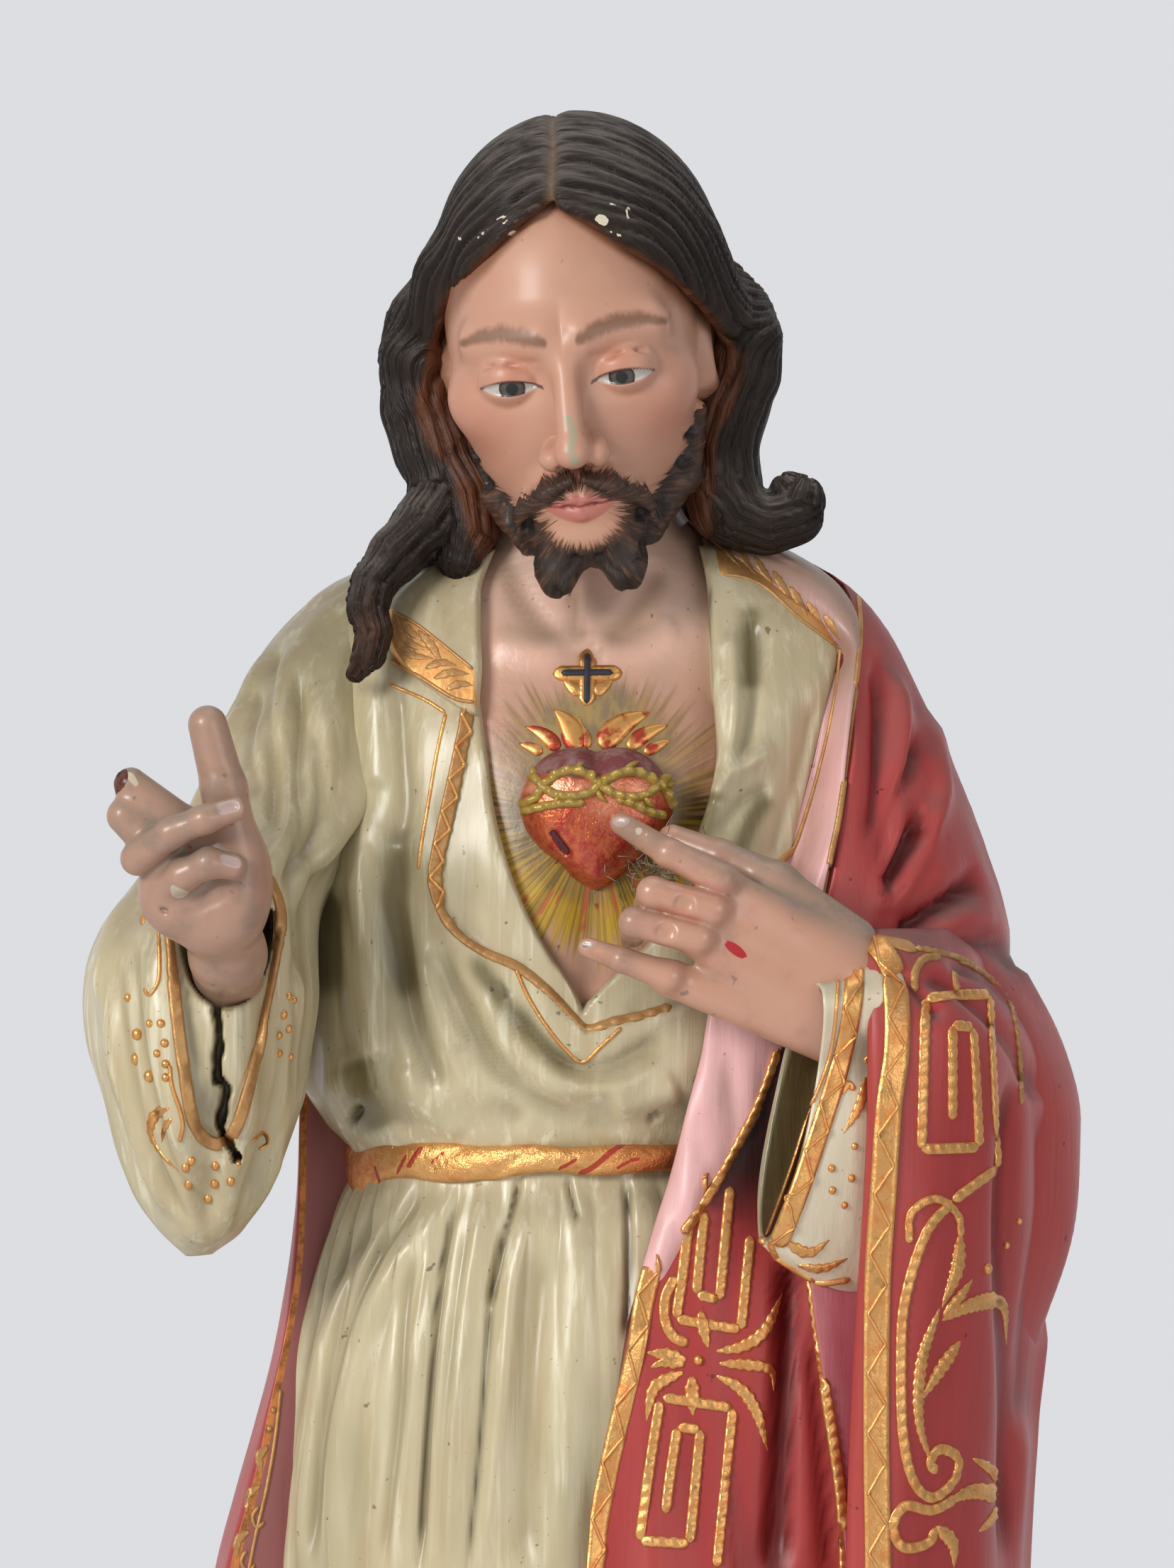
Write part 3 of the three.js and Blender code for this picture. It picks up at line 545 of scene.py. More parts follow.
def make_red():
    paint = Paint("mantle_red", 0.45, coat=0.12, coat_roughness=0.3, specular=0.25)
    tone = paint.noise(0.045, 4, 0.6, (1, 1, 0.35), 2.0)
    stroke = paint.noise(0.005, 4, 0.62, (1, 1, 0.07), 6.0)
    # Painted shade in the hollows and crevices is weaker at the back than in front
    front = paint.axes()[1].step(0.03, -0.01) * 0.65 + 0.2
    dust = (paint.field("up") * paint.noise(0.02, 4, 0.6, seed=9.0).step(0.2, 0.65)).clip()
    speck = paint.noise(0.0046, 2, 0.5, seed=3.3)
    colour = paint.layered(
        RED,
        # Darker in hollows: painted shade, and in random patches
        (RED_DEEP, (tone.step(0.45, 0.8) * 0.3 + paint.field("low") * (front + 0.3)).clip()),
        # Paler strokes and ridges: wear and painted highlight
        (RED_WORN_HIGHLIGHT, (stroke.step(0.5, 0.75) * 0.25 + paint.field("high") * 0.35).clip()),
        (RED_INNER, (paint.field("inner") * (tone + 0.45)).clip() * 0.9),
        # Dust on upward faces, which also paints shade over the shoulder
        (RED_DUST_AND_SHADE, dust * 0.92),
        (SHADE_AND_SOOT, (speck.step(0.73, 0.77) * 0.6 + paint.field("crevice_shade_and_grime") * front).clip()),
        # Near black behind the belt: painted shadow
        (RED_HOLLOW_SHADOW, paint.field("hollow_shadow")),
    )
    gilt = (paint.field("gilt") + (tone - 0.5) * 0.3).step(0.35, 0.6)
    leaf = paint.noise(0.004, 4, 0.65, seed=1.0)
    paint.use("Base Color", paint.mix(colour, paint.mix(GOLD_RED, GOLD_DARK, leaf.step(0.4, 0.7)), gilt))
    paint.use("Metallic", gilt * 0.7)
    paint.use("Roughness", (dust * 0.35 + tone * 0.2 + stroke * 0.1 + 0.24).clip())
    paint.bump(stroke, 0.0003)
    return paint.material


def make_pink():
    paint = Paint("lining_pink", 0.5, coat=0.12)
    tone = paint.noise(0.02, 4, 0.6, (1, 1, 0.4), 2.5)
    stroke = paint.noise(0.004, 4, 0.62, (1, 1, 0.07), 7.0)
    colour = paint.layered(
        PINK,
        # Darker in hollows: painted shade, and in random patches
        (PINK_DIM, (tone.step(0.4, 0.75) * 0.4 + paint.field("low") * 0.8).clip()),
        (PINK_WORN, stroke.step(0.5, 0.72) * 0.5),
        (PINK_DEEP, (paint.field("deep") * (tone * 0.6 + 0.6)).clip()),
        (PINK_DUSTY, (paint.field("dusty") * (tone * 0.5 + 0.6)).clip()),
    )
    paint.use("Base Color", shaded_and_soiled(paint, colour, 0.6, PINK_GRIME_AND_SHADE))
    paint.use("Roughness", stroke * 0.2 + 0.32)
    paint.bump(stroke, 0.0003)
    return paint.material


def make_gold(name, dust):
    paint = Paint(name, 0.34, metallic=0.85 - dust * 0.4, specular=0.5)
    tone = paint.noise(0.006, 4, 0.65, seed=1.0)
    worn = paint.noise(0.003, 4, 0.65, seed=11.0)
    colour = paint.layered(
        GOLD,
        (GOLD_RED, tone.step(0.42, 0.75) * 0.8),
        # Darker in hollows: painted shade, and in random patches
        (GOLD_DARK, (paint.field("low") * 1.6 + tone.step(0.46, 0.3) * 0.35).clip()),
        (GOLD_BARE, worn.step(0.64, 0.72) * 0.6),
        (GOLD_DUSTY, (tone + 0.4).clip() * dust),
    )
    paint.use("Base Color", colour)
    paint.use("Roughness", tone * 0.4 + (0.18 + dust * 0.2))
    paint.bump(paint.noise(0.0016, 3, 0.6, seed=4.0), 0.00022)
    return paint.material


cream = make_cream()
red = make_red()
pink = make_pink()
gold = make_gold("gilding", 0.0)
dull_gold = make_gold("gilding_dusty", 0.6)


# Tunic: half width, half depth and centre by height
TUNIC = [
    [4, 90, 69, -2, 0],
    [110, 87, 66, -2, 0],
    [260, 87, 63, -1, 0],
    [410, 87.5, 60, 0, 0],
    [466, 81.5, 57, 0, 0],
    [508, 70, 51, 0, 0],
    [526, 63.5, 46, -1.5, 0],
    [536, 69, 49, -3, 0],
    [548, 74, 55, -4, 0],
    [600, 77, 56, -3.5, -1],
    [630, 77, 53, -2, 0],
    [655, 82, 47, 0, 2],
    [672, 83, 41, 0, 4],
    [686, 73, 35, 0, 6],
    [696, 52, 31, 0, 7],
    [704, 32, 27, 1, 7],
]
SKIRT_FOLDS = 20
BELT_LEVEL = 527
# How far the tunic is sunk inside its opening, behind the chest
CHEST_DEPTH = 11
# The chest's opening in the tunic: its two edges by height
OPENING = [
    [570, 0, 1], [574, -2, 5], [579, -5, 10], [587, -10.5, 18.5], [599, -16.5, 29], [613, -21.5, 38],
    [626, -24.5, 41], [639, -26, 40], [654, -28, 36.5], [672, -29, 35.5], [688, -28.5, 34.5],
    [704, -27, 33.5],
]
# The outer edge of the tunic's turned facing, as a closed line in pixels of the frame
FACING = [
    [664, 800], [665, 961], [659, 1010], [650, 1059], [641, 1103], [630, 1152], [617, 1212],
    [613, 1248], [622, 1286], [648, 1321], [686, 1346], [730, 1366], [772, 1400], [806, 1436],
    [828, 1456], [872, 1442], [930, 1428], [1010, 1400], [1060, 1250], [1060, 800],
]
# The tunic's crevices in front, painted dark as shade, its soft folds and its ridges, in pixels of the frame
TUNIC_CREVICES = [
    [6, 3.6, [[652, 1655], [645, 1690], [630, 1737], [617, 1838], [605, 1971], [598, 2079], [590, 2240]]],
    [6, 3.4, [[732, 1650], [728, 1680], [709, 1750], [696, 1813], [690, 1850]]],
    [5, 1.8, [[694, 1800], [684, 1940], [674, 2066], [656, 2240]]],
    [6, 2.2, [[886, 1650], [885, 1690], [887, 1750], [887, 1830], [882, 1900]]],
    [5, 1.8, [[798, 1655], [806, 1690], [817, 1728]]],
    [12, 4.5, [[494, 1572], [500, 1577], [506, 1582]]],
    [7, 3.0, [[919, 1572], [922, 1577], [925, 1582]]],
    [6, 1.4, [[700, 1382], [709, 1396], [717, 1410]]],
]
TUNIC_FOLDS = [
    [10, 2.6, [[606, 1660], [574, 1710], [536, 1765], [500, 1840], [474, 1920], [452, 2030], [436, 2230]]],
    [15, -2.2, [[640, 1665], [606, 1730], [560, 1790], [520, 1860], [492, 1950], [472, 2060], [460, 2230]]],
    [9, 1.6, [[600, 1700], [580, 1780], [570, 1860], [566, 1960], [556, 2080], [540, 2230]]],
    [11, -1.5, [[618, 1720], [600, 1800], [588, 1880], [578, 1980], [566, 2090], [556, 2230]]],
    [13, -1.8, [[690, 1660], [672, 1740], [656, 1830], [646, 1950], [636, 2060], [628, 2230]]],
    [8, 1.2, [[668, 1700], [652, 1800], [640, 1900], [628, 2040], [618, 2230]]],
    [15, -2.0, [[762, 1665], [742, 1740], [722, 1830], [712, 1950], [698, 2060], [684, 2230]]],
    [26, 2.2, [[770, 1740], [760, 1850], [746, 1990], [738, 2230]]],
    [30, -1.6, [[836, 1690], [824, 1800], [808, 1950], [796, 2230]]],
    [12, 1.4, [[556, 1690], [506, 1750], [462, 1830], [432, 1930], [414, 2060], [404, 2230]]],
    [12, -1.2, [[520, 1750], [478, 1820], [444, 1920], [424, 2050], [416, 2230]]],
    [18, 3.0, [[470, 1240], [462, 1330], [468, 1430], [486, 1520]]],
    [20, -2.6, [[512, 1130], [508, 1230], [514, 1340], [528, 1450], [552, 1540]]],
    [20, 3.2, [[566, 1190], [560, 1270], [566, 1370], [590, 1470], [630, 1560]]],
    [16, -1.8, [[594, 1330], [612, 1420], [656, 1510], [712, 1575]]],
    [15, 2.4, [[616, 1318], [640, 1400], [690, 1490], [756, 1556], [830, 1580]]],
    [17, -2.0, [[668, 1390], [720, 1470], [790, 1528], [870, 1530], [950, 1490]]],
    [14, 2.2, [[716, 1412], [766, 1474], [824, 1510], [884, 1496], [950, 1452]]],
    [15, 1.8, [[640, 1470], [690, 1546], [748, 1592]]],
    [16, -1.6, [[560, 1500], [600, 1566], [660, 1604]]],
    [13, 1.6, [[540, 1480], [556, 1560], [580, 1606]]],
    [22, -2.0, [[860, 1560], [910, 1548], [960, 1530]]],
    [15, 2.0, [[556, 960], [566, 1040], [572, 1130], [562, 1200]]],
    [20, -1.6, [[530, 960], [528, 1040], [524, 1120]]],
]
# Painted grime and hand shadow on it, and the gilt fields of its collar and lapel as closed lines
TUNIC_SHADOWS_AND_SMUDGES = [
    [20, 0, [[456, 1150], [452, 1240], [454, 1320], [464, 1420]]],
    [19, 0, [[572, 1160], [556, 1240], [556, 1320], [578, 1420]]],
    [12, 0, [[660, 1340], [700, 1400], [760, 1470], [820, 1520]]],
    [26, 0, [[500, 1490], [520, 1550], [540, 1600]]],
]
COLLAR_GILT = [[548, 858], [586, 878], [628, 912], [668, 944], [673, 996], [645, 990], [600, 962], [555, 938]]
LAPEL_GILT = [
    [1004, 748], [1040, 762], [1081, 792], [1141, 846], [1200, 890], [1184, 917], [1128, 873], [1081, 830],
    [1040, 812], [1016, 814],
]


def crease(phase):
    return 1 - 2 * np.abs(np.sin(phase / 2)) ** 0.7


def cloth_ring(rows, angle, z):
    a, b, x, y = along(rows, z)
    return stack(x + a * np.cos(angle), y + b * np.sin(angle), z)


def rings(rows, z, columns, shares, turns):
    """Rings by height, their columns spread round by turns at shares of their number."""
    turn = np.interp(np.linspace(0, 1, columns), shares, turns) * 2 * math.pi
    angle, level = np.broadcast_arrays(turn[None, :], z[:, None])
    return cloth_ring(rows, angle, level), angle, level


def tunic_form(angle, z):
    """The tunic's surface before its finer folds are pressed in."""
    turned = angle + ease(500, 380, z) * (0.05 * np.sin(3 * angle + 1) + 0.03 * np.sin(z * 0.017 + 4 * angle))
    below = ease(BELT_LEVEL - 4, BELT_LEVEL - 110, z)
    depth = 2.2 + 1.6 * ease(430, 60, z) + 0.9 * np.sin(2.7 * angle + 0.6)
    bent = np.arctan2(np.sin(angle + 1.95), np.cos(angle + 1.95))
    knee = 9 * bell(bent, 0.45) * bell(z - 225, 95)
    pleats = crease(SKIRT_FOLDS * angle)
    pleats = pleats + 0.45 * crease(2 * SKIRT_FOLDS * angle + 0.9 + 0.5 * np.sin(5 * angle))
    # In front, where the folds are drawn one by one, the pleats all but vanish
    drawn = ease(0.35, 0.75, -np.sin(angle)) * ease(330, 400, z)
    pleats = pleats * (1 - 0.88 * drawn)
    skirt = knee - depth * below * (1 - 0.06 * knee) * pleats
    gathers = ease(BELT_LEVEL - 2, BELT_LEVEL - 12, z) * ease(BELT_LEVEL - 90, BELT_LEVEL - 20, z)
    skirt = skirt - (0.5 + 0.8 * (1 - drawn)) * gathers * crease(46 * angle + 0.8 * np.sin(7 * angle))
    above = ease(BELT_LEVEL + 5, BELT_LEVEL + 30, z) * (1 - ease(640, 685, z))
    plain = cloth_ring(TUNIC, turned, z)
    sag = 556 + 0.03 * plain[..., 0] ** 2
    front = ease(0.2, 0.7, -np.sin(angle))
    drape = 0.5 * front * np.cos((z - sag) / 17 * math.pi) * (1 - ease(606, 630, z))
    fold = skirt + above * (drape + (1.5 - 1.1 * front) * np.cos(13 * angle - 0.03 * z))
    radial = plain - stack(*along([[r[0], r[3], r[4]] for r in TUNIC], z), z)
    return plain + radial * (fold / np.linalg.norm(radial, axis=-1))[..., None]


def inside_of(px, py, outline):
    """Distance in pixels inside a closed outline, negative outside."""
    outline = np.array(outline, float)
    closed = np.concatenate([outline, outline[:1]])
    gap, _ = from_line(px, py, closed)
    crossed = np.zeros(px.shape, bool)
    for (ax, ay), (bx, by) in zip(closed[:-1], closed[1:]):
        if ay != by:
            crossed ^= ((ay > py) != (by > py)) & (px < (bx - ax) * (py - ay) / (by - ay) + ax)
    return np.where(crossed, gap, -gap)


def tunic_surface(angle, z):
    """The folded tunic, a step lower in its facing and sunk to the chest inside its opening."""
    points = tunic_form(angle, z)
    px, py = seen(points)
    facing = ease(-3, 5, inside_of(px, py, FACING)) * (np.sin(angle) < 0)
    drawn = ease(0.0, 0.35, -np.sin(angle)) * (1 - 0.8 * facing)
    fine = (pressed(points, TUNIC_FOLDS) + pressed(points, TUNIC_CREVICES)) * drawn
    fine = fine + 0.35 * ripple(points * [1, 1, 0.35], 16, 5)
    plain = cloth_ring(TUNIC, angle, z)
    points = points + (plain - points) * (facing * 0.75)[..., None]
    points = pushed(points, fine - 1.8 * facing)
    left, right = along(OPENING, z)
    x = points[..., 0]
    in_front = np.sin(angle) < 0
    inside = ease(-0.7, 1.0, np.minimum(x - left, right - x)) * ease(568, 571, z) * in_front
    fields = {
        # Crevices are painted dark, as shade
        "crevice_shade_and_grime": pressed(points, TUNIC_CREVICES, True) ** 5 * drawn,
        # Olive smudges are the hand's painted shadow and grime, and the shoulders are painted darker
        "shade_and_smudge": np.maximum(pressed(points, TUNIC_SHADOWS_AND_SMUDGES, True) * in_front, 0.4 * ease(645, 690, z)),
        "gilt": ease(-2, 2, inside_of(px, py, COLLAR_GILT)) * in_front,
    }
    return points + BACKWARDS * (inside * CHEST_DEPTH)[..., None], fields


# Two guides of the columns, spread under the opening and along its edges above
GUIDES = [
    [520, -30, 30], [545, -20, 20], [562, -8, 9], [571, -2.4, 3.4], [579, -6, 11], *OPENING[3:],
]


def bodice_angles(z, count):
    """Angles round the bodice, close together in front, with two that follow the opening's edges."""
    left, right = along(GUIDES, z)
    half, _, middle, _ = along(TUNIC, z)
    at_left = 1.5 * math.pi + np.arcsin(np.clip((left - middle) / half, -1, 1))
    at_right = 1.5 * math.pi + np.arcsin(np.clip((right - middle) / half, -1, 1))
    first, last = np.full_like(z, 0.85 * math.pi), np.full_like(z, 2.05 * math.pi)
    keys = stack(first, at_left, at_right, last, first + 2 * math.pi)
    u = np.linspace(0, 1, count)
    return np.stack([np.interp(u, [0, 0.44, 0.6, 0.93, 1], row) for row in keys])


def tunic_grid(z, angle):
    return grid(*tunic_surface(angle, np.broadcast_to(z[:, None], angle.shape)))


skirt_levels = np.concatenate([np.linspace(4, 400, 66), np.linspace(400, 528, 90)[1:]])
skirt_turn = np.interp(np.linspace(0, 1, 249), [0, 0.06, 0.8, 0.92, 1], [0.85, 1.0, 1.62, 1.95, 2.85])
bodice_levels = np.linspace(524, 703.5, 144)
skirt_angles = np.tile(skirt_turn * math.pi, (len(skirt_levels), 1))
skirt = skin("tunic_skirt", [tunic_grid(skirt_levels, skirt_angles)], cream)
bodice = skin("tunic_bodice", [tunic_grid(bodice_levels, bodice_angles(bodice_levels, 250))], cream)


# Mantle: half width towards the left arm, half width towards the right side, front, back. Its
# rings are squarer than ellipses by this power.
MANTLE_POWER = 2.25
MANTLE = [
    [6, 122, 104, 82, 88],
    [200, 119, 107, 73, 80],
    [330, 119, 108.5, 69, 77],
    [380, 119.5, 107, 67, 75],
    [410, 120, 103, 66, 74],
    [430, 123, 97.5, 65, 72.5],
    [451, 126, 91.5, 64, 71],
    [472, 128, 86, 63, 69],
    [508, 139, 80.5, 61, 67],
    [536, 141, 79, 60, 66],
    [556, 136, 77, 60, 66],
    [583, 123, 76, 60, 65],
    [603, 117, 74, 60, 64],
    [631, 107, 72, 57, 60],
    [661, 93, 68, 52, 55],
    [676, 85, 62, 46, 50],
    [688, 74, 52, 38, 42],
    [699, 54, 36, 32, 34],
    [706, 34, 24, 27, 28],
]
# Its front edge across the figure, as x by height, and its far end, as an angle by height
MANTLE_EDGE = [
    [6, -20], [180, -17], [300, -11], [410, 1.5], [454, 9], [487, 15], [514, 28], [534, 41], [560, 55],
    [600, 68], [620, 72], [653, 77], [680, 76], [690, 70], [706, 34],
]
MANTLE_END = [
    [6, 196], [410, 192], [500, 186], [560, 172], [620, 140], [670, 118], [706, 104],
]
# The painted shadow in the hollow behind the belt, as a closed line, and the folds in front, in pixels
MANTLE_HOLLOW_SHADOW = [
    [1103, 1450], [1077, 1518], [1051, 1570], [1025, 1621], [996, 1666], [985, 1690], [1020, 1722],
    [1075, 1750], [1100, 1690], [1130, 1620], [1160, 1548], [1170, 1450],
]
MANTLE_FOLDS = [
    [18, 5.5, [[1120, 1740], [1117, 1829], [1106, 2000], [1094, 2250]]],
    [12, 2.6, [[1142, 1850], [1152, 1960], [1164, 2100], [1172, 2250]]],
    [14, 7.5, [[1244, 1262], [1262, 1232], [1286, 1190], [1304, 1150]]],
    [11, 7.5, [[1264, 1322], [1300, 1298], [1340, 1270], [1390, 1236]]],
    [13, -3.4, [[1238, 1300], [1256, 1200], [1266, 1100], [1270, 1000], [1252, 930]]],
    [12, -3.0, [[1252, 1290], [1296, 1200], [1326, 1130], [1318, 1050], [1296, 1000]]],
    [10, 3.4, [[1242, 1230], [1258, 1140], [1284, 1080], [1292, 1030]]],
    [11, 2.6, [[1226, 1200], [1238, 1100], [1244, 1000], [1236, 920]]],
    [16, 3.0, [[1330, 1345], [1400, 1330], [1450, 1370]]],
    [14, -2.2, [[1300, 1330], [1360, 1300], [1410, 1290]]],
]


def mantle_point(angle, z):
    left, right, front, back = along(MANTLE, z)
    a = np.where(np.cos(angle) > 0, left, right)
    b = np.where(np.sin(angle) > 0, back, front)
    ring = np.abs(np.cos(angle) / a) ** MANTLE_POWER + np.abs(np.sin(angle) / b) ** MANTLE_POWER
    plain = ring ** (-1 / MANTLE_POWER)
    depth = 1.5 + 3 * ease(620, 200, z)
    fade = 1 - ease(640, 700, z)
    # Crisper ridges than a plain wave, and a smaller fold beside each broad one
    wave = 10 * angle + 1.1 * np.sin(2 * angle + z * 0.006)
    crisp = 0.6 * np.cos(wave) + 0.4 * crease(wave + math.pi)
    small = 0.22 * crease(20 * angle + 2.0 * np.sin(3 * angle + z * 0.009) + 0.7)
    # Swags hang across the back between the shoulders
    hang = np.sin(angle) > 0
    turn = (z - 0.014 * (75 * np.cos(angle) + 9) ** 2 - 590) / 24 + 0.35 * np.sin(z / 31 + 4 * np.cos(angle))
    swag = bell(np.cos(angle) + 0.12, 0.55) * np.cos(turn * math.pi) * ease(430, 520, z)
    swag = swag * (0.7 + 0.3 * np.sin(z / 37))
    depth = depth * (1 + 0.9 * ease(0.1, 0.6, np.sin(angle)))
    radius = plain + depth * fade * (crisp + small) + 2.0 * hang * swag * fade
    return stack(radius * np.cos(angle), radius * np.sin(angle), z)


def mantle_front(x, z, left=None):
    """The mantle's plain front at x, from its own half width there or a given one."""
    own, _, front, _ = along(MANTLE, z)
    inside = 1 - np.abs(x / (own if left is None else left)) ** MANTLE_POWER
    return -front * np.clip(inside, 0.02, 1) ** (1 / MANTLE_POWER)


def mantle_grid():
    z = np.linspace(6, 705.5, 225)
    left, _, front, _ = along(MANTLE, z)
    x = along(MANTLE_EDGE, z)[0]
    start = np.arctan2(-front * (1 - np.abs(x / left) ** MANTLE_POWER) ** (1 / MANTLE_POWER), x)
    end = np.radians(along(MANTLE_END, z)[0])
    # More columns in front, where it is seen closest
    t = np.concatenate([np.linspace(0, 0.42, 88), np.linspace(0.42, 1, 48)[1:]])
    angle = start[:, None] + (end - start)[:, None] * t
    outer = mantle_point(angle, np.broadcast_to(z[:, None], angle.shape))
    fine = pressed(outer, MANTLE_FOLDS) + 0.5 * ripple(outer * [1, 1, 0.3], 22, 11)
    outer = outer + outward(outer, False) * fine[..., None]
    px, py = seen(outer)
    # The hollow behind the belt is painted near black, as its shadow
    hollow_shadow = ease(-8, 8, inside_of(px, py, MANTLE_HOLLOW_SHADOW)) * ease(1790, 1640, py) * (np.sin(angle) < 0)
    # The edges roll over to the cloth's inner side
    rim = np.linspace(0, 1, 9)[1:]
    inner_start = outer[:, :1] * [0.9, 0.9, 1] + [0, 6, 0]
    inner_end = outer[:, -1:] * [0.9, 0.9, 1]
    middle = outer.mean(axis=1, keepdims=True) * [0.3, 0.3, 0] + [0, 0, 1] * outer[:, :1]
    rolled = ease(0, 1, rim)[None, :, None]
    roll_end = outer[:, -1:] + (inner_end - outer[:, -1:]) * rolled
    roll_start = inner_start + (outer[:, :1] - inner_start) * rolled
    # A gilt rim follows the far edge, and the cloth's inner side shows beside it
    columns = np.arange(outer.shape[1] + 2 * len(rim) + 2)[None, :] - outer.shape[1]
    low = ease(570, 550, z)[:, None]
    fields = {
        "hollow_shadow": np.concatenate([hollow_shadow, np.zeros((len(z), columns.size - outer.shape[1]))], axis=1),
        "gilt": low * ((columns >= 0) & (columns <= 1)),
        "inner": low * ((columns >= 0) & (columns <= len(rim))),
    }
    return grid(np.concatenate([outer, roll_end, middle, inner_start, roll_start], axis=1), fields)


mantle = skin("mantle", [mantle_grid()], red)


# The fall of the mantle over the left forearm: its near border and its far side, by height
FALL = [
    [150, 70, -62, 116, -20],
    [185, 72, -74, 122, -8],
    [300, 73, -80, 124, 0],
    [410, 75, -84, 127, 2],
    [470, 77, -86, 131, 2],
    [520, 80, -88, 137, 0],
    [550, 81, -89, 134, -2],
    [570, 81, -87, 126, -6],
    [584, 80, -80, 114, -10],
    [591, 80, -68, 104, -14],
]
FALL_FOLDS = [
    [14, 4.0, [[1440, 1480], [1424, 1600], [1420, 1800], [1426, 2000], [1420, 2240]]],
    [13, 3.4, [[1290, 1372], [1360, 1400], [1430, 1470], [1470, 1560]]],
    [12, 3.0, [[1330, 1352], [1400, 1376], [1460, 1440], [1500, 1530]]],
    [13, 3.4, [[1480, 1560], [1476, 1700], [1456, 1850], [1446, 2050]]],
    [12, 2.4, [[1508, 1560], [1500, 1700], [1482, 1820], [1470, 1900]]],
    [10, 2.2, [[1260, 1366], [1300, 1400], [1330, 1440]]],
]


def fall_grid():
    z = np.concatenate([np.linspace(150, 540, 150), np.linspace(540, 591, 52)[1:]])
    x0, y0, x1, y1 = [v[:, None] for v in along(FALL, z)]
    level = z[:, None]
    t = np.linspace(0, 1, 100)[None, :]
    bend = ease(591, 560, level)
    ripples = np.cos(t * 15 - 0.6) * 1.6 * ease(560, 380, level) * np.sin(math.pi * t)
    bulge = np.sin(math.pi * t**0.8) * (10 + 5 * bend) + ripples
    outer = stack(x0 + (x1 - x0) * t + bulge * 0.7, y0 + (y1 - y0) * t - bulge, level)
    fine = pressed(outer, FALL_FOLDS) + 0.4 * ripple(outer * [1, 1, 0.3], 20, 13)
    normal = outward(outer, False)
    normal = np.where(normal[..., 1:2] > 0, -normal, normal)
    outer = outer + normal * fine[..., None]
    corners = [stack(x1 - 8, y1 + 10, level), stack(x1 - 30, y1 + 24, level), stack(x0 - 5, y0 + 44, level)]
    # Its near border is rounded over to the back
    lip = np.linspace(0, 1, 7)[1:-1] * math.pi
    front = [stack(x0 - 3.2 * math.sin(a), y0 + 3.5 - 3.5 * math.cos(a), level) for a in lip[::-1]]
    return grid(np.concatenate([outer, *corners, *front, outer[:, :1]], axis=1))


fall = skin("mantle_fall", [fall_grid()], red)


# Sheets of cloth between two edges, given as rows of [height, x of one edge, x of the other]
def between_edges(rows, count, columns):
    """Steps across from 0 to 1, and the x and height of every point of the sheet."""
    z = np.linspace(rows[0][0], rows[-1][0], count)
    left, right = along(rows, z)[:2]
    t = np.linspace(0, 1, columns)[None, :]
    x = left[:, None] + (right - left)[:, None] * t
    return t, x, z[:, None] + 0 * x


def backed(over, back):
    """The points of a sheet's face and, closed round, those of its back at the given y."""
    under = stack(over[:, ::-1, 0], back[:, ::-1], over[..., 2])
    return np.concatenate([over, under, over[:, :1]], axis=1)


# Turn of the mantle's pink lining beside the belt
LINING_TURN = [
    [486, 14.5, 16.5], [493, 15.5, 22], [509, 20, 31], [525, 25, 40], [541, 29, 50], [556, 33, 56],
    [562, 34, 58], [575, 36, 60],
]


def lining_turn():
    t, x, level = between_edges(LINING_TURN, 60, 40)
    y = mantle_front(x, level, 120) - 3.5 * np.sin(math.pi * t) ** 0.6 * ease(478, 512, level) + 1
    over = stack(x, y, level)
    over[..., 1] -= 0.5 * ripple(over * [1, 1, 0.4], 12, 31)
    return grid(backed(over, y + 9))


turned_lining = skin("lining_turn", [lining_turn()], pink)

# The sheet of lining behind the fall
LINING_SHEET = [
    [150, 74, 92], [300, 74, 92], [410, 73, 90], [455, 68, 90], [492, 63, 88], [520, 60, 84],
]


def lining_sheet():
    t, x, level = between_edges(LINING_SHEET, 80, 30)
    y = -76 + 8 * t + 1.2 * np.sin(level * 0.05) * (1 - t) + 2.5 * ease(480, 520, level)
    return grid(backed(stack(x, y, level), y + 10), {"deep": 1.0})


hanging_lining = skin("lining_sheet", [lining_sheet()], pink)


# Right sleeve: a hanging bag from shoulder to elbow to its point
RIGHT_SLEEVE = [
    [501, 4, 6, -105.5, -50],
    [508, 11.5, 20, -105, -48],
    [523, 20, 32, -104.5, -46],
    [541, 26, 42, -104, -45],
    [560, 30, 45, -105.5, -43],
    [573, 31.5, 46, -105.5, -41],
    [590, 29.5, 45, -104, -37],
    [604, 26.5, 42, -96.5, -30],
    [625, 27, 35, -82, -14],
    [648, 26, 32, -74, -3],
    [670, 23, 27, -66, 4],
    [686, 16, 21, -56, 7],
    [693, 8, 13, -48, 7],
]
SLEEVE_FOLDS = [
    [8, 2.0, [[132, 1370], [140, 1480], [168, 1600], [215, 1700], [262, 1760]]],
    [8, 1.8, [[160, 1330], [166, 1450], [196, 1590], [240, 1690], [290, 1745]]],
    [8, 1.8, [[190, 1300], [192, 1420], [214, 1560], [262, 1670], [320, 1720]]],
    [9, 2.2, [[400, 1420], [402, 1520], [380, 1620], [340, 1700]]],
    [9, 2.0, [[412, 1330], [420, 1450], [412, 1560], [385, 1650]]],
    [11, 2.6, [[385, 880], [378, 980], [382, 1080], [392, 1190]]],
    [12, 3.4, [[415, 930], [420, 1030], [424, 1140], [420, 1260], [424, 1400]]],
    [11, 2.4, [[355, 960], [352, 1050], [360, 1130]]],
    [14, 3.0, [[440, 1000], [450, 1100], [446, 1210], [440, 1330]]],
]
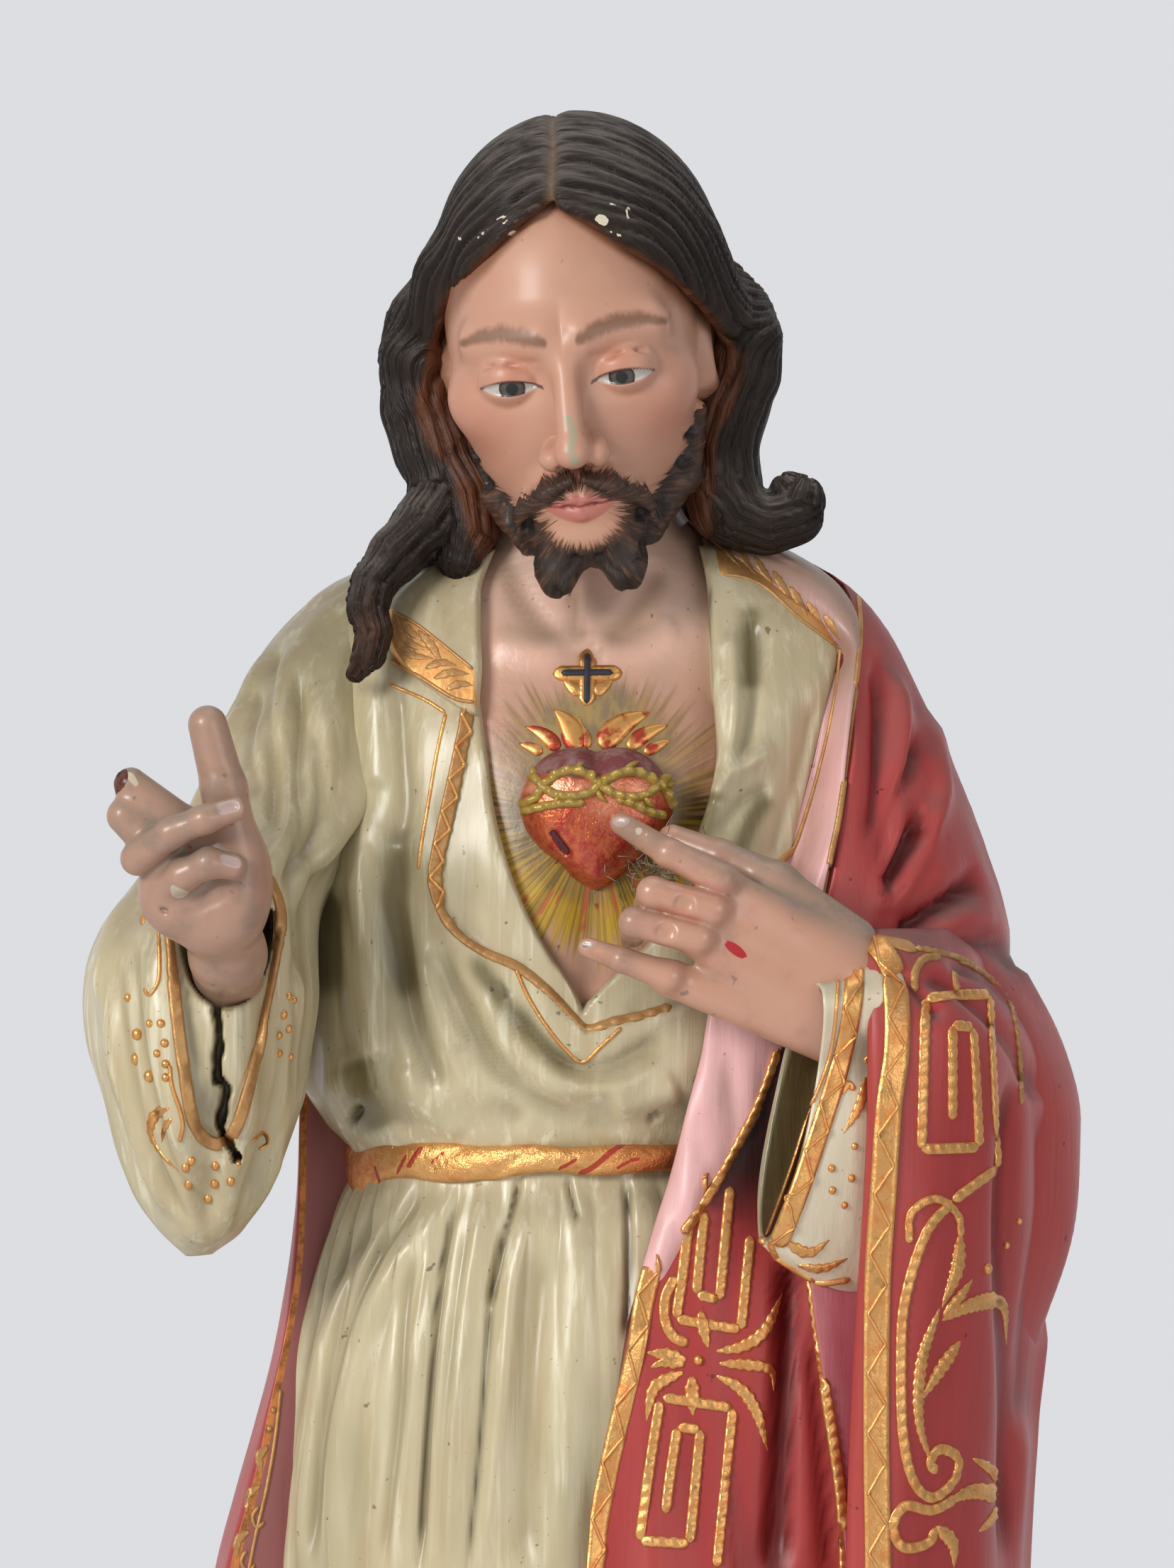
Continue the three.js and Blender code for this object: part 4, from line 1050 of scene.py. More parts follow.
# The mouth of the sleeve and the crack that runs down from it
SLEEVE_MOUTH = [
    [238, 1300], [236, 1330], [250, 1420], [262, 1520], [276, 1596], [310, 1616], [334, 1590],
    [366, 1480], [384, 1400], [398, 1330], [392, 1285], [320, 1270],
]
CRACK = [[307, 1412], [308, 1460], [305, 1516], [315, 1530], [317, 1547], [312, 1592], [333, 1634]]


def sleeve_grid():
    z = np.concatenate([np.linspace(501, 612, 145), np.linspace(612, 693, 50)[1:]])
    points, angle, level = rings(RIGHT_SLEEVE, z, 161, [0, 0.2, 0.86, 1], [0, 0.56, 0.92, 1])
    out = 1.6 * np.cos(9 * angle + level * 0.03) * ease(690, 640, level) * ease(503, 520, level)
    front = ease(0.0, 0.4, -np.sin(angle))
    out = out + pressed(points, SLEEVE_FOLDS) * front + 0.35 * ripple(points * [1, 1, 0.4], 15, 17)
    points = pushed(points, out)
    px, py = seen(points)
    facing = np.sin(angle) < 0.1
    depth = inside_of(px, py, SLEEVE_MOUTH)
    recess = ease(0, 7, depth) * 2.6
    wrist = np.hypot((px - 318) / 66, (py - 1310) / 112)
    recess = recess + 26 * ease(1.02, 0.93, wrist) * (depth > 2)
    gap, way = from_line(px, py, smooth_line(CRACK, 3))
    ragged = 5.6 + 1.6 * ripple(points, 5, 41)
    split = ease(ragged + 2.4, ragged - 1.2, gap) * ease(0, 0.02, way)
    recess = recess + 8 * split
    # The crack is painted dark as shade, most round its lower end
    crack_shade = 0.7 * np.exp(-np.hypot((px - 305) / 22, (py - 1554) / 34) ** 2)
    fields = {
        "crevice_shade_and_grime": np.maximum(split, crack_shade) * facing,
        # Painted shade inside the mouth round the wrist, and darker paint towards the shoulder
        "shade_and_smudge": np.maximum(ease(1.15, 0.9, wrist) * (depth > 2) * facing, 0.4 * ease(630, 680, level)),
    }
    return grid(points + BACKWARDS * (recess * facing)[..., None], fields)


sleeve = skin("right_sleeve", [sleeve_grid()], cream)


# The tunic's open cuff round the left wrist, outer side and bore in one
LEFT_CUFF = [
    [98, -48, 540, 12, 36],
    [85, -61, 537, 15, 47],
    [70, -70, 538, 15, 44],
    [57, -76, 541, 13, 37],
]
LEFT_CUFF_BORE = [
    [92, -56, 536, 6, 26],
    [86, -60, 537, 8, 34],
    [69, -70.5, 538, 12, 39],
    [57.5, -76, 541, 10.6, 34.5],
]
CUFF_SIDE = (0.5, -0.86, 0)


def cuff_grid():
    outer = limb(LEFT_CUFF, 110, 60, CUFF_SIDE, round_end=False)
    bore = limb(LEFT_CUFF_BORE, 110, 40, CUFF_SIDE, round_end=False)
    outer = pushed(outer, 0.5 * ripple(outer * [1, 1, 0.5], 14, 19))
    # Its top comes forward over the wrist
    for side in (outer, bore):
        side[..., 1] -= 12 * ease(552, 577, side[..., 2])
    # Its bore is painted darker, as the shade inside it, and its outside paler
    pale = np.concatenate([np.ones(outer.shape[:2]), np.zeros(bore.shape[:2])])
    return grid(np.concatenate([outer, bore[::-1]]), {"pale": pale, "shade_and_smudge": 1 - pale})


cuff = skin("left_cuff", [cuff_grid()], cream)


# The chest, running up into the neck
CHEST = [
    [548, 52, 42, 0, 0],
    [575, 56, 48, 0, 0],
    [600, 58, 50.5, 0, -1],
    [630, 62, 48, 0, 0],
    [655, 70, 42, 0, 2],
    [672, 70, 36, 0, 3],
    [686, 58, 30, 0, 4],
    [696, 40, 27, 1, 4.5],
    [706, 29, 24.8, 1, 4],
    [716, 25.2, 23.6, 1, 0],
    [740, 24, 23, 0, -9],
]
CHEST_FORMS = [
    [9, 1.6, [[806, 800], [812, 860], [822, 905]]],
    [22, -1.6, [[690, 900], [740, 915], [800, 922]]],
    [22, -1.6, [[840, 925], [900, 915], [960, 880]]],
    [12, 1.3, [[826, 912], [830, 930]]],
    [16, 1.4, [[712, 780], [742, 850], [790, 905]]],
    [16, 1.4, [[930, 790], [900, 850], [850, 905]]],
    [26, 2.0, [[826, 1180], [828, 1300], [828, 1420]]],
]


# The heart's place on the chest, from which its painted glow spreads
HEART_PLACE = np.array([4.2, -47.0, 622.0])
CHEST_DIM = (0.42, 0.27, 0.205)
NECK_PAINTED_LIGHT = (0.88, 0.57, 0.45)
CHEST_GRIME_AND_SHADE = (0.2, 0.11, 0.06)
GLOW = (0.55, 0.33, 0.016)
GLOW_DIM = (0.13, 0.085, 0.014)
SMOKE = (0.42, 0.285, 0.085)
SMOKE_DIM = (0.22, 0.16, 0.09)
RED_STROKE = (0.46, 0.085, 0.035)
OPENING_FOOT_DARK = (0.22, 0.135, 0.1)


def make_chest():
    """Flesh with a painted glow round the heart, smoky above it and streaked with red below."""
    paint = Paint("chest_flesh", 0.42, coat=0.15)
    x, _, z = paint.axes()
    x = x - float(HEART_PLACE[0] / 1000)
    z = z - float(HEART_PLACE[2] / 1000 + base[2])
    way = x.math("ARCTAN2", z * -1)
    reach = (x * x + z * z).math("SQRT")
    tone = paint.noise(0.02, 4, 0.62, seed=1.0)
    skin_tone = paint.layered(
        FLESH,
        (FLESH_WARM, paint.noise(0.03, 4, 0.6).step(0.45, 0.75) * 0.35),
        (CHEST_DIM, tone.step(0.42, 0.7) * 0.5),
        # Painted light towards the neck, where the beard's shade falls
        (NECK_PAINTED_LIGHT, z.step(0.026, 0.064) * 0.85),
    )
    brush = paint.streaks(way, 7.0, 2.0, 0.7)
    fine = paint.streaks(way, 22.0, 2.0, 0.6)
    down = z.step(-0.004, -0.022)
    length = brush.step(0.4, 0.66) * 0.006 + fine.step(0.4, 0.7) * 0.004 + down * 0.005 + 0.0225
    above = z.step(0.002, 0.016)
    glory = (length + tone * 0.009 + above * 0.005 - reach).step(-0.005, 0.004) * (1 - above * 0.4)
    shade = fine.step(0.45, 0.6) * 0.5 + brush.step(0.55, 0.4) * 0.35
    shade = shade + z.step(-0.014, 0.004) * 0.55 + reach.step(0.0265, 0.0215) * 0.4
    glow = paint.mix(GLOW, GLOW_DIM, shade.clip())
    wisp = paint.noise(0.0075, 4, 0.68, (1, 1, 0.4), 12.0)
    height = z - 0.016
    round_it = x * x * 1500.0 + height * height * 1650.0
    smoke = (wisp * 1.3 + 0.25 - round_it).step(0.0, 0.6) * z.step(0.004, 0.014)
    mist = paint.mix(SMOKE, SMOKE_DIM, wisp.step(0.44, 0.6))
    stroke = paint.streaks(way + 3.0, 12.0, 1.0, 0.5)
    broken = paint.noise(0.012, 2, seed=4.0).step(0.42, 0.52)
    below = z.step(-0.01, -0.016) * reach.step(0.036, 0.03) * broken
    # The glow, the smoke over it, red strokes below the heart and darker paint at the foot
    colour = paint.layered(
        skin_tone,
        (glow, glory * 0.96),
        (mist, smoke * 0.75),
        (RED_STROKE, stroke.step(0.57, 0.62) * below * 0.85),
        (OPENING_FOOT_DARK, z.step(-0.05, -0.066) * tone.step(0.3, 0.6) * 0.85),
    )
    paint.use("Base Color", shaded_and_soiled(paint, colour, grime_and_shade=CHEST_GRIME_AND_SHADE))
    paint.use("Roughness", (tone * 0.35 + 0.22).clip())
    paint.bump(paint.noise(0.004, 3, seed=2.0), 0.00025)
    return paint.material


def chest_grid():
    z = np.linspace(548, 740, 96)
    points, angle, _ = rings(CHEST, z, 125, [0, 0.18, 0.9, 1], [0, 0.54, 0.97, 1])
    return grid(pushed(points, pressed(points, CHEST_FORMS) * ease(0, 0.4, -np.sin(angle))))


chest = skin("chest", [chest_grid()], make_chest())


# Carved forms as distances from smoothly joined ellipsoids and rods
def joined(a, b, k):
    return np.minimum(a, b) - (np.maximum(k - np.abs(a - b), 0) / k) ** 2 * k * 0.25


def carved(a, b, k):
    return -joined(-a, b, k)


def egg(p, centre, radii):
    d = p - np.array(centre, float)
    r = np.array(radii, float)
    near = np.linalg.norm(d / r, axis=-1)
    return near * (near - 1) / np.maximum(np.linalg.norm(d / r**2, axis=-1), 1e-9)


def rod(p, start, end):
    """Distance from a rod between two points, each with its radius."""
    a, b = np.array(start[:3], float), np.array(end[:3], float)
    v = b - a
    t = np.clip((p - a) @ v / (v @ v), 0, 1)
    return np.linalg.norm(p - a - t[..., None] * v, axis=-1) - start[3] - (end[3] - start[3]) * t


def bent(p, points, k):
    """Distance from rods that follow one another through points, joined at each bend."""
    d = rod(p, points[0], points[1])
    for start, end in zip(points[1:-1], points[2:]):
        d = joined(d, rod(p, start, end), k)
    return d


def near_to(p, place, width):
    """1 at a place, fading over that width round it."""
    return bell(np.linalg.norm(p - place, axis=-1), width)


def mirrored(p):
    return p * [0, 1, 1] + np.abs(p) * [1, 0, 0]


HEAD_PLACE = np.array([-2.0, -20.0, 756.0])
HEAD_TURN = [17, -6, -5]


def turn_matrix(nod, lean, turn):
    a, b, c = np.radians([nod, lean, turn])
    rx = np.array([[1, 0, 0], [0, math.cos(a), -math.sin(a)], [0, math.sin(a), math.cos(a)]])
    ry = np.array([[math.cos(b), 0, math.sin(b)], [0, 1, 0], [-math.sin(b), 0, math.cos(b)]])
    rz = np.array([[math.cos(c), -math.sin(c), 0], [math.sin(c), math.cos(c), 0], [0, 0, 1]])
    return rz @ ry @ rx


head_turn = turn_matrix(*HEAD_TURN)


def from_head(p):
    """Points of the head's own frame, placed in the figure's."""
    return p @ head_turn.T + HEAD_PLACE


def to_head(p):
    return (p - HEAD_PLACE) @ head_turn


def lid_top(side):
    return 0.3 - 2.9 * side**2 + 0.5 * side


def lid_bottom(side):
    return -4.5 + 2.2 * side**2


def face_form(p):
    q = mirrored(p)
    d = egg(p, [0, 6, 13], [36, 43, 40])
    d = joined(d, egg(p, [0, -12, -12], [32.5, 32, 41]), 12)
    d = joined(d, egg(q, [23, -25, -9], [11, 11, 9]), 10)
    d = joined(d, egg(p, [0, -31, -43], [17, 17, 14]), 9)
    d = joined(d, rod(q, [6, -39.5, 10, 4.2], [24, -31.5, 9.5, 4.2]), 9)
    d = carved(d, egg(q, [15.5, -49, -1], [9, 9, 6]), 6)
    # Eyeball, then the two lids that lap over it
    ball = egg(q, [15.5, -34.5, -1.2], [8.6, 8.2, 7.8])
    d = joined(d, ball, 1.2)
    lid_shell = egg(q, [15.5, -34.9, -1.2], [9.6, 9.0, 8.8])
    side = (q[..., 0] - 15.5) / 9.0
    upper = np.maximum(lid_shell, lid_top(side) - 0.4 - q[..., 2])
    lower = np.maximum(lid_shell + 0.35, q[..., 2] - lid_bottom(side))
    d = joined(d, upper, 0.9)
    d = joined(d, lower, 1.2)
    # Crease over the upper lid
    fold_line = rod(q, [8.5, -43.2, 4.0, 0.7], [22.5, -38.5, 3.6, 0.6])
    d = carved(d, fold_line, 1.6)
    # Nose: bridge, rounded tip, wings and nostrils
    d = joined(d, rod(p, [0, -41.5, 6, 3.2], [0, -52.2, -16, 4.0]), 4)
    d = joined(d, egg(p, [0, -54.0, -19.6], [4.9, 4.6, 4.2]), 3)
    d = joined(d, egg(q, [5.9, -48.6, -21.6], [4.1, 5.0, 3.7]), 2.2)
    d = carved(d, egg(q, [3.4, -51.2, -24.3], [1.9, 2.9, 1.5]), 1.0)
    # Mouth: muzzle, groove over the lip, and two full lips with a line between
    d = joined(d, egg(p, [0, -42, -35], [13.5, 8.4, 8.5]), 6)
    d = carved(d, rod(p, [0, -52.6, -26.5, 1.1], [0, -52.0, -31.0, 1.3]), 2.2)
    d = joined(d, rod(q, [1.8, -49.4, -33.6, 1.7], [10, -44.8, -34.6, 0.7]), 1.8)
    d = joined(d, rod(q, [0, -48.9, -38.2, 2.3], [8.5, -45.2, -36.4, 1.0]), 1.8)
    d = carved(d, rod(q, [0, -51.9, -35.6, 0.75], [10.5, -45.8, -35.2, 0.4]), 0.8)
    d = carved(d, rod(q, [0, -50.5, -43.2, 1.6], [6, -48.5, -43.4, 1.2]), 3.0)
    # Ears
    ear = egg(q, [36.5, 3, -9], [4.2, 9, 15])
    ear = carved(ear, egg(q, [40.5, 0, -8], [2.6, 5.5, 9.5]), 1.6)
    return joined(d, ear, 2.5)


def beard_form(p):
    q = mirrored(p)
    d = egg(p, [0, -35.5, -44.5], [16.5, 14.5, 12])
    d = joined(d, rod(q, [31, -6, -24, 4.2], [26.5, -17, -38, 4.6]), 4)
    d = joined(d, rod(q, [26.5, -17, -38, 4.6], [15, -32, -48, 5.6]), 4)
    d = joined(d, rod(q, [7.2, -38.5, -47, 8.0], [9.4, -41.5, -54.0, 6.4]), 3)
    return joined(d, rod(q, [9.4, -41.5, -54.0, 6.4], [9.6, -44, -58.0, 4.6]), 1.5)


def moustache_form(p):
    points = [[2.4, -51.0, -28.2, 1.2], [9, -48.3, -31.2, 1.9], [17, -41, -38, 1.7], [20, -36, -46, 2.2]]
    return bent(mirrored(p), points, 2)


# The hair: a cap combed sideways from a parting, and chains of locks, [x, y, z, radius] of the figure
LOCKS = [
    [
        [-40, -4, 768, 9], [-44, -4, 760, 9.8], [-45.5, -4, 750, 10.2], [-44, -4, 737, 11],
        [-40, -5, 726, 11.5], [-34.5, -8, 714, 11], [-36.5, -10, 704, 12], [-37, -12, 695, 9],
    ],
    [
        [-44, -12, 763, 7], [-46.5, -14, 750, 7.8], [-45, -14, 737, 8.2], [-41.5, -16, 725, 8.4],
        [-38, -18, 712, 8.2], [-44, -24, 703, 7.6],
        [-51.5, -30, 695, 6.4], [-57.8, -35, 687, 5.0], [-59.6, -38, 680, 4.4], [-57.4, -40.5, 673, 3.5],
        [-58.8, -42, 667, 3.1], [-62.6, -43, 661.5, 2.0],
    ],
    [[-38, -16, 722, 7.5], [-33, -20, 712, 7.6], [-31.5, -22, 703, 7.0], [-34, -24, 694, 5.6]],
    [
        [39, -4, 770, 8.5], [43, -4, 763, 9.4], [45, -4, 756, 9.8], [44.5, -4, 747, 9.8],
        [41.5, -5, 737, 9.8], [38.8, -6, 727, 9.4], [39.5, -8, 717, 9.4], [42, -10, 709, 9],
    ],
    [
        [44, -11, 764, 7], [47, -13, 756, 7.6], [46.4, -13, 746, 7.8], [42, -14, 735, 8],
        [39.4, -15, 724, 8], [39.8, -17, 714, 8.2],
        [44.5, -19, 706.5, 7.2], [52, -20, 703.5, 6.8], [59.6, -20, 706, 6.6], [61.2, -20, 711, 5.2],
        [57.6, -20, 714.5, 3.2],
    ],
    [[37, -15, 728, 6], [36, -17, 716, 6.2], [38, -19, 707, 5.8], [44, -20, 702.6, 4.2]],
]
# The face's opening in the cap: half width by height, both of the head
HAIRLINE = [
    [-30, 35], [-22, 41], [-12, 43.5], [-4, 41], [3, 38.2], [10, 35], [17, 31.5], [23, 27.3], [28.5, 21.5],
    [33.5, 16], [38, 10.5], [41.5, 5.5], [43.6, 1.0], [44.2, 0.02],
]


def nearest_lock(p):
    """Distance to the nearest lock, the place round it and the way along it, both in mm."""
    best = np.full(p.shape[:-1], 1e9)
    round_it, along_it = np.zeros(best.shape), np.zeros(best.shape)
    for chain in LOCKS:
        chain = np.array(chain, float)
        start = 0.0
        for a, b in zip(chain[:-1], chain[1:]):
            v = b[:3] - a[:3]
            length = np.linalg.norm(v)
            t = np.clip((p - a[:3]) @ v / length**2, 0, 1)
            off = p - a[:3] - t[..., None] * v
            radius = a[3] + (b[3] - a[3]) * t
            gap = np.linalg.norm(off, axis=-1) - radius
            out = unit(np.cross(v, [0, 1, 0]))
            turn = np.arctan2(off[..., 1], off @ out)
            nearer = gap < best
            round_it = np.where(nearer, turn * 9, round_it)
            along_it = np.where(nearer, start + t * length, along_it)
            best = np.minimum(gap, best)
            start += length
    return best, round_it, along_it


def face_opening(h):
    """Distance outside the face's opening in the cap, from points of the head."""
    wide = along(HAIRLINE, np.clip(h[..., 2], -30, 44.2))[0]
    wide = np.where(h[..., 2] > 44.2, -(h[..., 2] - 44.2), wide)
    wide = np.where(h[..., 2] < -30, 35 + 0.2 * (h[..., 2] + 30), wide)
    back = np.interp(h[..., 2], [-60, -24, -6, 4, 20], [-6, -2, 3, 4, 0])
    return np.maximum(np.abs(h[..., 0]) - wide, h[..., 1] - back)


def hair_form(p):
    """The whole hair, from points of the figure."""
    h = to_head(p)
    q = mirrored(h)
    d = egg(h, [3, 8, 17], [40, 47, 44])
    d = joined(d, rod(q, [33, 0, 20, 9], [39, 4, 0, 11]), 10)
    d = joined(d, rod(q, [12, 22, -4, 30], [14, 32, -46, 24]), 10)
    # A soft fold runs along the hairline, and is cut away over the face
    d = carved(d, 0.85 * face_opening(h), 5)
    for lock in LOCKS:
        for a, b in zip(lock[:-1], lock[1:]):
            d = joined(d, rod(p, a, b), 4.5)
    return d


def combed(p):
    """Across and along the strands, in mm, from points of the figure."""
    h = to_head(p)
    cap = np.arctan2(8 - h[..., 1], h[..., 2] + 38 + 0.16 * np.abs(h[..., 0])) * 84
    cap_way = np.abs(h[..., 0]) * 1.2 + 0.3 * (60 - h[..., 2])
    _, lock, lock_way = nearest_lock(p)
    low = ease(14, -16, h[..., 2])
    back = ease(20, 36, h[..., 1])
    lock = lock * (1 - back) + h[..., 0] * back
    across = cap * (1 - low) + (lock + 40) * low
    return across, cap_way * (1 - low) + (lock_way + 60) * low


def strands(across, way, p):
    """Depth of the combed grooves, in clumps and strands."""
    wander = 0.8 * np.sin(way * 0.13 + 0.05 * across) + 0.4 * ripple(p, 24, 71)
    clump = np.abs(np.sin((across + wander) * math.pi / 7.4))
    strand = np.abs(np.sin((across + 1.5 * wander) * math.pi / 3.7))
    return 0.75 - 1.0 * (1 - clump) ** 2 - 0.75 * (1 - strand) ** 1.6


def parting_gap(h):
    return h[..., 0] - 1.0 + 0.6 * np.sin(h[..., 1] * 0.14)


def hair_shape(p):
    h = to_head(p)
    across, way = combed(p)
    top = ease(20, 30, h[..., 2]) * ease(34, 18, h[..., 1])
    parting = -1.5 * bell(parting_gap(h), 1.1) * top
    return strands(across, way, p) * ease(0.5, 5, np.abs(parting_gap(h)) + (1 - top) * 9) + parting


# Chips of bare plaster in the hair: [x, y, half width and half height in pixels, slope]
HAIR_CHIPS = [
    [683, 331, 8, 1.6, -0.9],
    [707, 309, 9, 1.8, -0.25],
    [714, 316, 4, 1.6, -0.6],
    [721, 329, 5, 2.2, -0.5],
    [650, 338, 3, 1.2, 0.2],
    [848, 312, 8, 5.5, 0.25],
    [858, 290, 12, 1.5, 0.35],
    [885, 303, 2, 8, 0],
    [868, 331, 8, 1.5, 0.5],
]


def hair_fields(p):
    h = to_head(p)
    across, way = combed(p)
    px, py = seen(p)
    inner = np.clip(1.1 - (np.abs(h[..., 0]) - 30) / 8, 0, 1) * ease(-14, -30, h[..., 2]) * (h[..., 1] < 0)
    under = 0.75 * ease(697, 672, p[..., 2]) * (p[..., 1] < -20)
    edge = 1.2 - face_opening(h) * 0.2
    rim = np.clip(np.maximum.reduce([edge, inner, under]), 0, 1)
    parting = bell(parting_gap(h), 1.4) * ease(20, 30, h[..., 2]) * ease(34, 18, h[..., 1])
    chip = np.zeros(px.shape)
    for x, y, wide, tall, slope in HAIR_CHIPS:
        chip = np.maximum(chip, 1.3 - 0.7 * np.hypot((px - x) / wide, (py - y - slope * (px - x)) / tall))
    chip = np.clip(chip, 0, 1) * (h[..., 1] < -12)
    return {"rim": rim, "parting": parting, "chip": chip, "across": across, "along": way}


# Each step of a ray goes this share of the distance that is left
WALK_SHARE = 0.85


def walked_in(distance, centre, around, upright):
    """A closed grid found by walking in along rays, which lie closer together towards the face."""
    lift = np.linspace(0, math.pi, upright)[:, None]
    turn = np.linspace(0, 2 * math.pi, around + 1)[None, :]
    ray = stack(np.sin(lift) * np.cos(turn), np.cos(lift) + 0 * turn, np.sin(lift) * np.sin(turn))
    ray = unit(ray * [1, -1, 1] - [0, 0.45, 0])
    # A thin scatter of rays walks first, and the rest start just outside what it found
    rows = np.unique(np.append(np.arange(0, upright, 6), upright - 1))
    columns = np.unique(np.append(np.arange(0, around + 1, 6), around))
    few = ray[np.ix_(rows, columns)]
    far = np.full(few.shape[:2], 110.0)
    for _ in range(60):
        far = far - WALK_SHARE * distance(centre + few * far[..., None])
    far = np.stack([np.interp(np.arange(around + 1), columns, row) for row in far])
    far = np.stack([np.interp(np.arange(upright), rows, column) for column in far.T], axis=1) + 3
    for _ in range(16):
        far = far - WALK_SHARE * distance(centre + ray * far[..., None])
    return centre + ray * far[..., None]


def sculpted(
    name, form, box, cell, fields, material, stands_for=("figure",), shape=None
):
    """The skin of a form given by distances, found on a fine lattice near it.

    The points are then moved along their normals by what shape gives.
    """
    low, high = box
    coarse = 4
    count = [int((b - a) / cell / coarse) + 1 for a, b in zip(low, high)]
    steps = [a + (np.arange(n) + 0.5) * cell * coarse for a, n in zip(low, count)]
    rough = form(np.stack(np.meshgrid(*steps, indexing="ij"), axis=-1))
    for axis in range(3):
        rough = np.repeat(rough, coarse, axis=axis)
    near = np.abs(rough) < cell * coarse * 1.2
    index = np.argwhere(near)
    rough[near] = form(index * cell + np.array(low))
    lattice = openvdb.FloatGrid(background=cell * coarse)
    lattice.copyFromArray(rough)
    points, quads = lattice.convertToQuads(isovalue=0.0)
    points = points * cell + np.array(low)
    for _ in range(2):
        gap = form(points)
        slope = np.stack([form(points + step) - gap for step in np.eye(3) * 0.05], axis=-1) / 0.05
        points = points - slope * (gap / np.maximum(np.sum(slope**2, axis=-1), 0.2))[:, None]
    values = fields(points)
    if shape:
        points = points + unit(slope) * shape(points)[:, None]
    mesh = bpy.data.meshes.new(name)
    mesh.from_pydata(points * share + base, [], quads.tolist())
    add_fields(mesh, values)
    bm = bmesh.new()
    bm.from_mesh(mesh)
    faced_outwards(mesh, bm)
    return finish_mesh(name, mesh, material, stands_for)


# Where an eye's iris is centred, on the head's left side
EYE_MIDDLE = np.array([15.2, -42.6, -2.5])
BROW = (0.16, 0.072, 0.035)
BEARD_EDGE = (0.25, 0.1, 0.04)
BEARD_DARK = (0.022, 0.011, 0.007)
BEARD_LIGHT = (0.14, 0.055, 0.024)
HAIR_GLAZE = (0.2, 0.075, 0.03)
LIP = (0.44, 0.115, 0.09)
LIP_LINE = (0.2, 0.02, 0.02)
EYE_WHITE = (0.5, 0.46, 0.4)
IRIS_RIM = (0.03, 0.026, 0.024)
IRIS = (0.075, 0.062, 0.055)
PUPIL = (0.006, 0.005, 0.005)
LASH = (0.09, 0.03, 0.022)
NOSE_WORN = (0.36, 0.33, 0.22)


def make_flesh():
    """Flesh paint of the head, with the beard, brows, lids, lips and eyes by their fields."""
    paint = Paint("head_flesh", 0.44, coat=0.15)
    tone = paint.noise(0.018, 4, 0.6, seed=2.0)
    hairs = paint.combed_noise(0.75, 0.1)
    fine = paint.noise(0.0016, 2, 0.6, (1, 1, 0.4), 4.0)
    speck = paint.noise(0.0038, 1, seed=5.3)
    brow = (paint.field("brow") + (fine - 0.5) * 0.5).step(0.25, 0.85)
    shade = (paint.field("edge") + (hairs - 0.5) * 0.9).step(0.3, 0.9)
    glaze = (paint.field("glaze") + (tone - 0.5) * 0.6).step(0.2, 1.0)
    white = paint.field("white").step(0.45, 0.55)
    gaps = []
    for side in (-1, 1):
        place = from_head(EYE_MIDDLE * [side, 1, 1]) * share + base
        off = [axis - float(v) for axis, v in zip(paint.axes(), place)]
        gaps.append((off[0] * off[0] + off[1] * off[1] + off[2] * off[2]).math("SQRT"))
    gap = gaps[0].math("MINIMUM", gaps[1])
    full = (paint.field("beard") + (hairs - 0.5) * 1.5).step(0.3, 0.58)
    light = hairs.step(0.46, 0.72) * 0.8 + tone.step(0.4, 0.7) * 0.3
    # Lighter on the beard's ridges: painted highlight
    light = light + paint.field("high") * 0.2 - paint.field("dark") * 0.3
    colour = paint.layered(
        FLESH,
        (FLESH_WARM, (tone.step(0.45, 0.8) * 0.35 + paint.field("warm") * 0.65).clip()),
        (FLESH_GREY, paint.field("shade_and_smudge") * tone.step(0.3, 0.7) * 0.55),
        (BROW, brow * 0.8),
        (BEARD_EDGE, shade * 0.85),
        (HAIR_GLAZE, glaze * 0.85),
        (LIP, paint.field("lip").step(0.3, 0.75) * 0.75),
        (LIP_LINE, paint.field("mouth").step(0.3, 0.8) * 0.85),
        (EYE_WHITE, white),
        (IRIS_RIM, (white * gap.step(0.0039, 0.0036)).clip()),
        (IRIS, (white * gap.step(0.0033, 0.0028)).clip()),
        (PUPIL, (white * gap.step(0.0019, 0.0016)).clip()),
        (LASH, paint.field("lash").step(0.35, 0.8) * 0.9),
        (NOSE_WORN, paint.field("worn").step(0.42, 0.58) * 0.85),
        (paint.mix(BEARD_DARK, BEARD_LIGHT, light.clip()), full),
        # Painted shade in the beard's hollows and in its drilled pits
        (SHADE_AND_SOOT, (paint.field("low") * full * 0.8 + paint.field("pit")).clip()),
        (FLESH_GREY, speck.step(0.77, 0.8) * 0.5),
    )
    paint.use("Base Color", colour)
    paint.use("Roughness", (0.4 + full * 0.12 + tone * 0.14 - white * 0.22).clip())
    paint.bump(hairs * full, 0.0007)
    return paint.material


# Drilled pits of the beard: half width, height and radius, of the head
BEARD_PITS = [
    [30.0, -27, 1.3], [27.8, -34, 1.9], [21.5, -43, 1.7], [15.8, -42, 1.6], [15.6, -50, 1.5],
    [10.0, -60, 1.9], [3.0, -51, 1.1],
]


def in_pits(q):
    total = np.zeros(q.shape[:-1])
    for x, z, radius in BEARD_PITS:
        gap = np.hypot(q[..., 0] - x, q[..., 2] - z)
        total = np.maximum(total, ease(radius * 1.5, radius * 0.6, gap))
    return total


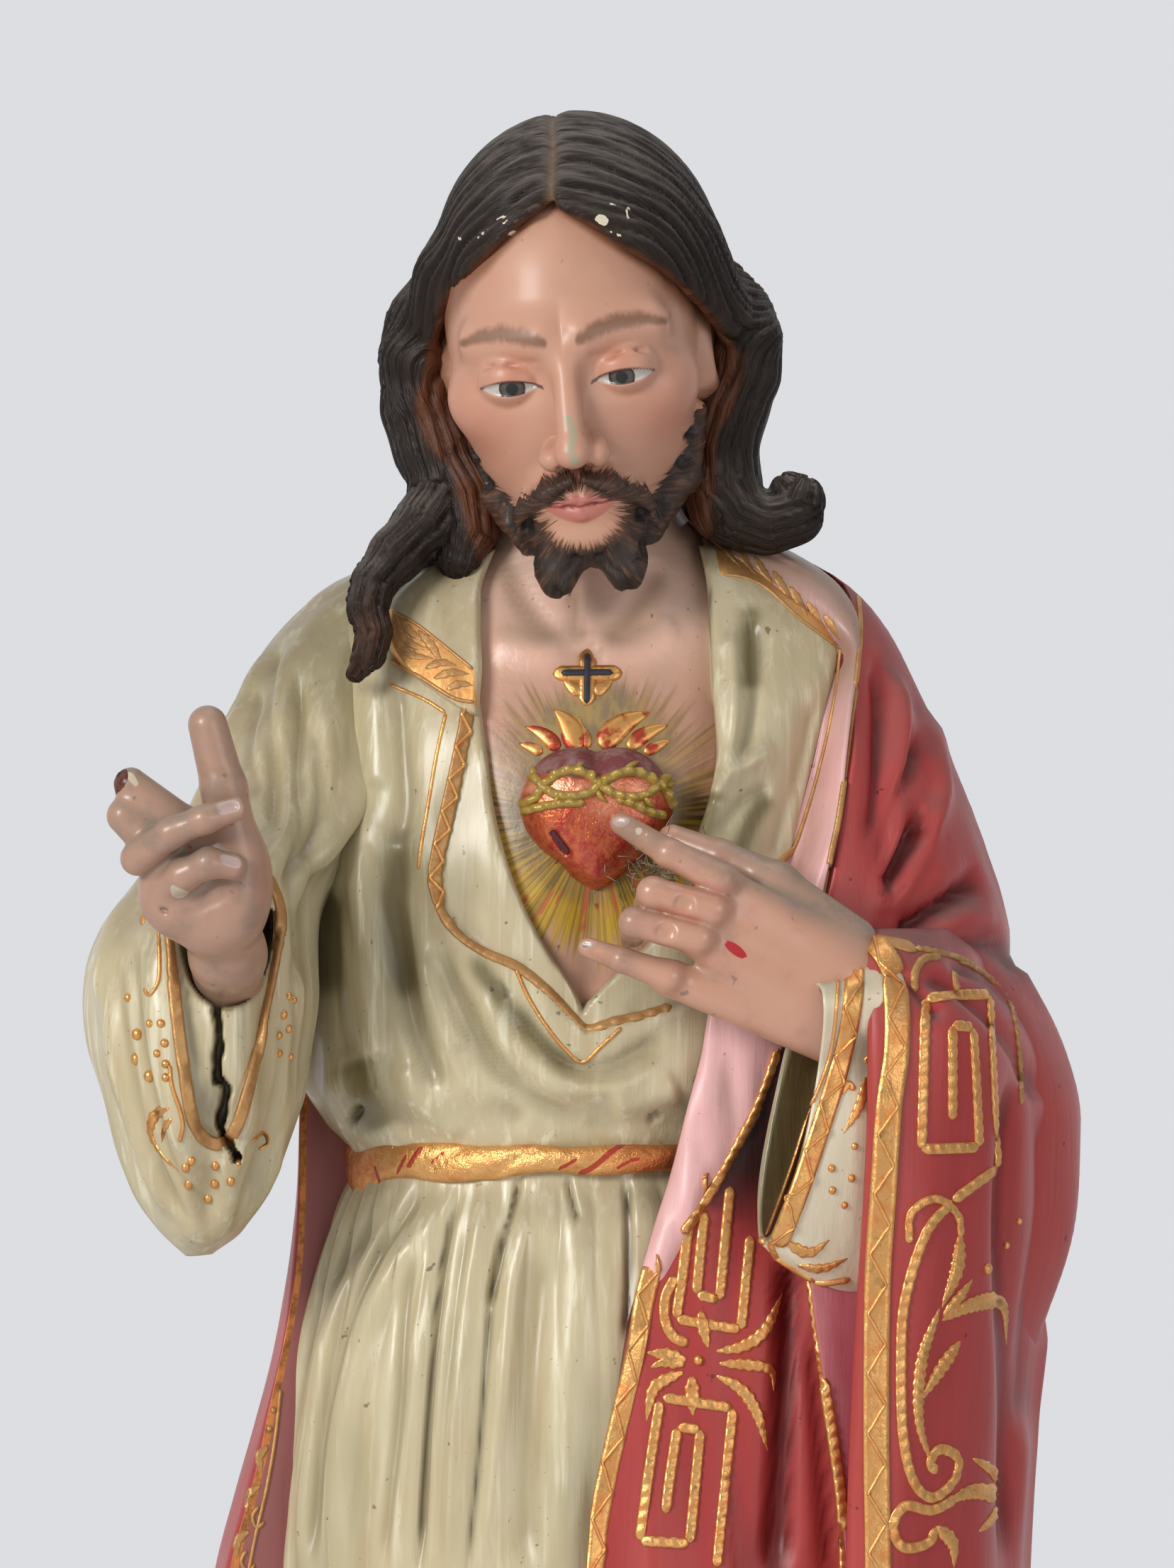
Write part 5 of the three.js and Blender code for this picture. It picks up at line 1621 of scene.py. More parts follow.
def head_fields(p):
    q = mirrored(p)
    x, y, z = q[..., 0], p[..., 1], p[..., 2]
    fields = {"across": np.arctan2(p[..., 0], -(z + 34)) * 15, "along": np.hypot(x, z + 34)}
    in_beard = np.minimum(beard_form(p), moustache_form(p)) - face_form(p)
    # The beard leaves the chin under the lip bare, and strokes of the brush lead into it
    chin = egg(p, [0, -50, -42.2], [8.6, 9, 4.4])
    fields["beard"] = np.clip(0.62 - in_beard * 0.15, 0, 1) * np.clip(0.2 + chin * 0.16, 0, 1)
    fields["beard"] = fields["beard"] * (y < 12) * (z < -22)
    fields["edge"] = np.clip(0.85 - in_beard * 0.12, 0, 1) * (z < -22) * np.clip(0.55 + chin * 0.16, 0, 1)
    fields["glaze"] = np.clip(1.3 - hair_form(from_head(p)) * 0.26, 0, 1)
    fields["dark"] = ease(-44, -54, z)
    fields["pit"] = in_pits(q) * (y < -4)
    line = np.interp(x, [3, 9, 16, 23, 30], [9.4, 11.6, 12.8, 12.0, 9.2])
    thick = np.interp(x, [3, 8, 14, 22, 30], [1.5, 2.3, 2.3, 1.9, 0.9])
    brow = np.clip(1.0 - np.abs(z - line) / thick * 0.5, 0, 1)
    fields["brow"] = brow * ease(2.5, 5, x) * ease(31, 28, x) * (y < -18)
    side = (x - 15.5) / 9.0
    top, bottom = lid_top(side) - 0.4, lid_bottom(side)
    inside = np.minimum(top - z, z - bottom)
    front = (y < -30) & (x < 26) & (x > 5)
    fields["white"] = np.where(front, np.clip(0.5 + inside * 0.8, 0, 1), 0)
    lash = np.clip(1.0 - np.abs(z - top) / 0.9, 0, 1) + 0.4 * np.clip(1.0 - np.abs(z - bottom) / 0.7, 0, 1)
    fields["lash"] = np.where(front & (np.abs(side) < 1.0), np.clip(lash, 0, 1), 0)
    lip_top = -32.4 + 0.5 * bell(x - 2.4, 1.8) - 2.6 * (x / 10) ** 2
    lip_bottom = -40.4 + 4.4 * (x / 9.8) ** 2
    lips = np.minimum(lip_top - z, z - lip_bottom)
    fields["lip"] = np.clip(0.5 + lips * 0.5, 0, 1) * (y < -40) * (x < 11)
    fields["mouth"] = bell(z + 35.5 - 0.004 * x**2, 0.45) * ease(10.5, 8.5, x) * (y < -40)
    cheek = near_to(q, [24, -30, -14], 12)
    lid = near_to(q, [15, -42, 2.5], 5) * 0.8
    fields["warm"] = np.clip(cheek + lid + near_to(p, [0, -54, -20], 6) * 0.4, 0, 1)
    fields["shade_and_smudge"] = np.clip(near_to(p, [3, -40, 30], 10) + near_to(p, [26, -28, -4], 9) * 0.5, 0, 1)
    strip = np.maximum(np.abs(p[..., 0] - 0.5 - 0.5 * np.sin(z * 0.8)) - 1.2, np.maximum(z + 9, -22 - z))
    fields["worn"] = np.clip(0.5 - strip * 0.6, 0, 1) * (y < -46)
    return fields


def head_grid():
    def whole(p):
        d = joined(face_form(p), beard_form(p), 2)
        return joined(d, moustache_form(p), 1.2)

    points = walked_in(whole, np.array([0.0, -8.0, -12.0]), 240, 226)
    fields = head_fields(points)
    # Wavy tufts run down the beard and curl at its two points, with drilled pits at the sides
    q = mirrored(points)
    down = np.hypot(q[..., 0], points[..., 2] + 34)
    round_it = np.arctan2(q[..., 0], -(points[..., 2] + 34)) * 15
    wave = 1.3 * np.sin(down * 0.42) + 0.5 * ripple(points, 9, 44)
    tuft = np.abs(np.sin((round_it + wave) * math.pi / 4.6))
    hairs = np.abs(np.sin((round_it + 1.4 * wave) * math.pi / 2.3))
    full = ease(0.35, 0.75, fields["beard"])
    relief = 0.5 - (0.5 + 0.6 * fields["dark"]) * (1 - tuft) ** 1.8 - 0.35 * (1 - hairs)
    points = pushed(points, full * relief - 1.2 * fields["pit"])
    return grid(from_head(points), fields)


skin("head", [head_grid()], make_flesh())


HAIR_RIM = (0.13, 0.042, 0.015)
HAIR_STREAK = (0.06, 0.022, 0.01)
HAIR_DUST_AND_SHEEN = (0.17, 0.145, 0.13)
PARTING = (0.19, 0.115, 0.065)


def make_hair():
    paint = Paint("hair_brown", 0.5, specular=0.24)
    tone = paint.noise(0.014, 4, 0.65, seed=3.0)
    hairs = paint.combed_noise(1.5, 0.06)
    broad = paint.combed_noise(4.0, 0.06)
    rim = paint.field("rim")
    brown = (rim * 0.95 + (tone - 0.5) * 0.9 + (broad - 0.5) * 1.1).step(0.36, 0.96)
    streak = broad.step(0.6, 0.76) * tone.step(0.4, 0.62)
    # Paler on top: dust, and painted sheen
    dust = (paint.field("up") * tone.step(0.2, 0.55)).clip()
    chip = (paint.field("chip") + (paint.noise(0.003, 3, seed=7.0) - 0.5) * 0.7).step(0.5, 0.56)
    colour = paint.layered(
        HAIR,
        (HAIR_SHEEN, (hairs.step(0.45, 0.75) * 0.8 + paint.field("high") * 0.4).clip()),
        (paint.mix(HAIR_BROWN, HAIR_RIM, rim.step(0.65, 1.0)), brown * 0.8),
        (HAIR_STREAK, streak * 0.7),
        # Painted shade in the hollows
        (SHADE_AND_SOOT, (paint.field("low") * 0.9).clip()),
        (PARTING, (paint.field("parting") * (tone + 0.45)).clip() * 0.9),
        (HAIR_DUST_AND_SHEEN, dust * hairs.step(0.32, 0.6) * 0.9),
        (PLASTER, chip),
    )
    paint.use("Base Color", colour)
    paint.use("Roughness", (0.36 + dust * 0.25 + hairs * 0.2 + chip * 0.3).clip())
    paint.bump(hairs, 0.0013)
    return paint.material


# The hair's box and the width of a cell of its lattice, in mm
HAIR_BOX = ([-74, -84, 652], [74, 52, 828])
HAIR_CELL = 1.06
sculpted("hair", hair_form, HAIR_BOX, HAIR_CELL, hair_fields, make_hair(), shape=hair_shape)


def make_hand_flesh():
    paint = Paint("hand_flesh", 0.36, coat=0.4)
    tone = paint.noise(0.014, 4, 0.6, seed=2.0)
    # Grey: grime, with painted shade over the right hand and in hollows
    grime_and_shade = (paint.field("grey") * 0.8 + paint.field("up") * 0.45) * (tone * 0.7 + 0.35)
    grime_and_shade = grime_and_shade + tone.step(0.5, 0.72) * 0.32
    core = (paint.field("core") + (tone - 0.5) * 0.35).step(0.45, 0.55)
    broken = paint.mix(BROKEN_PLASTER, BROKEN_DARK, paint.noise(0.0014, 3).step(0.4, 0.6))
    speck = paint.noise(0.0036, 1, seed=5.3)
    colour = paint.layered(
        FLESH,
        (FLESH_WARM, (tone.step(0.4, 0.8) * 0.45 + paint.field("pink") * 0.7).clip()),
        (FLESH_GREY, (grime_and_shade + paint.field("low") * 0.5).clip()),
        (NAIL, paint.field("nail").step(0.45, 0.55) * 0.8),
        (WOUND, paint.field("wound").step(0.42, 0.58)),
        (BARE_PLASTER, (paint.field("chip") + (tone - 0.5) * 0.5).step(0.45, 0.55)),
        (broken, core),
        (HAND_SPECK, speck.step(0.72, 0.77) * 0.6),
    )
    paint.use("Base Color", colour)
    paint.use("Roughness", (0.28 + core * 0.6 + grime_and_shade * 0.25 + tone * 0.1).clip())
    paint.bump(core * paint.noise(0.0011, 3, seed=1.0), 0.0006)
    return paint.material


hand_paint = make_hand_flesh()


def marks(p, *rods):
    """1 within rods of [start, end, radius], falling to 0 just outside them."""
    gaps = [rod(p, [*start, radius], [*end, radius]) for start, end, radius in rods]
    return np.clip(0.5 - np.minimum.reduce(gaps) * 0.9, 0, 1)


# Right hand: palm forward, thumb up, first two fingers broken off, the others bent over the palm.
# Fingers are [x, y, z, radius] from knuckle to tip.
RIGHT_THUMB = [[-93, -104, 612, 6.8], [-96.3, -106, 630, 6.1], [-100.6, -107.5, 647, 5.3]]
RIGHT_RING = [
    [-119.5, -107, 611, 4.7],
    [-110, -114.4, 618, 4.2],
    [-101, -117.4, 621.6, 3.8],
    [-92.6, -116.6, 624.4, 3.3],
]
RIGHT_LITTLE = [
    [-112, -106, 603, 4.6],
    [-107, -112.4, 606.5, 4.3],
    [-100, -115.6, 609.9, 4.0],
    [-93.4, -114.4, 608.9, 3.6],
]


def right_hand_form(p):
    d = rod(p, [-97, -64, 575, 9.9], [-96, -88, 585, 9.9])
    d = joined(d, rod(p, [-96, -88, 585, 9.9], [-97.5, -99, 596, 10.0]), 4)
    d = joined(d, egg(p, [-101, -100.5, 605], [17, 8.2, 18]), 7)
    d = joined(d, egg(p, [-92.5, -103, 604], [7.5, 8, 15]), 5)
    d = joined(d, egg(p, [-110.5, -101.5, 602], [8.5, 7.5, 11]), 5)
    d = joined(d, rod(p, [-101, -102, 612, 8.0], [-121.5, -103.5, 631.0, 4.6]), 5)
    d = joined(d, rod(p, [-106, -103, 608, 8.0], [-123.0, -104.5, 622.5, 5.0]), 3)
    d = joined(d, bent(p, RIGHT_THUMB, 2), 4)
    # Rough ends where the fingers broke off, and the slot left by the middle one
    rough = 0.9 * ripple(p, 3.2, 51, 6)
    d = carved(d, rod(p, [-128.6, -104, 634.8, 3.6], [-126.8, -110, 636.0, 3.2]) + rough, 0.8)
    d = carved(d, rod(p, [-124.0, -111.5, 630.5, 1.5], [-118.4, -112.6, 620.4, 2.1]) + 0.5 * rough, 0.7)
    d = carved(d, rod(p, [-99, -112.8, 634.5, 0.5], [-92, -112.6, 633.8, 0.5]), 1.0)
    d = joined(d, bent(p, RIGHT_RING, 2), 1.8)
    d = joined(d, bent(p, RIGHT_LITTLE, 2), 1.8)
    d = carved(d, rod(p, [-96.2, -120.6, 624.6, 1.7], [-93.0, -120.2, 625.2, 1.7]), 0.5)
    d = carved(d, rod(p, [-95.6, -119.4, 611.6, 1.4], [-92.2, -118.6, 610.2, 1.4]), 0.5)
    d = carved(d, rod(p, [-106, -110, 596, 0.6], [-96, -112.5, 600.5, 0.6]), 2.0)
    return carved(d, rod(p, [-112, -107.6, 597, 0.5], [-118, -102, 602, 0.5]), 2.0)


def right_hand_fields(p):
    # Grey over the whole hand as painted shade, with more along the lines below
    grey = bell(p[..., 2] - 652, 7) + bell(rod(p, [-112, -114, 620, 1], [-94, -118, 626.5, 1]), 2.6) * 0.8
    grey = grey + bell(rod(p, [-124, -105, 622, 1], [-121, -104, 612, 1]), 3.0) * 0.5
    grey = grey + bell(rod(p, [-105, -118, 611, 1], [-94, -118, 611, 1]), 3) * 0.5
    return {
        "core": marks(
            p,
            [[-126.6, -104, 632.4], [-126.4, -110, 634.0], 4.4],
            [[-124.0, -110.5, 630.0], [-118.4, -111.6, 620.6], 1.7],
        ),
        "chip": marks(
            p,
            [[-121.8, -108, 634.4], [-119.8, -109, 631.4], 1.3],
            [[-108.2, -113.6, 604.6], [-107.6, -112.6, 601.2], 2.5],
        ),
        "grey": np.clip(grey + 0.9, 0, 1),
        "nail": marks(
            p,
            [[-96.2, -119.6, 624.4], [-93.4, -119.4, 625.2], 1.9],
            [[-95.4, -118.4, 611.0], [-92.6, -117.6, 610.0], 1.6],
        ),
        "wound": marks(p, [[-105.6, -109.6, 614.2], [-103.4, -109.6, 612.2], 0.9]),
        "pink": near_to(p, [-97, -108, 606], 10) * 0.6,
    }


# The hands' boxes and the width of a cell of their lattices, in mm
RIGHT_HAND_BOX = ([-132, -123, 562], [-80, -54, 656])
LEFT_HAND_BOX = ([-4, -98, 542], [104, -40, 628])
HAND_CELL = 0.82
sculpted(
    "right_hand_skin",
    right_hand_form,
    RIGHT_HAND_BOX,
    HAND_CELL,
    right_hand_fields,
    hand_paint,
    ("right_hand",),
)


# Left hand: back forward, forefinger and little finger out, the two between curled under
def left_hand_form(p):
    q = (p - [0, -78, 0]) * [1, 1.25, 1] + [0, -78, 0]
    back = rod(q, [90, -48, 562, 11.5], [68, -73, 573.5, 12.3])
    back = joined(back, rod(q, [72, -74, 581, 8.5], [39, -81, 603, 5.4]), 7)
    back = joined(back, rod(q, [72, -75, 575, 9.0], [37, -83, 596.5, 5.2]), 4)
    back = joined(back, rod(q, [70, -75, 568, 9.0], [32, -82, 588.5, 5.2]), 4)
    back = joined(back, rod(q, [68, -74, 563, 8.5], [24, -79, 578.0, 4.8]), 4)
    back = joined(back, rod(q, [74, -68, 588, 7.0], [53, -70, 604, 5.6]), 6)
    fore = bent(p, [[38, -83.5, 605.0, 4.9], [24, -82.5, 612.2, 3.9], [11.0, -70, 620.2, 3.1]], 2)
    middle = bent(p, [[36, -85, 597, 4.8], [19.5, -85.5, 601.6, 4.2], [18, -76, 598, 3.8]], 1.5)
    ring = bent(p, [[32, -84.5, 589.2, 4.7], [14.5, -84.8, 593.4, 4.1], [14, -76, 590, 3.7]], 1.5)
    little = bent(p, [[24, -81.5, 578.6, 4.3], [11, -80.5, 583.2, 3.4], [2.0, -74, 586.4, 2.8]], 1.5)
    fingers = joined(joined(fore, middle, 0.8), joined(ring, little, 0.8), 0.8)
    d = joined(back, fingers, 3.2)
    thumb = bent(p, [[54, -70, 604, 5.6], [38, -66, 611, 4.8], [25, -62, 616, 4.0]], 2)
    d = joined(d, thumb, 3)
    d = carved(d, rod(p, [8.4, -73.4, 621.4, 1.4], [11.4, -74.6, 621.0, 1.5]), 0.5)
    d = carved(d, rod(p, [0.4, -76.8, 587.4, 1.1], [2.4, -77.6, 587.2, 1.2]), 0.4)
    # Dimples beside the knuckles, and the edge of the wound
    for dimple in ([30, -87.8, 605.5], [28, -89.2, 598.5], [23, -88.6, 591]):
        d = carved(d, egg(p, dimple, [2.4, 0.8, 2.2]), 1.4)
    return carved(d, rod(p, [39.4, -91.0, 588.0, 0.5], [44.6, -91.0, 584.0, 0.5]) - 0.5, 0.6)


def left_hand_fields(p):
    # The wound is a pointed slash across the back of the hand
    x, z = p[..., 0] - 42, p[..., 2] - 586
    beside_wound = np.abs(x * 0.6 + z * 0.8) * 0.9
    along_wound = np.abs(x * 0.8 - z * 0.6)
    half = 1.25 * np.sqrt(np.clip(1 - (along_wound / 3.7) ** 2, 0, 1))
    slash = np.clip(0.5 + (half - beside_wound) * 0.8, 0, 1) * (along_wound < 3.7)
    grey = ease(0, 14, p[..., 2] - 590 + 0.62 * (p[..., 0] - 62)) * (p[..., 0] > 26)
    grey = grey + 0.55 * bell(p[..., 2] - 613 + 0.4 * (p[..., 0] - 24), 3.0) + 0.5 * bell(p[..., 0] - 12, 5)
    pink = bell(rod(p, [28, -88, 603.4, 0.5], [40, -88, 600.6, 0.5]), 1.6)
    pink = pink + bell(rod(p, [22, -88, 597.2, 0.5], [31, -88, 594.0, 0.5]), 1.4)
    pink = pink + bell(rod(p, [19, -86, 585.8, 0.5], [27, -86, 584.0, 0.5]), 1.4)
    return {
        "core": np.zeros(len(p)),
        "chip": marks(
            p,
            [[15.4, -78.4, 618.8], [16.2, -78.4, 617.6], 0.9],
            [[17.9, -80, 617.0], [18.6, -80, 616.4], 0.7],
        ),
        "grey": np.clip(grey, 0, 1),
        "nail": marks(
            p,
            [[8.0, -73.0, 621.4], [11.6, -74.4, 620.9], 1.7],
            [[0.2, -76.6, 587.3], [2.8, -77.4, 587.0], 1.3],
        ),
        "wound": slash * (p[..., 1] < -80),
        "pink": np.clip(pink, 0, 1),
    }


sculpted("left_hand", left_hand_form, LEFT_HAND_BOX, HAND_CELL, left_hand_fields, hand_paint)


# The belt, a twisted gilt ribbon, and the red strokes of the brush across it, in pixels
BELT_STROKES = [
    [3.0, 0, [[558, 1660], [566, 1644], [574, 1628]]],
    [4.0, 0, [[574, 1652], [585, 1632], [598, 1616]]],
    [2.2, 0, [[606, 1644], [618, 1632], [630, 1624]]],
    [3.0, 0, [[784, 1652], [804, 1642], [818, 1632]]],
    [4.6, 0, [[808, 1660], [836, 1648], [862, 1626], [892, 1606]]],
    [3.0, 0, [[866, 1652], [886, 1640], [906, 1634]]],
    [2.4, 0, [[526, 1640], [534, 1664], [542, 1690]]],
]


BELT_HALF_WIDTH = 62.2
BELT_HALF_DEPTH = 46.4
BELT_TURNS = 7
BELT_COPPER_AND_SHADE = (0.6, 0.19, 0.06)
BELT_RED = (0.42, 0.025, 0.02)
BELT_DARK = (0.07, 0.025, 0.015)


def make_belt():
    paint = Paint("belt_gilding", 0.33, metallic=0.75)
    tone = paint.noise(0.007, 4, 0.65, (1, 1, 1.4), 4.0)
    foil = paint.noise(0.0028, 4, 0.7, seed=9.0)
    side = paint.axes()[0]
    # Copper in patches, and darker and redder towards both sides as painted shade
    copper_and_shade = tone.step(0.42, 0.72) * 0.6 + side.step(0.004, 0.016) * 0.65 + side.step(-0.052, -0.06) * 0.5
    colour = paint.layered(
        GOLD,
        (BELT_COPPER_AND_SHADE, copper_and_shade.clip()),
        (BELT_RED, (paint.field("stroke") + (tone - 0.5) * 0.5).step(0.4, 0.62) * 0.9),
        # Darker in hollows: painted shade
        (BELT_DARK, (paint.field("low") * 0.9).clip()),
    )
    paint.use("Base Color", colour)
    paint.use("Metallic", 0.8 - paint.field("stroke") * 0.4)
    paint.use("Roughness", (tone * 0.3 + foil * 0.4).clip())
    paint.bump(foil, 0.0007)
    return paint.material


def belt_grid():
    turn = np.linspace(0, 2 * math.pi, 481)[:, None]
    around = np.linspace(0, 2 * math.pi, 25)[None, :]
    twist = -BELT_TURNS * turn + around + 0.9 * np.sin(2 * turn + 1)
    strand = np.abs(np.sin(twist)) ** 0.7
    swell = 1 + 0.16 * np.sin(3 * turn + 2.4) + 0.08 * np.sin(8 * turn)
    out = 2.4 + (1.7 + 1.1 * strand) * np.cos(around)
    up = 4.5 * swell * np.sin(around) * (0.9 + 0.1 * strand)
    left = bell(turn - 1.1 * math.pi, 0.2)
    rise = 0.8 * np.cos(turn - 0.2) + 0.5 * np.sin(4 * turn) + 1.2 * bell(turn - 1.44 * math.pi, 0.14)
    rise = rise - 5 * left
    up = up * (1 + 0.5 * left)
    x = (BELT_HALF_WIDTH + out) * np.cos(turn)
    y = (BELT_HALF_DEPTH + out) * np.sin(turn)
    points = stack(x, y, BELT_LEVEL + up + rise)
    front = np.sin(turn) < 0
    return grid(points, {"stroke": pressed(points, BELT_STROKES, True) * front}, capped=False)


skin("belt", [belt_grid()], make_belt())


# Heart in relief: half of its outline, as the distance from its place by angle
HALF_HEART = [
    [-90, 20.8], [-72, 18.6], [-50, 16.8], [-28, 18.2], [-8, 20.2], [6, 21.4], [22, 22.0], [40, 22.0],
    [58, 21.4], [72, 20.2], [82, 19.0], [90, 18.0],
]
HEART_OUTLINE = HALF_HEART + [[180 - angle, radius] for angle, radius in HALF_HEART[-2::-1]]
HEART_HEIGHT = 13.0
HEART_RED = (0.6, 0.13, 0.045)
HEART_RED_DEEP = (0.42, 0.03, 0.022)
HEART_PAINTED_HIGHLIGHT = (0.86, 0.34, 0.2)
HEART_DUST = (0.22, 0.11, 0.07)
HEART_LOBE = (0.17, 0.035, 0.035)
HEART_LOBE_DUST = (0.3, 0.17, 0.16)
HEART_SLIT = (0.11, 0.015, 0.018)


def make_heart():
    paint = Paint("heart_lacquer", 0.3, metallic=0.55, coat=0.4)
    tone = paint.noise(0.004, 4, 0.65, seed=6.0)
    dust = paint.noise(0.006, 4, 0.65, seed=2.0)
    lobe = paint.field("lobe").step(0.3, 0.7)
    colour = paint.layered(
        HEART_RED,
        (HEART_RED_DEEP, tone.step(0.4, 0.66)),
        # A painted highlight on the heart
        (HEART_PAINTED_HIGHLIGHT, (paint.field("painted_highlight") * tone.step(0.32, 0.62)).clip()),
        (HEART_DUST, dust.step(0.52, 0.72) * 0.4),
        (paint.mix(HEART_LOBE, HEART_LOBE_DUST, dust.step(0.4, 0.66) * 0.8), lobe),
        (HEART_SLIT, paint.field("slit").step(0.35, 0.65)),
    )
    paint.use("Base Color", colour)
    paint.use("Metallic", (0.6 - lobe * 0.6).clip())
    paint.use("Coat Weight", (0.4 - lobe * 0.35).clip())
    paint.use("Roughness", (tone * 0.35 + 0.14 + lobe * 0.3).clip())
    paint.bump(paint.noise(0.0014, 3, seed=3.0), 0.0004)
    return paint.material


def heart_grid():
    turn = np.linspace(-90, 270, 161)[None, :]
    out = np.linspace(0.02, 1, 56)[:, None]
    radius = along(HEART_OUTLINE, turn)[0]
    angle = np.radians(turn)
    round_over = np.sqrt(np.clip(1 - out**3.2, 0, 1))
    front = stack(radius * out * np.cos(angle), -HEART_HEIGHT * round_over, radius * out * np.sin(angle))
    # A cleft between the lobes and a flat slit low on one side
    x, z = front[..., 0], front[..., 2]
    front[..., 1] += 2.4 * bell(x, 2.6) * ease(6, 15, z) * (out < 0.999)
    slit = rod(front * [1, 0, 1], [-11.8, 0, -4.6, 0], [-8.2, 0, -9.6, 0])
    front[..., 1] += 1.2 * ease(1.5, 0.7, slit)
    lobe = ease(0, 1.6, z - 10.4 - 0.7 * np.sin(x * 0.35))
    # Where the heart gets its painted highlight
    painted_highlight = np.maximum(bell(np.hypot(x - 4, (z - 3.0) * 1.4), 6.5), ease(5.5, 7.5, z) * ease(11, 9.5, z))
    points = np.concatenate([front, front[-1:] + 3 * BACKWARDS, front[-1:] + 6 * BACKWARDS])
    fields = {"lobe": lobe, "painted_highlight": painted_highlight, "slit": ease(1.3, 0.7, slit)}
    fields = {key: np.pad(value, ((0, 2), (0, 0)), mode="edge") for key, value in fields.items()}
    return grid(points + HEART_PLACE, fields)


heart = skin("heart", [heart_grid()], make_heart())


# Raised lines laid on a carrier from the eye: [kind, width and height in mm, [line in pixels]].
# The profile across a line is [side, lift], both as shares of half its width and of its height.
ROUND_PROFILE = [
    [-1.0, -0.5], [-0.94, 0.35], [-0.55, 0.85], [0, 1.0], [0.55, 0.85], [0.94, 0.35], [1.0, -0.5],
    [0, -0.8], [-1.0, -0.5],
]
FLAT_LIFT = [-0.5, 0.75, 1.0, 0.95, 1.0, 0.75, -0.5, -0.8, -0.5]
# In mm: the points along a line, the strands of a rope, and the nicks of a twist
LINE_STEP = 0.7
ROPE_STEP = 3.4
TWIST_STEP = 3.6


def surface_of(*pieces):
    """A search tree over finished pieces, in metres."""
    bm = bmesh.new()
    for piece in pieces:
        bm.from_mesh(piece.data)
    tree = BVHTree.FromBMesh(bm)
    bm.free()
    return tree


def laid(px, py, tree):
    """Where sight lines through pixels meet a surface, with its normal there, in mm."""
    eye = Vector(EYE * share + base)
    places, normals = [], []
    for x, y in zip(px, py):
        way = Vector(((x - FRAME_WIDTH / 2) * PIXEL, -EYE[1], (FRAME_HEIGHT / 2 - y) * PIXEL)).normalized()
        place, normal, _, _ = tree.ray_cast(eye, way)
        if place is None:
            if not places:
                continue
            near = eye + way * (Vector(places[-1]) - eye).length
            place, normal, _, _ = tree.find_nearest(near)
        if normal.y > 0:
            normal = -normal
        places.append(tuple(place))
        normals.append(tuple(normal))
    if len(places) < 3:
        return None, None
    return (np.array(places) - base) / share, np.array(normals)


def ribbon(tree, kind, width, height, line, raised=0.0):
    """Grid of a raised line, closed below the surface; a twist is a band with slanting nicks."""
    line = np.array(line, float)
    if kind == "dot":
        line = line[0] + np.array([[0, 0.55 * width / PIXEL], [0, -0.55 * width / PIXEL]])
    fine = smooth_line(line, 8)
    length = np.hypot(*np.diff(fine, axis=0).T).sum() * PIXEL
    count = max(int(length / LINE_STEP), 9)
    fine = evenly(fine, count, axes=2)
    places, normals = laid(fine[:, 0], fine[:, 1], tree)
    if places is None:
        return None
    for _ in range(3):
        normals[1:-1] = unit(normals[:-2] + 2 * normals[1:-1] + normals[2:])
    ahead = unit(np.gradient(places, axis=0))
    across = unit(np.cross(normals, ahead))
    travelled = travelled_along(places)
    t = travelled / travelled[-1]
    if kind == "leaf":
        size = np.sin(math.pi * t**0.75) ** 0.8 * (1 + 0.16 * np.sin(travelled * 2.4))
    elif kind == "tongue":
        size = np.sin(math.pi * t**0.6) ** 0.7
    elif kind == "dot":
        size = np.sqrt(np.clip(1 - (2 * t - 1) ** 2, 0, 1))
    else:
        size = np.sqrt(np.clip(np.minimum(t, 1 - t) * travelled[-1] / width * 2, 0, 1))
    size = np.maximum(size, 0.06)[:, None]
    side, lift = np.array(ROUND_PROFILE).T[:, None]
    if kind in ("band", "twist"):
        lift = np.array([FLAT_LIFT])
    grain = 1.0
    if kind == "rope":
        grain = 1 + 0.45 * np.sin(travelled[:, None] * 2 * math.pi / ROPE_STEP + side * 1.7) * (lift > 0)
    if kind == "twist":
        turn = (travelled[:, None] + side * 0.22 * width) / TWIST_STEP % 1
        grain = 1 - 0.55 * bell(turn - 0.5, 0.17) * (lift > 0)
    if kind == "leaf":
        grain = 1 - 0.5 * (np.abs(side) < 0.1) * (lift > 0)
    rise = raised + height * lift * np.where(lift > 0, size, 1) * grain
    out = (side * size * width / 2)[..., None]
    return grid(places[:, None] + across[:, None] * out + normals[:, None] * rise[..., None])


def ribbons(name, carriers, lines, material, raised=0.0):
    tree = surface_of(*carriers)
    grids = [ribbon(tree, *line, raised=raised) for line in lines]
    return skin(name, [made for made in grids if made is not None], material)


def in_crop(left, top, scale, lines):
    """Lines given in an enlarged part of the frame, as pixels of the whole frame."""
    return [[*line[:-1], [[left + x / scale, top + y / scale] for x, y in line[-1]]] for line in lines]


def alike(kind, width, height, *lines):
    """Lines of one kind, width and height."""
    return [[kind, width, height, line] for line in lines]


def dots(height, *places):
    """Round dots of one height: places are [width, x, y]."""
    return [["dot", width, height, [[x, y]]] for width, x, y in places]


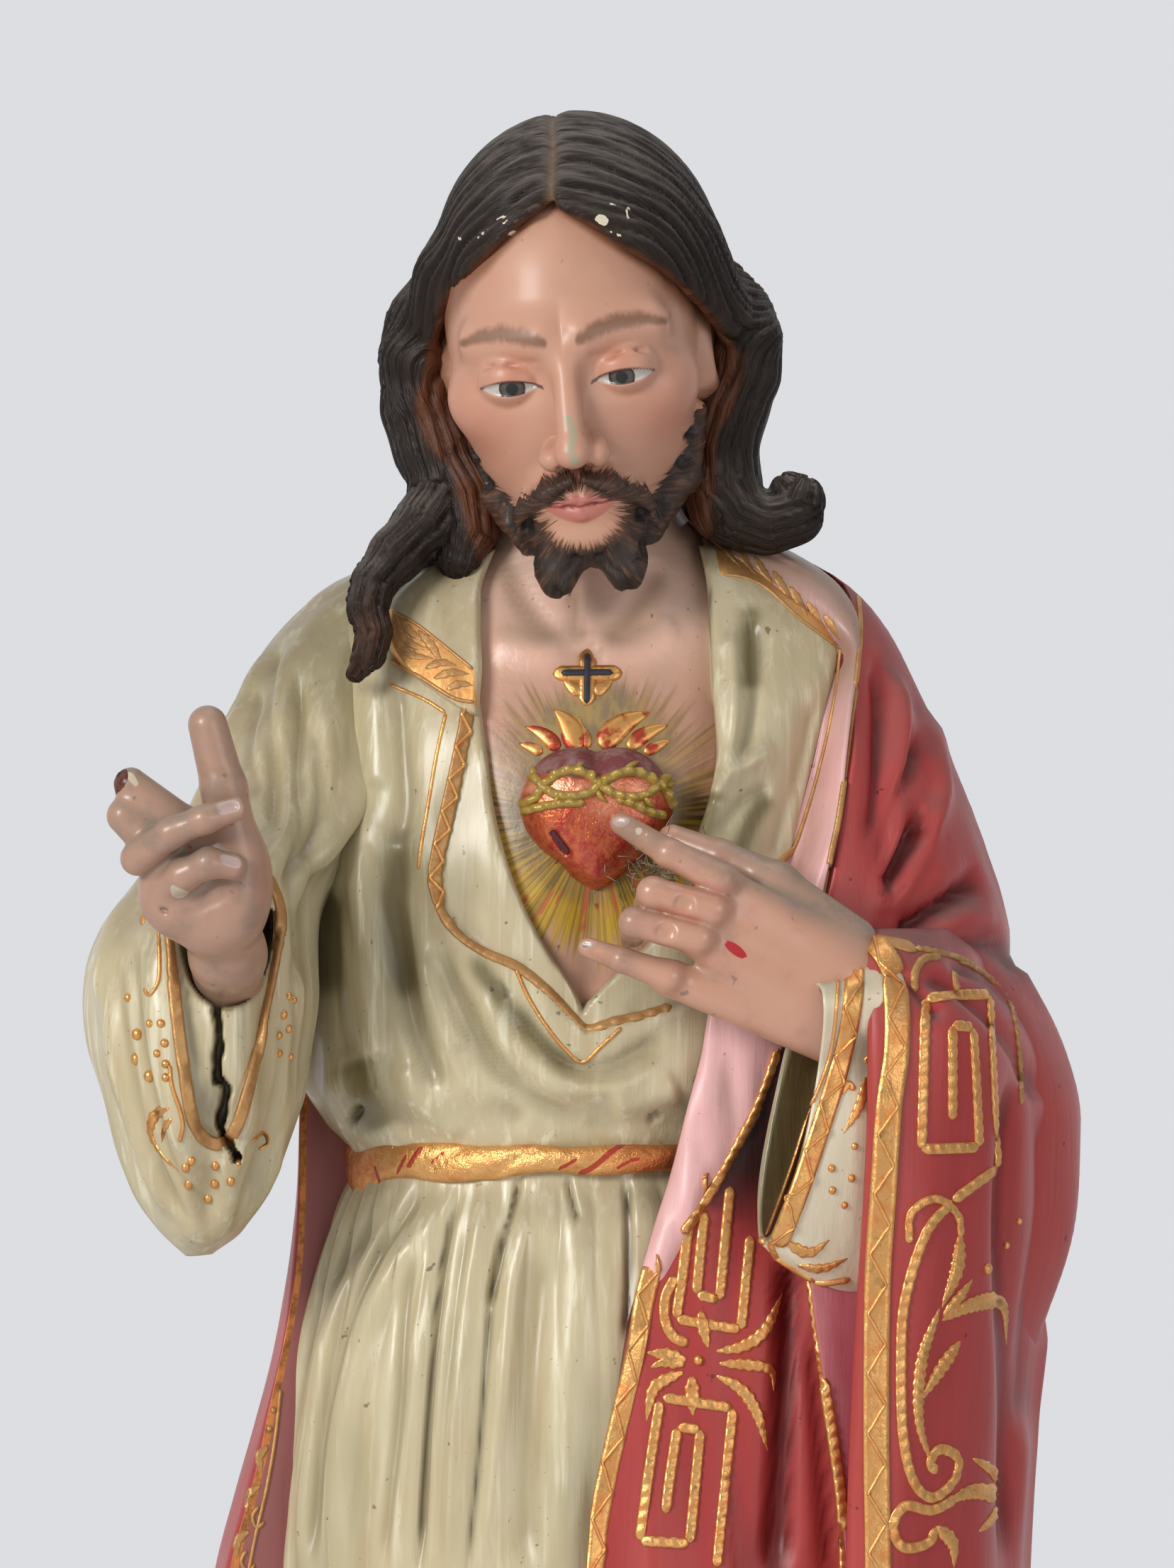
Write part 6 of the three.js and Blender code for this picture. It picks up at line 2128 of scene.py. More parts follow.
# Crown of thorns, the flames over it and the small cross
THORNS = [
    ["rope", 2.8, 1.8, [
        [724, 1102], [738, 1092], [756, 1100], [768, 1112], [785, 1122], [808, 1124], [830, 1120],
        [846, 1110], [862, 1098], [886, 1090], [908, 1094], [926, 1106], [940, 1122], [948, 1142],
    ]],
    ["rope", 2.8, 1.8, [
        [722, 1126], [738, 1135], [756, 1126], [768, 1110], [786, 1094], [810, 1088], [832, 1096],
        [848, 1110], [866, 1120], [890, 1126], [912, 1122], [930, 1108], [942, 1098], [954, 1112],
    ]],
    ["rope", 2.6, 1.5, [[726, 1150], [744, 1144], [770, 1138], [798, 1134], [826, 1134]]],
    ["rope", 2.6, 1.5, [[868, 1128], [892, 1134], [915, 1146], [940, 1152]]],
    ["tongue", 2.0, 1.7, [[812, 1090], [816, 1084], [824, 1076]]],
    ["tongue", 2.0, 1.7, [[880, 1090], [890, 1082], [902, 1075]]],
    ["tongue", 2.0, 1.7, [[752, 1098], [754, 1090], [750, 1082]]],
    ["tongue", 1.8, 1.6, [[908, 1124], [914, 1134], [924, 1142]]],
    ["tongue", 1.8, 1.6, [[790, 1124], [784, 1132], [780, 1140]]],
    ["tongue", 1.8, 1.6, [[842, 1116], [848, 1126], [858, 1134]]],
]
FLAMES = [
    ["tongue", 7.0, 1.0, [[814, 1060], [808, 1036], [797, 1017], [782, 1002]]],
    ["tongue", 4.6, 0.8, [[788, 1060], [775, 1044], [759, 1033], [741, 1026]]],
    ["tongue", 3.4, 0.7, [[766, 1064], [750, 1056], [732, 1050]]],
    ["tongue", 3.0, 0.6, [[828, 1058], [827, 1042], [819, 1026], [817, 1011]]],
    ["tongue", 7.2, 1.0, [[850, 1058], [862, 1036], [884, 1019], [916, 1006]]],
    ["tongue", 4.8, 0.8, [[886, 1058], [902, 1042], [922, 1031], [942, 1024]]],
    ["tongue", 3.4, 0.7, [[908, 1064], [926, 1054], [946, 1045]]],
]
CROSS_EDGE = in_crop(660, 900, 3.75, [
    ["band", 4.8, 0.8, [[632, 60], [630, 200], [628, 365]]],
    ["band", 4.6, 0.9, [[448, 195], [630, 192], [818, 190]]],
    ["tongue", 4.2, 0.8, [[600, 300], [560, 270], [500, 215]]],
    ["tongue", 4.2, 0.8, [[660, 300], [700, 270], [770, 215]]],
])
CROSS_FACE = in_crop(660, 900, 3.75, [
    ["band", 1.8, 0.7, [[633, 84], [631, 200], [628, 352]]],
    ["band", 1.8, 0.7, [[492, 190], [630, 188], [768, 186]]],
])


def make_thorns():
    paint = Paint("thorn_gilding", 0.38, metallic=0.3)
    tone = paint.noise(0.004, 3, seed=2.0)
    colour = paint.mix((0.4, 0.26, 0.045), (0.16, 0.11, 0.02), tone.step(0.4, 0.65))
    # Painted highlights on the ridges and painted shade in the hollows
    colour = paint.mix(colour, (0.62, 0.42, 0.12), paint.field("high") * tone.step(0.3, 0.6) * 0.7)
    paint.use("Base Color", paint.mix(colour, SHADE_AND_SOOT, paint.field("low") * 0.7))
    paint.use("Roughness", tone * 0.4 + 0.2)
    return paint.material


def make_flames():
    paint = Paint("flame_gilding", 0.32, metallic=0.7)
    tone = paint.noise(0.005, 3, seed=5.0)
    colour = paint.mix((0.78, 0.4, 0.12), (0.5, 0.07, 0.04), tone.step(0.47, 0.6))
    # Olive-dark in the hollows: painted shade
    paint.use("Base Color", paint.mix(colour, (0.3, 0.24, 0.05), paint.field("low") * 0.8))
    paint.use("Roughness", tone * 0.35 + 0.2)
    return paint.material


def make_black():
    paint = Paint("cross_black", 0.55)
    paint.use("Base Color", paint.mix((0.012, 0.014, 0.02), (0.03, 0.03, 0.04), paint.noise(0.003, 3)))
    return paint.material


ribbons("thorns", [heart], THORNS, make_thorns())
ribbons("flames", [chest], FLAMES, make_flames())
cross_edge = ribbons("cross_edge", [chest], CROSS_EDGE, gold)
ribbons("cross_face", [cross_edge], CROSS_FACE, make_black())


# Strips of cloth laid on the tunic: rows are [height, left, right, raised left, raised right]
STRIP_THICKNESS = 8.0


def tunic_front(x, z):
    half, deep, middle_x, middle_y = along(TUNIC, z)
    return middle_y - deep * np.sqrt(np.clip(1 - ((x - middle_x) / half) ** 2, 0.04, 1))


def laid_strip(rows, count, columns, gilding, swell=0.0, folds=(), shade_and_smudges=()):
    t, x, level = between_edges(rows, count, columns)
    left, right, raise_left, raise_right = [v[:, None] for v in along(rows, level[:, 0])]
    raised = raise_left + (raise_right - raise_left) * t + swell * np.sin(math.pi * t)
    # Its four sides roll under, over a width and by a depth in mm
    sides = np.minimum(t * (right - left), (1 - t) * (right - left))
    ends = np.minimum(level - rows[0][0], rows[-1][0] - level)
    rolled = 1 - np.clip(np.minimum(sides, ends) / 2.2, 0, 1)
    raised = raised - 2.6 * rolled**2.5
    over = stack(x, tunic_front(x, level) - raised, level)
    over[..., 1] -= pressed(over, folds) + 0.3 * ripple(over * [1, 1, 0.5], 14, 23)
    points = backed(over, tunic_front(x, level) + STRIP_THICKNESS)
    fields = {
        "gilt": ease(-2, 2, inside_of(*seen(points), gilding)),
        "shade_and_smudge": pressed(points, shade_and_smudges, True),
        "crevice_shade_and_grime": pressed(points, LAPEL_SEAM, True) ** 2,
    }
    return grid(points, fields)


COLLAR = [
    [650, -31, -28.5, 2.0, 1.6],
    [656, -40, -28, 3.0, 2.0],
    [664, -50, -27.5, 3.6, 2.4],
    [674, -55, -28, 3.8, 2.6],
    [684, -52, -28, 3.6, 3.0],
    [697, -37, -24, 2.6, 3.0],
]
LAPEL = [
    [588, 27, 46, 3.0, 3.0],
    [594, 26, 50, 8.0, 4.5],
    [603, 28, 55, 10.0, 5.0],
    [614, 31, 60, 10.0, 5.0],
    [626, 35, 62.5, 7.5, 5.0],
    [640, 37.5, 66, 6.0, 5.0],
    [655, 36.5, 69.5, 5.0, 5.5],
    [668, 36, 72.5, 4.5, 6.0],
    [676, 35.5, 68, 4.5, 6.0],
    [687, 35, 54, 4.5, 5.5],
    [698, 33, 42, 3.5, 4.0],
]
LAPEL_SEAM = [[5, 0, [[1003, 800], [1000, 880], [1001, 960], [1006, 1040], [1010, 1100]]]]
LAPEL_FOLDS = [
    [13, 2.8, [[1056, 860], [1062, 920], [1060, 1000], [1040, 1090]]],
    [13, -2.6, [[1030, 880], [1036, 960], [1036, 1040], [1020, 1090]]],
    [16, -2.8, [[1000, 1130], [1030, 1090], [1066, 1070], [1100, 1060]]],
    [12, 2.0, [[1080, 1230], [1100, 1160], [1130, 1060], [1150, 980]]],
    [10, 1.6, [[1010, 1180], [1050, 1130], [1090, 1110]]],
]
# Where the lapel is painted darker: grime, and painted shade low at its left
LAPEL_SHADE_AND_SMUDGES = [
    [14, 0, [[1058, 850], [1060, 900], [1058, 980]]],
    [20, 0, [[1000, 1110], [990, 1160], [980, 1200]]],
    [12, 0, [[1086, 1120], [1060, 1160], [1040, 1210]]],
]
collar = skin("collar", [laid_strip(COLLAR, 60, 46, COLLAR_GILT)], cream)
lapel_grid = laid_strip(LAPEL, 110, 44, LAPEL_GILT, swell=1.2, folds=LAPEL_FOLDS, shade_and_smudges=LAPEL_SHADE_AND_SMUDGES)
lapel = skin("lapel", [lapel_grid], cream)


# The mantle's pink lining beside the lapel and over the shoulder
SHOULDER_LINING = [
    [585, 42, 62], [594, 48, 65], [607, 55, 68], [621, 60, 71.5], [639, 65, 73.5], [654, 68, 75.5],
    [668, 71, 77.5], [676, 66, 77.5], [683, 58, 75], [690, 50, 69], [698, 38, 56], [705, 30, 36],
]


def shoulder_lining():
    t, x, level = between_edges(SHOULDER_LINING, 80, 30)
    near = tunic_front(x, level) - 4.5
    far = mantle_front(x, level) - 1.0
    y = near + (far - near) * ease(0, 1, t) - 1.4 * np.sin(math.pi * t)
    over = stack(x, y, level)
    over[..., 1] -= 0.4 * ripple(over * [1, 1, 0.4], 14, 37)
    points = backed(over, y + 9)
    return grid(points, {"dusty": ease(625, 672, points[..., 2])})


shoulder_pink = skin("shoulder_lining", [shoulder_lining()], pink)


# The tuft of dust: its place, its reach and the number of its threads
TUFT_PLACE = np.array([22.0, -64.0, 604.5])
TUFT_REACH = [4.0, 2.2, 5.0]
TUFT_THREADS = 130


def dust_tuft():
    """Grey fluff caught behind the forefinger: thin crooked threads."""
    chance = np.random.default_rng(17)
    turn = np.linspace(0, 2 * math.pi, 4)[None, :]
    threads = []
    for _ in range(TUFT_THREADS):
        place = TUFT_PLACE + chance.normal(0, 1, 3) * TUFT_REACH
        bend = chance.normal(0, 1, (11, 3)).cumsum(axis=0)
        line = place + np.cumsum(unit(bend + chance.normal(0, 1, 3) * 0.6) * 0.8, axis=0)
        ahead = unit(np.gradient(line, axis=0))
        side = unit(np.cross(ahead, [0.3, 1.0, 0.2]))
        over = np.cross(ahead, side)
        round_it = side[:, None] * np.cos(turn)[..., None] + over[:, None] * np.sin(turn)[..., None]
        threads.append(grid(line[:, None] + 0.15 * round_it))
    return threads


def make_dust():
    paint = Paint("dust_grey", 0.9)
    dim = paint.noise(0.003, 2).step(0.4, 0.65)
    paint.use("Base Color", paint.mix((0.36, 0.29, 0.22), (0.13, 0.1, 0.07), dim))
    return paint.material


skin("dust_tuft", dust_tuft(), make_dust())


# Gilt borders: a flat band along each edge, with a zigzag line or a twisted rope on it
def zigzag(line, half, step):
    """A line that crosses from side to side of another, in pixels."""
    fine = smooth_line(line, 12)
    length = np.hypot(*np.diff(fine, axis=0).T).sum()
    count = max(int(length / step), 2)
    fine = evenly(fine, count + 1, axes=2)
    ahead = unit(np.gradient(fine, axis=0))
    side = np.where(np.arange(count + 1) % 2, 1.0, -1.0)[:, None]
    turned = fine + np.stack([-ahead[:, 1], ahead[:, 0]], axis=-1) * side * half
    # Straight runs between the turns
    runs = [np.linspace(a, b, 5)[:-1] for a, b in zip(turned[:-1], turned[1:])]
    return np.concatenate([*runs, turned[-1:]])


# Lines of the borders, in pixels
FACING_BORDER = [
    [664, 940], [659, 1010], [650, 1059], [641, 1103], [630, 1152], [617, 1212], [614, 1245], [622, 1284],
]
FACING_LOWER = [
    [614, 1240], [622, 1284], [648, 1320], [686, 1345], [730, 1365], [773, 1398], [808, 1434], [830, 1451],
    [872, 1440], [905, 1433], [948, 1420],
]
FACING_THIN = [
    ["plain", 1.1, 0.5, [[549, 966], [599, 988], [629, 1007]]],
    ["plain", 1.1, 0.5, [[629, 1007], [615, 1070], [604, 1136], [593, 1201], [590, 1228]]],
    [
        "plain", 1.2, 0.6,
        [[728, 1369], [746, 1409], [774, 1453], [800, 1484], [822, 1499], [850, 1475], [877, 1450]],
    ],
]
COLLAR_BAND = [
    ["leaf", 2.6, 0.5, [[560, 868], [578, 892], [600, 906]]],
    ["leaf", 2.6, 0.5, [[556, 890], [580, 910], [606, 918]]],
    ["leaf", 2.4, 0.5, [[558, 912], [584, 926], [612, 930]]],
    ["leaf", 2.6, 0.5, [[590, 890], [610, 914], [624, 940]]],
    ["leaf", 2.6, 0.5, [[600, 944], [622, 936], [644, 940]]],
    ["leaf", 2.6, 0.5, [[612, 958], [636, 950], [662, 952]]],
    ["leaf", 2.4, 0.5, [[630, 974], [648, 966], [668, 968]]],
    ["plain", 1.2, 0.6, [[550, 932], [598, 960], [640, 986], [670, 992]]],
    ["plain", 1.0, 0.5, [[552, 862], [588, 882], [630, 915], [668, 946]]],
]
LAPEL_BAND = [
    ["plain", 1.0, 0.6, [[1020, 812], [1048, 816], [1082, 832], [1128, 874], [1184, 916]]],
    *alike(
        "leaf", 2.4, 0.5,
        [[1016, 760], [1028, 782], [1044, 800]],
        [[1040, 770], [1050, 790], [1066, 812]],
        [[1064, 786], [1076, 806], [1092, 826]],
        [[1090, 806], [1102, 826], [1116, 848]],
        [[1114, 828], [1126, 848], [1140, 870]],
        [[1138, 850], [1150, 868], [1164, 888]],
        [[1162, 868], [1174, 886], [1184, 904]],
    ),
]
LAPEL_LINE = [
    ["plain", 1.3, 0.6, [[1186, 915], [1178, 982], [1165, 1048], [1148, 1114], [1127, 1180], [1118, 1201]]],
    ["plain", 2.4, 0.8, [[1121, 1196], [1104, 1214], [1090, 1226], [1077, 1247]]],
]
MANTLE_BORDER_HIGH = [["plain", 1.8, 0.6, [
    [1209, 830], [1213, 870], [1212, 920], [1204, 993], [1195, 1070], [1184, 1150], [1168, 1228],
    [1153, 1304],
]]]
MANTLE_BORDER_LOW = [
    [1058, 1500], [1030, 1574], [984, 1674], [944, 1730], [914, 1812], [896, 1910], [868, 2030],
    [848, 2130], [838, 2230], [804, 2520], [776, 2812], [758, 3120], [745, 3430], [736, 3860], [730, 4280],
]
TURN_ROPE = [
    [
        "twist", 2.8, 1.2,
        [[1098, 1480], [1082, 1525], [1064, 1570], [1040, 1616], [1004, 1680], [962, 1742]],
    ],
]
LINING_ROPE = [["twist", 3.2, 1.2, [
    [1135, 1745], [1142, 1806], [1153, 1891], [1163, 1956], [1176, 2041], [1187, 2127],
    [1192, 2240], [1200, 2520], [1206, 2817], [1206, 3200], [1206, 3560],
]]]
FALL_BORDER = [
    [1222, 1324], [1240, 1338], [1257, 1366], [1265, 1420], [1264, 1490], [1254, 1560], [1246, 1680],
    [1238, 1800], [1236, 1920], [1236, 2060], [1238, 2240], [1234, 2520], [1230, 2821], [1226, 3200],
    [1222, 3540],
]
FALL_TOP = [
    ["band", 5.0, 0.6, [[1224, 1326], [1256, 1330], [1294, 1340]]],
    [
        "rope", 2.0, 0.9,
        [[1290, 1338], [1350, 1352], [1386, 1374], [1412, 1400], [1428, 1432], [1436, 1482], [1440, 1560]],
    ],
    ["rope", 2.4, 0.9, [[1290, 1402], [1290, 1374], [1302, 1354], [1326, 1350]]],
    ["rope", 2.4, 0.9, [[1344, 1370], [1350, 1402]]],
    ["plain", 1.4, 0.8, [[1352, 1358], [1366, 1362], [1380, 1372]]],
]
SLEEVE_RIM = [["band", 3.6, 0.9, [
    [238, 1310], [246, 1400], [258, 1500], [272, 1580], [292, 1610], [318, 1612], [338, 1580],
    [360, 1500], [378, 1410], [392, 1340], [396, 1290], [384, 1250], [372, 1236],
]]]
CUFF_RIM = [
    [
        "band", 5.6, 0.8,
        [[1200, 1318], [1206, 1345], [1202, 1420], [1186, 1500], [1158, 1590], [1128, 1680], [1096, 1760]],
    ],
    ["plain", 1.0, 0.8, [[1181, 1330], [1181, 1400], [1170, 1490], [1140, 1572], [1114, 1652], [1080, 1744]]],
    ["plain", 2.2, 0.9, [[1084, 1752], [1104, 1786], [1150, 1810], [1200, 1806]]],
]
BACK_RIM = [["plain", 2.2, 1.2, [[1108, 1475], [1085, 1560], [1065, 1650], [1055, 1725], [1080, 1755]]]]
tunic_parts = [bodice, skirt]

facing_edges = [["band", 4.4, 0.5, FACING_BORDER], ["plain", 3.0, 0.7, FACING_LOWER]]
facing_lines = [*FACING_THIN, ["plain", 1.2, 0.8, zigzag(FACING_BORDER, 8, 22)]]
facing_band = ribbons("facing_band", tunic_parts, facing_edges, dull_gold)
ribbons("facing_lines", [*tunic_parts, facing_band], facing_lines, gold)
ribbons("collar_band", [collar, *tunic_parts], COLLAR_BAND, dull_gold)
ribbons("lapel_band", [lapel, shoulder_pink], LAPEL_BAND, dull_gold)
ribbons("lapel_line", [lapel, shoulder_pink], LAPEL_LINE, dull_gold)
ribbons("mantle_border_high", [mantle, shoulder_pink], MANTLE_BORDER_HIGH, dull_gold)
low_band = ribbons("mantle_border_low", [mantle], [["band", 5.6, 0.6, MANTLE_BORDER_LOW]], gold)
ribbons("mantle_zigzag", [mantle, low_band], [["plain", 1.0, 0.7, zigzag(MANTLE_BORDER_LOW, 10, 40)]], gold)
ribbons("turn_rope", [turned_lining, mantle], TURN_ROPE, gold)
ribbons("lining_rope", [hanging_lining, mantle], LINING_ROPE, gold)
fall_band = ribbons("fall_border", [fall], [["band", 7.4, 0.6, FALL_BORDER]], gold)
ribbons("fall_zigzag", [fall, fall_band], [["plain", 1.0, 0.7, zigzag(FALL_BORDER, 12, 42)]], gold)
ribbons("fall_top", [fall], FALL_TOP, dull_gold)
ribbons("sleeve_rim", [sleeve], SLEEVE_RIM, dull_gold)
ribbons("cuff_rim", [cuff], CUFF_RIM + BACK_RIM, gold)
ribbons("cuff_zigzag", [cuff], [["plain", 0.9, 0.8, zigzag(CUFF_RIM[0][3], 11, 34)]], gold, raised=0.8)


# Gilt ornament of the mantle's front panel, of its fall, of the sleeve and of the cuff
PANEL = in_crop(820, 1640, 2.6212, [
    *alike(
        "twist", 3.1, 0.9,
        [[400, 190], [375, 400], [350, 580]],
        [[350, 580], [470, 600], [590, 620]],
        [[590, 620], [608, 440], [625, 270]],
        [[455, 180], [440, 330], [425, 490]],
        [[425, 490], [470, 500], [510, 510]],
        [[510, 510], [530, 300], [550, 90]],
        [[350, 420], [310, 500], [310, 590], [345, 650], [400, 672]],
    ),
    ["leaf", 4.0, 1.2, [[440, 550], [452, 615], [470, 690]]],
    ["dot", 3.0, 1.4, [[433, 733]]],
    ["leaf", 4.6, 1.2, [[408, 790], [410, 860], [412, 940]]],
    ["leaf", 4.0, 1.1, [[390, 735], [320, 712], [240, 705]]],
    ["leaf", 3.4, 1.1, [[385, 750], [310, 740], [255, 760]]],
    ["leaf", 3.8, 1.1, [[380, 775], [300, 810], [262, 850], [240, 960]]],
    ["leaf", 3.8, 1.1, [[500, 700], [600, 680], [680, 620], [745, 480]]],
    ["leaf", 3.6, 1.1, [[510, 745], [620, 750], [700, 770], [712, 850]]],
    ["leaf", 3.8, 1.1, [[500, 790], [590, 840], [650, 930], [690, 1070]]],
    *alike(
        "twist", 3.1, 0.9,
        [[300, 870], [430, 890], [560, 910]],
        [[560, 910], [530, 1200], [500, 1500]],
        [[290, 880], [250, 1140], [215, 1400]],
        [[215, 1400], [310, 1406], [400, 1410]],
        [[400, 1410], [420, 1200], [440, 990]],
        [[440, 990], [398, 984], [355, 980]],
        [[355, 980], [330, 1140], [310, 1300]],
    ),
])
FALL_SCROLLS = in_crop(1180, 1340, 1.7194, [
    *alike(
        "twist", 3.1, 0.9,
        [[280, 415], [280, 300], [280, 185]],
        [[280, 185], [305, 187], [330, 190]],
        [[330, 190], [338, 335], [345, 480]],
        [[345, 480], [275, 483], [205, 485]],
        [[205, 485], [210, 300], [215, 120]],
        [[215, 120], [290, 112], [370, 110]],
        [[370, 110], [380, 320], [390, 530]],
        [[390, 530], [335, 570], [280, 610]],
        [
            [280, 610], [215, 690], [165, 850], [155, 1000], [160, 1180], [185, 1290], [230, 1330],
            [282, 1290], [292, 1235], [250, 1212], [225, 1245], [245, 1270],
        ],
    ),
    ["twist", 2.4, 0.9, [[175, 715], [180, 640], [240, 605], [292, 645], [300, 700]]],
    ["leaf", 5.0, 1.2, [[300, 690], [290, 780], [255, 870]]],
    ["leaf", 4.0, 1.2, [[250, 870], [205, 1000], [200, 1150], [240, 1270]]],
    ["leaf", 5.0, 1.2, [[255, 900], [330, 862], [400, 860], [412, 960]]],
    ["leaf", 4.4, 1.2, [[300, 950], [250, 1020], [200, 1100]]],
    ["leaf", 3.6, 1.2, [[258, 890], [300, 840], [330, 800]]],
    ["dot", 3.2, 1.4, [[365, 775]]],
    *dots(1.2, [2.0, 410, 718], [1.8, 440, 660]),
    ["leaf", 5.0, 1.2, [[270, 1340], [330, 1315], [392, 1322]]],
    ["leaf", 3.6, 1.1, [[330, 1235], [370, 1260], [402, 1302]]],
    ["leaf", 3.6, 1.1, [[345, 1412], [372, 1386], [392, 1350]]],
    [
        "twist", 3.1, 0.9,
        [[290, 1330], [230, 1360], [165, 1350], [135, 1400], [160, 1450], [220, 1440], [240, 1400]],
    ],
    ["leaf", 4.4, 1.1, [[240, 1400], [280, 1440], [285, 1500]]],
])
SLEEVE_SPRIGS = in_crop(90, 1280, 2.885, [
    *dots(
        1.1,
        [2.4, 325, 50], [2.4, 262, 370], [2.2, 350, 475], [2.4, 395, 475], [2.2, 380, 597], [2.4, 410, 555],
        [2.4, 415, 640], [2.4, 415, 695], [2.2, 915, 365], [2.2, 935, 380], [2.4, 895, 440],
        [2.2, 915, 497], [2.2, 875, 525], [2.2, 877, 597], [2.0, 920, 612], [2.4, 520, 1035],
        [2.4, 497, 1062], [2.4, 618, 1055], [2.4, 615, 1128], [2.4, 508, 1135], [2.4, 680, 1118],
        [2.2, 710, 1040], [2.4, 588, 1190],
    ),
    *dots(1.3, [3.2, 298, 520], [3.2, 293, 620], [3.2, 348, 690]),
    ["plain", 1.1, 0.7, [[385, 100], [390, 200], [385, 300], [350, 360], [325, 330]]],
    ["leaf", 3.0, 0.9, [[430, 820], [370, 850], [355, 920], [400, 1010], [470, 1080]]],
    ["plain", 1.2, 0.8, [[430, 640], [440, 730], [470, 820], [485, 890], [470, 960]]],
    ["leaf", 2.4, 0.8, [[440, 860], [410, 900], [400, 960]]],
    ["plain", 1.1, 0.7, [[760, 960], [810, 920], [830, 960], [790, 990]]],
])
CUFF_SPRIG = [
    ["leaf", 3.0, 0.9, [[1222, 1520], [1212, 1560], [1190, 1600]]],
    ["leaf", 2.4, 0.9, [[1218, 1500], [1232, 1490], [1240, 1506]]],
    ["leaf", 2.4, 0.9, [[1206, 1540], [1196, 1530], [1188, 1546]]],
    *dots(1.0, [2.0, 1205, 1618], [2.2, 1173, 1649], [2.2, 1201, 1663], [2.2, 1174, 1680], [2.0, 1191, 1701]),
    ["leaf", 3.4, 1.0, [[1108, 1752], [1140, 1768], [1170, 1750]]],
    ["leaf", 3.0, 1.0, [[1124, 1786], [1160, 1790], [1196, 1776]]],
]
# A trail on the far lower edge of the mantle
FAR_ORNAMENT = [
    [
        "plain", 1.2, 0.7,
        [[396, 1960], [388, 2030], [376, 2100], [362, 2160], [350, 2220], [330, 2330], [318, 2480]],
    ],
    ["leaf", 2.6, 0.7, [[378, 2040], [366, 2056], [370, 2078]]],
    ["leaf", 2.6, 0.7, [[368, 2096], [350, 2110], [348, 2136]]],
    ["plain", 1.2, 0.7, [[366, 2124], [356, 2140], [362, 2156], [374, 2146]]],
    ["leaf", 2.6, 0.7, [[352, 2160], [336, 2174], [334, 2200]]],
    ["plain", 1.2, 0.7, [[348, 2186], [340, 2204], [350, 2218], [360, 2206]]],
    ["leaf", 2.6, 0.7, [[340, 2240], [324, 2258], [322, 2290]]],
    *dots(0.8, [1.8, 386, 1990], [1.8, 380, 2016]),
]


def lowered(lines, drops):
    """Ornament repeated further down and plainer: each drop is the pixels right and down."""
    return [
        ["plain" if kind == "twist" else kind, *size, [[x + right, y + down] for x, y in line]]
        for right, down in drops
        for kind, *size, line in lines
    ]


ribbons("panel_ornament", [mantle], PANEL + lowered(PANEL[7:], [[-40, 400], [-85, 950], [-105, 1550]]), gold)
ribbons("fall_ornament", [fall], FALL_SCROLLS + lowered(FALL_SCROLLS[9:], [[-6, 530], [-14, 1000]]), gold)
ribbons("far_ornament", [mantle], FAR_ORNAMENT, dull_gold)
ribbons("sleeve_ornament", [sleeve], SLEEVE_SPRIGS, gold)
ribbons("cuff_ornament", [cuff], CUFF_SPRIG, gold)


# Ground, feet and plinth
def make_ground():
    paint = Paint("ground_paint", 0.6)
    tone = paint.noise(0.02, 4, 0.6)
    colour = paint.mix((0.11, 0.1, 0.055), (0.2, 0.16, 0.09), tone.step(0.4, 0.65))
    dust = paint.field("up") * tone.step(0.45, 0.7) * 0.5
    paint.use("Base Color", paint.mix(colour, (0.32, 0.28, 0.22), dust))
    paint.use("Roughness", tone * 0.3 + 0.45)
    paint.bump(paint.noise(0.006, 4, seed=3.0), 0.0006)
    return paint.material


# Height of the ground and how far it is drawn in there
GROUND_HEIGHT = [0.3, 0.8, 2, 4, 6, 8, 9.5, 10.8, 11.8, 12.4, 12.8, 13, 13, 13, 13, 13]
GROUND_INSET = [1.4, 0.4, 0, 0, 0, 0.4, 1.1, 2.2, 3.8, 5.6, 8, 12, 24, 44, 64, 84]


def ground_grid():
    turn = np.linspace(0, 2 * math.pi, 241)[None, :]
    level = np.array(GROUND_HEIGHT)[:, None] + 0 * turn
    inset = np.array(GROUND_INSET)[:, None]
    points = stack((111.5 - inset) * np.cos(turn), (95.5 - inset * 0.95) * np.sin(turn), level)
    out = 0.7 * ripple(points, 26, 61) - 0.8
    return grid(pushed(points, np.minimum(out, 0) * ease(0.2, 2, level)))


skin("ground", [ground_grid()], make_ground())


# Toes from the big one outwards: [place across, tip, thickness]
TOES = [[-9.5, -90.5, 4.2], [-3.6, -89.5, 3.1], [1.2, -88, 2.9], [5.6, -86, 2.7], [9.4, -83, 2.5]]
FOOT_FIELDS = {"grey": 0.0, "pink": 0.0, "nail": 0.0, "wound": 0.0, "chip": 0.0, "core": 0.0}


def foot_grids(x, lean):
    rows = [
        [x, -24, 22, 13, 11],
        [x * 1.04, -48, 20.5, 13.5, 9],
        [x * 1.07, -66, 18, 14, 6.4],
        [x * 1.09, -78, 16.2, 13.2, 4.6],
        [x * 1.1, -82, 15.6, 12, 3.8],
    ]
    grids = [grid(limb(rows, 44, 40), FOOT_FIELDS)]
    for across, tip, thick in TOES:
        side = across * lean
        toe = [
            [x * 1.08 + side, -72, 16.8, thick, thick],
            [x * 1.1 + side * 1.05, tip + 5, 15.9, thick * 0.9, thick * 0.8],
            [x * 1.1 + side * 1.08, tip, 15.3, thick, thick * 0.85],
        ]
        grids.append(grid(limb(toe, 20, 18), FOOT_FIELDS))
    return grids


skin("feet", foot_grids(-34, -1) + foot_grids(30, 1), hand_paint)


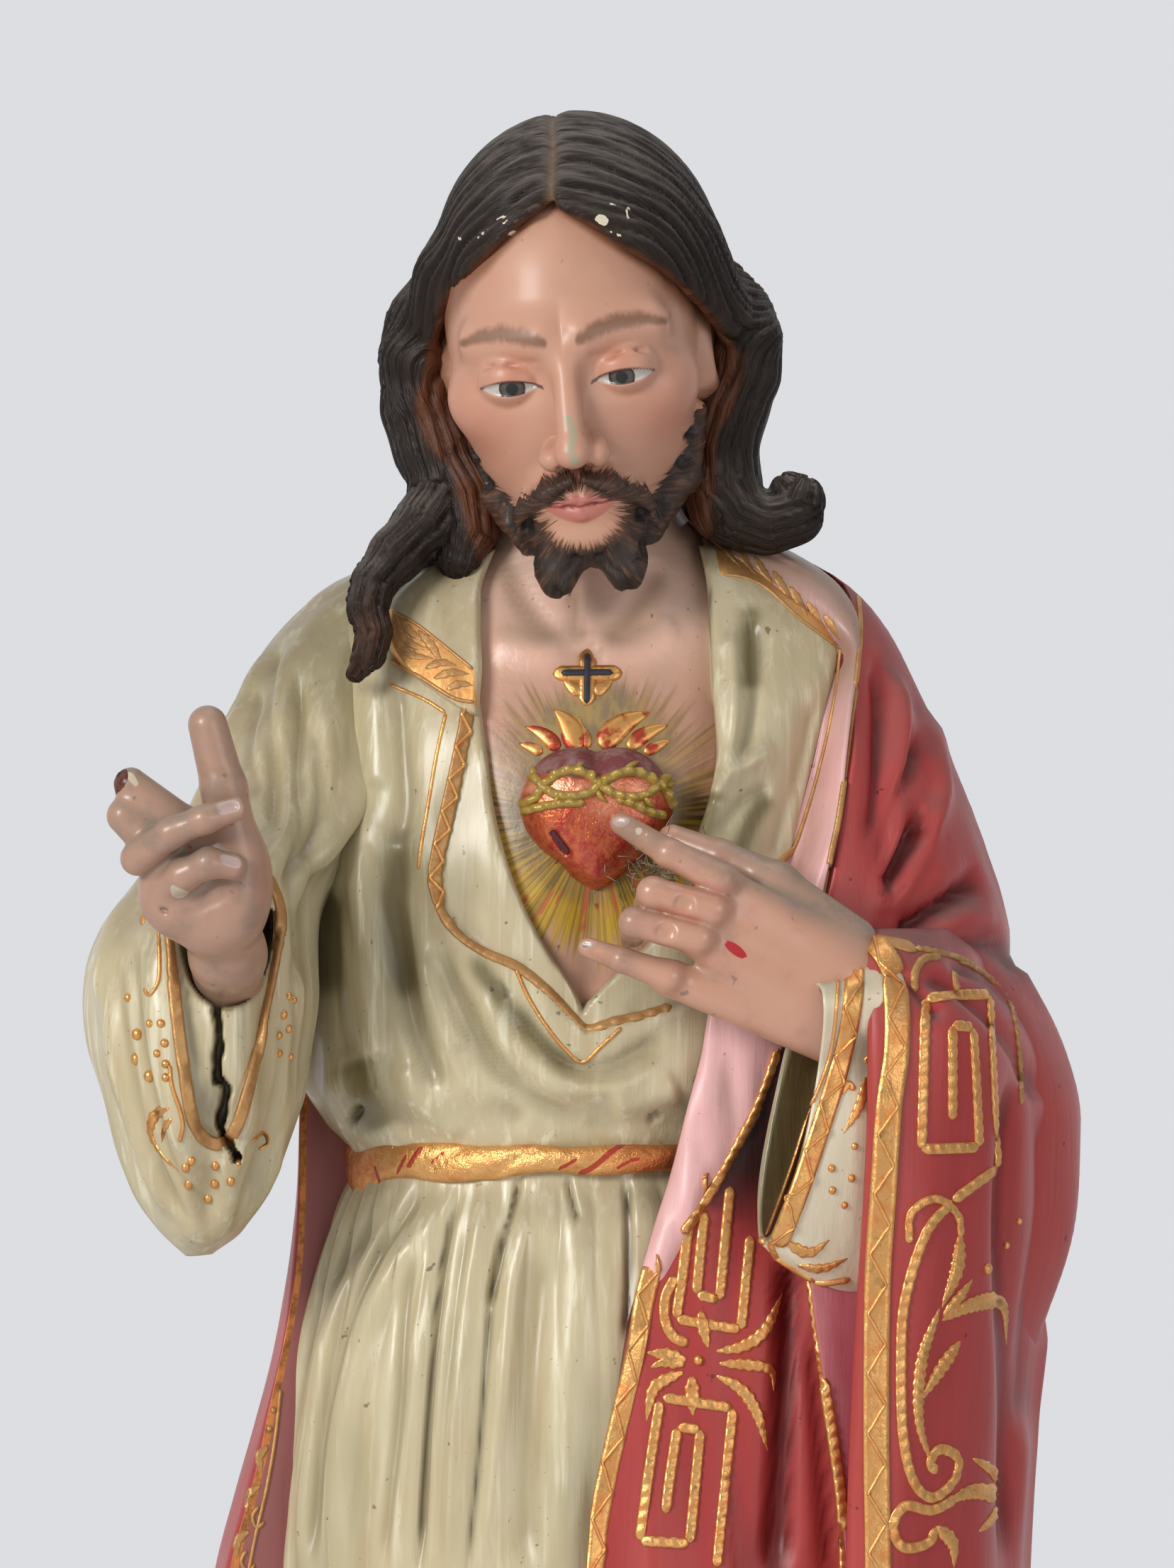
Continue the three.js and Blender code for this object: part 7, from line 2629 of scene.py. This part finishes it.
def make_wood():
    paint = Paint("plinth_wood", 0.34, coat=0.4)
    ring = paint.noise(0.05, 3, 0.6, (0.35, 1, 1), 1.0)
    grain = paint.noise(0.006, 5, 0.7, (0.06, 1, 1), 2.0)
    colour = paint.mix((0.075, 0.03, 0.014), (0.03, 0.012, 0.007), ring.step(0.4, 0.65))
    colour = paint.mix(colour, (0.13, 0.055, 0.024), grain.step(0.5, 0.75) * 0.6)
    colour = paint.mix(colour, (0.24, 0.15, 0.09), paint.field("high") * 0.5)
    paint.use("Base Color", paint.mix(colour, (0.28, 0.24, 0.19), paint.field("up") * 0.16))
    paint.use("Roughness", grain * 0.3 + 0.22)
    paint.bump(grain, 0.0002)
    return paint.material


# The plinth's moulding from the floor up: share of its height, and how far out it stands, 0 to 1
PLINTH_PROFILE = [
    [0, 1], [0.3, 1], [0.36, 0.78], [0.5, 0.3], [0.66, 0.06], [0.76, 0], [0.8, 0.34], [0.94, 0.34],
    [1, 0.1],
]
# In metres: how far its foot stands out, how much of each corner is cut off, and its worn edges
PLINTH_FOOT = 0.011
PLINTH_CUT = 0.042
PLINTH_BEVEL = 0.0006


def make_plinth():
    """A cut-cornered moulded block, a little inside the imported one."""
    tall = plinth_high[2] - plinth_low[2]
    bm = bmesh.new()
    loops = []
    for height, out in PLINTH_PROFILE:
        w = plinth_high[0] - PLINTH_FOOT * (1 - out)
        d = plinth_high[1] - PLINTH_FOOT * (1 - out)
        quarter = [(w, d - PLINTH_CUT), (w - PLINTH_CUT, d)]
        half = [(w, PLINTH_CUT - d), *quarter, (PLINTH_CUT - w, d)]
        corners = half + [(-x, -y) for x, y in half]
        loop = [bm.verts.new((x, y, plinth_low[2] + height * tall)) for x, y in corners]
        loops.append([bm.edges.new((loop[n], loop[(n + 1) % 8])) for n in range(8)])
    for lower, upper in zip(loops[:-1], loops[1:]):
        bmesh.ops.bridge_loops(bm, edges=lower + upper)
    bmesh.ops.contextual_create(bm, geom=loops[0])
    bmesh.ops.contextual_create(bm, geom=loops[-1])
    bmesh.ops.bevel(
        bm,
        geom=bm.edges[:],
        offset=PLINTH_BEVEL,
        offset_type="OFFSET",
        segments=2,
        profile=0.5,
        affect="EDGES",
        material=-1,
    )
    mesh = bpy.data.meshes.new("plinth_block")
    faced_outwards(mesh, bm)
    finish_mesh("plinth_block", mesh, make_wood(), ("plinth",))
    mesh.shade_flat()


make_plinth()


# Floor, lights and camera
def make_floor():
    bm = bmesh.new()
    bmesh.ops.create_grid(bm, x_segments=1, y_segments=1, size=3.4)
    mesh = bpy.data.meshes.new("floor")
    bm.to_mesh(mesh)
    bm.free()
    paint = Paint("floor_paper", 0.9)
    paint.use("Base Color", paint.mix((0.74, 0.745, 0.765), (0.76, 0.765, 0.785), paint.noise(0.5, 2)))
    mesh.materials.append(paint.material)
    floor = bpy.data.objects.new("floor", mesh)
    bpy.context.scene.collection.objects.link(floor)


def add_light(name, place, aim, size, watts, colour=(1, 1, 1)):
    data = bpy.data.lights.new(name, "AREA")
    data.shape = "RECTANGLE"
    data.size, data.size_y = size
    data.energy = watts
    data.color = colour
    light = bpy.data.objects.new(name, data)
    light.location = place
    light.rotation_euler = (Vector(aim) - Vector(place)).to_track_quat("-Z", "Y").to_euler()
    bpy.context.scene.collection.objects.link(light)


def set_world(behind, before):
    """A pale backdrop behind the figure and a dimmer room before it."""
    world = bpy.data.worlds.new("studio")
    world.use_nodes = True
    nodes, links = world.node_tree.nodes, world.node_tree.links
    way = nodes.new("ShaderNodeTexCoord")
    split = nodes.new("ShaderNodeSeparateXYZ")
    blend = nodes.new("ShaderNodeMapRange")
    blend.interpolation_type = "SMOOTHSTEP"
    for key, value in {"From Min": -0.1, "From Max": 0.75, "To Min": before, "To Max": behind}.items():
        blend.inputs[key].default_value = value
    links.new(way.outputs["Generated"], split.inputs[0])
    links.new(split.outputs["Y"], blend.inputs["Value"])
    links.new(blend.outputs["Result"], nodes["Background"].inputs["Strength"])
    nodes["Background"].inputs["Color"].default_value = (0.93, 0.94, 0.97, 1)
    bpy.context.scene.world = world


make_floor()
set_world(0.775, 0.33)
bpy.context.scene.view_settings.view_transform = "Standard"
middle = (0, 0, 0.66)
add_light("window", (-1.5, -1.8, 1.45), middle, (0.8, 0.8), 40, (1.0, 0.985, 0.96))
add_light("fill", (1.5, -2.0, 0.9), middle, (1.3, 1.3), 11, (1.0, 0.99, 0.97))
add_light("top", (0.1, -0.2, 2.3), middle, (1.2, 1.0), 5)

SENSOR_HEIGHT = 36
camera_data = bpy.data.cameras.new("camera")
camera_data.sensor_fit = "VERTICAL"
camera_data.sensor_height = SENSOR_HEIGHT
camera_data.lens = SENSOR_HEIGHT * -EYE[1] / (FRAME_HEIGHT * PIXEL)
camera_data.clip_end = 30
camera = bpy.data.objects.new("camera", camera_data)
camera.location = (EYE[0] / 1000, EYE[1] / 1000, EYE[2] / 1000 + base[2])
camera.rotation_euler = (math.pi / 2, 0, 0)
bpy.context.scene.collection.objects.link(camera)
bpy.context.scene.camera = camera
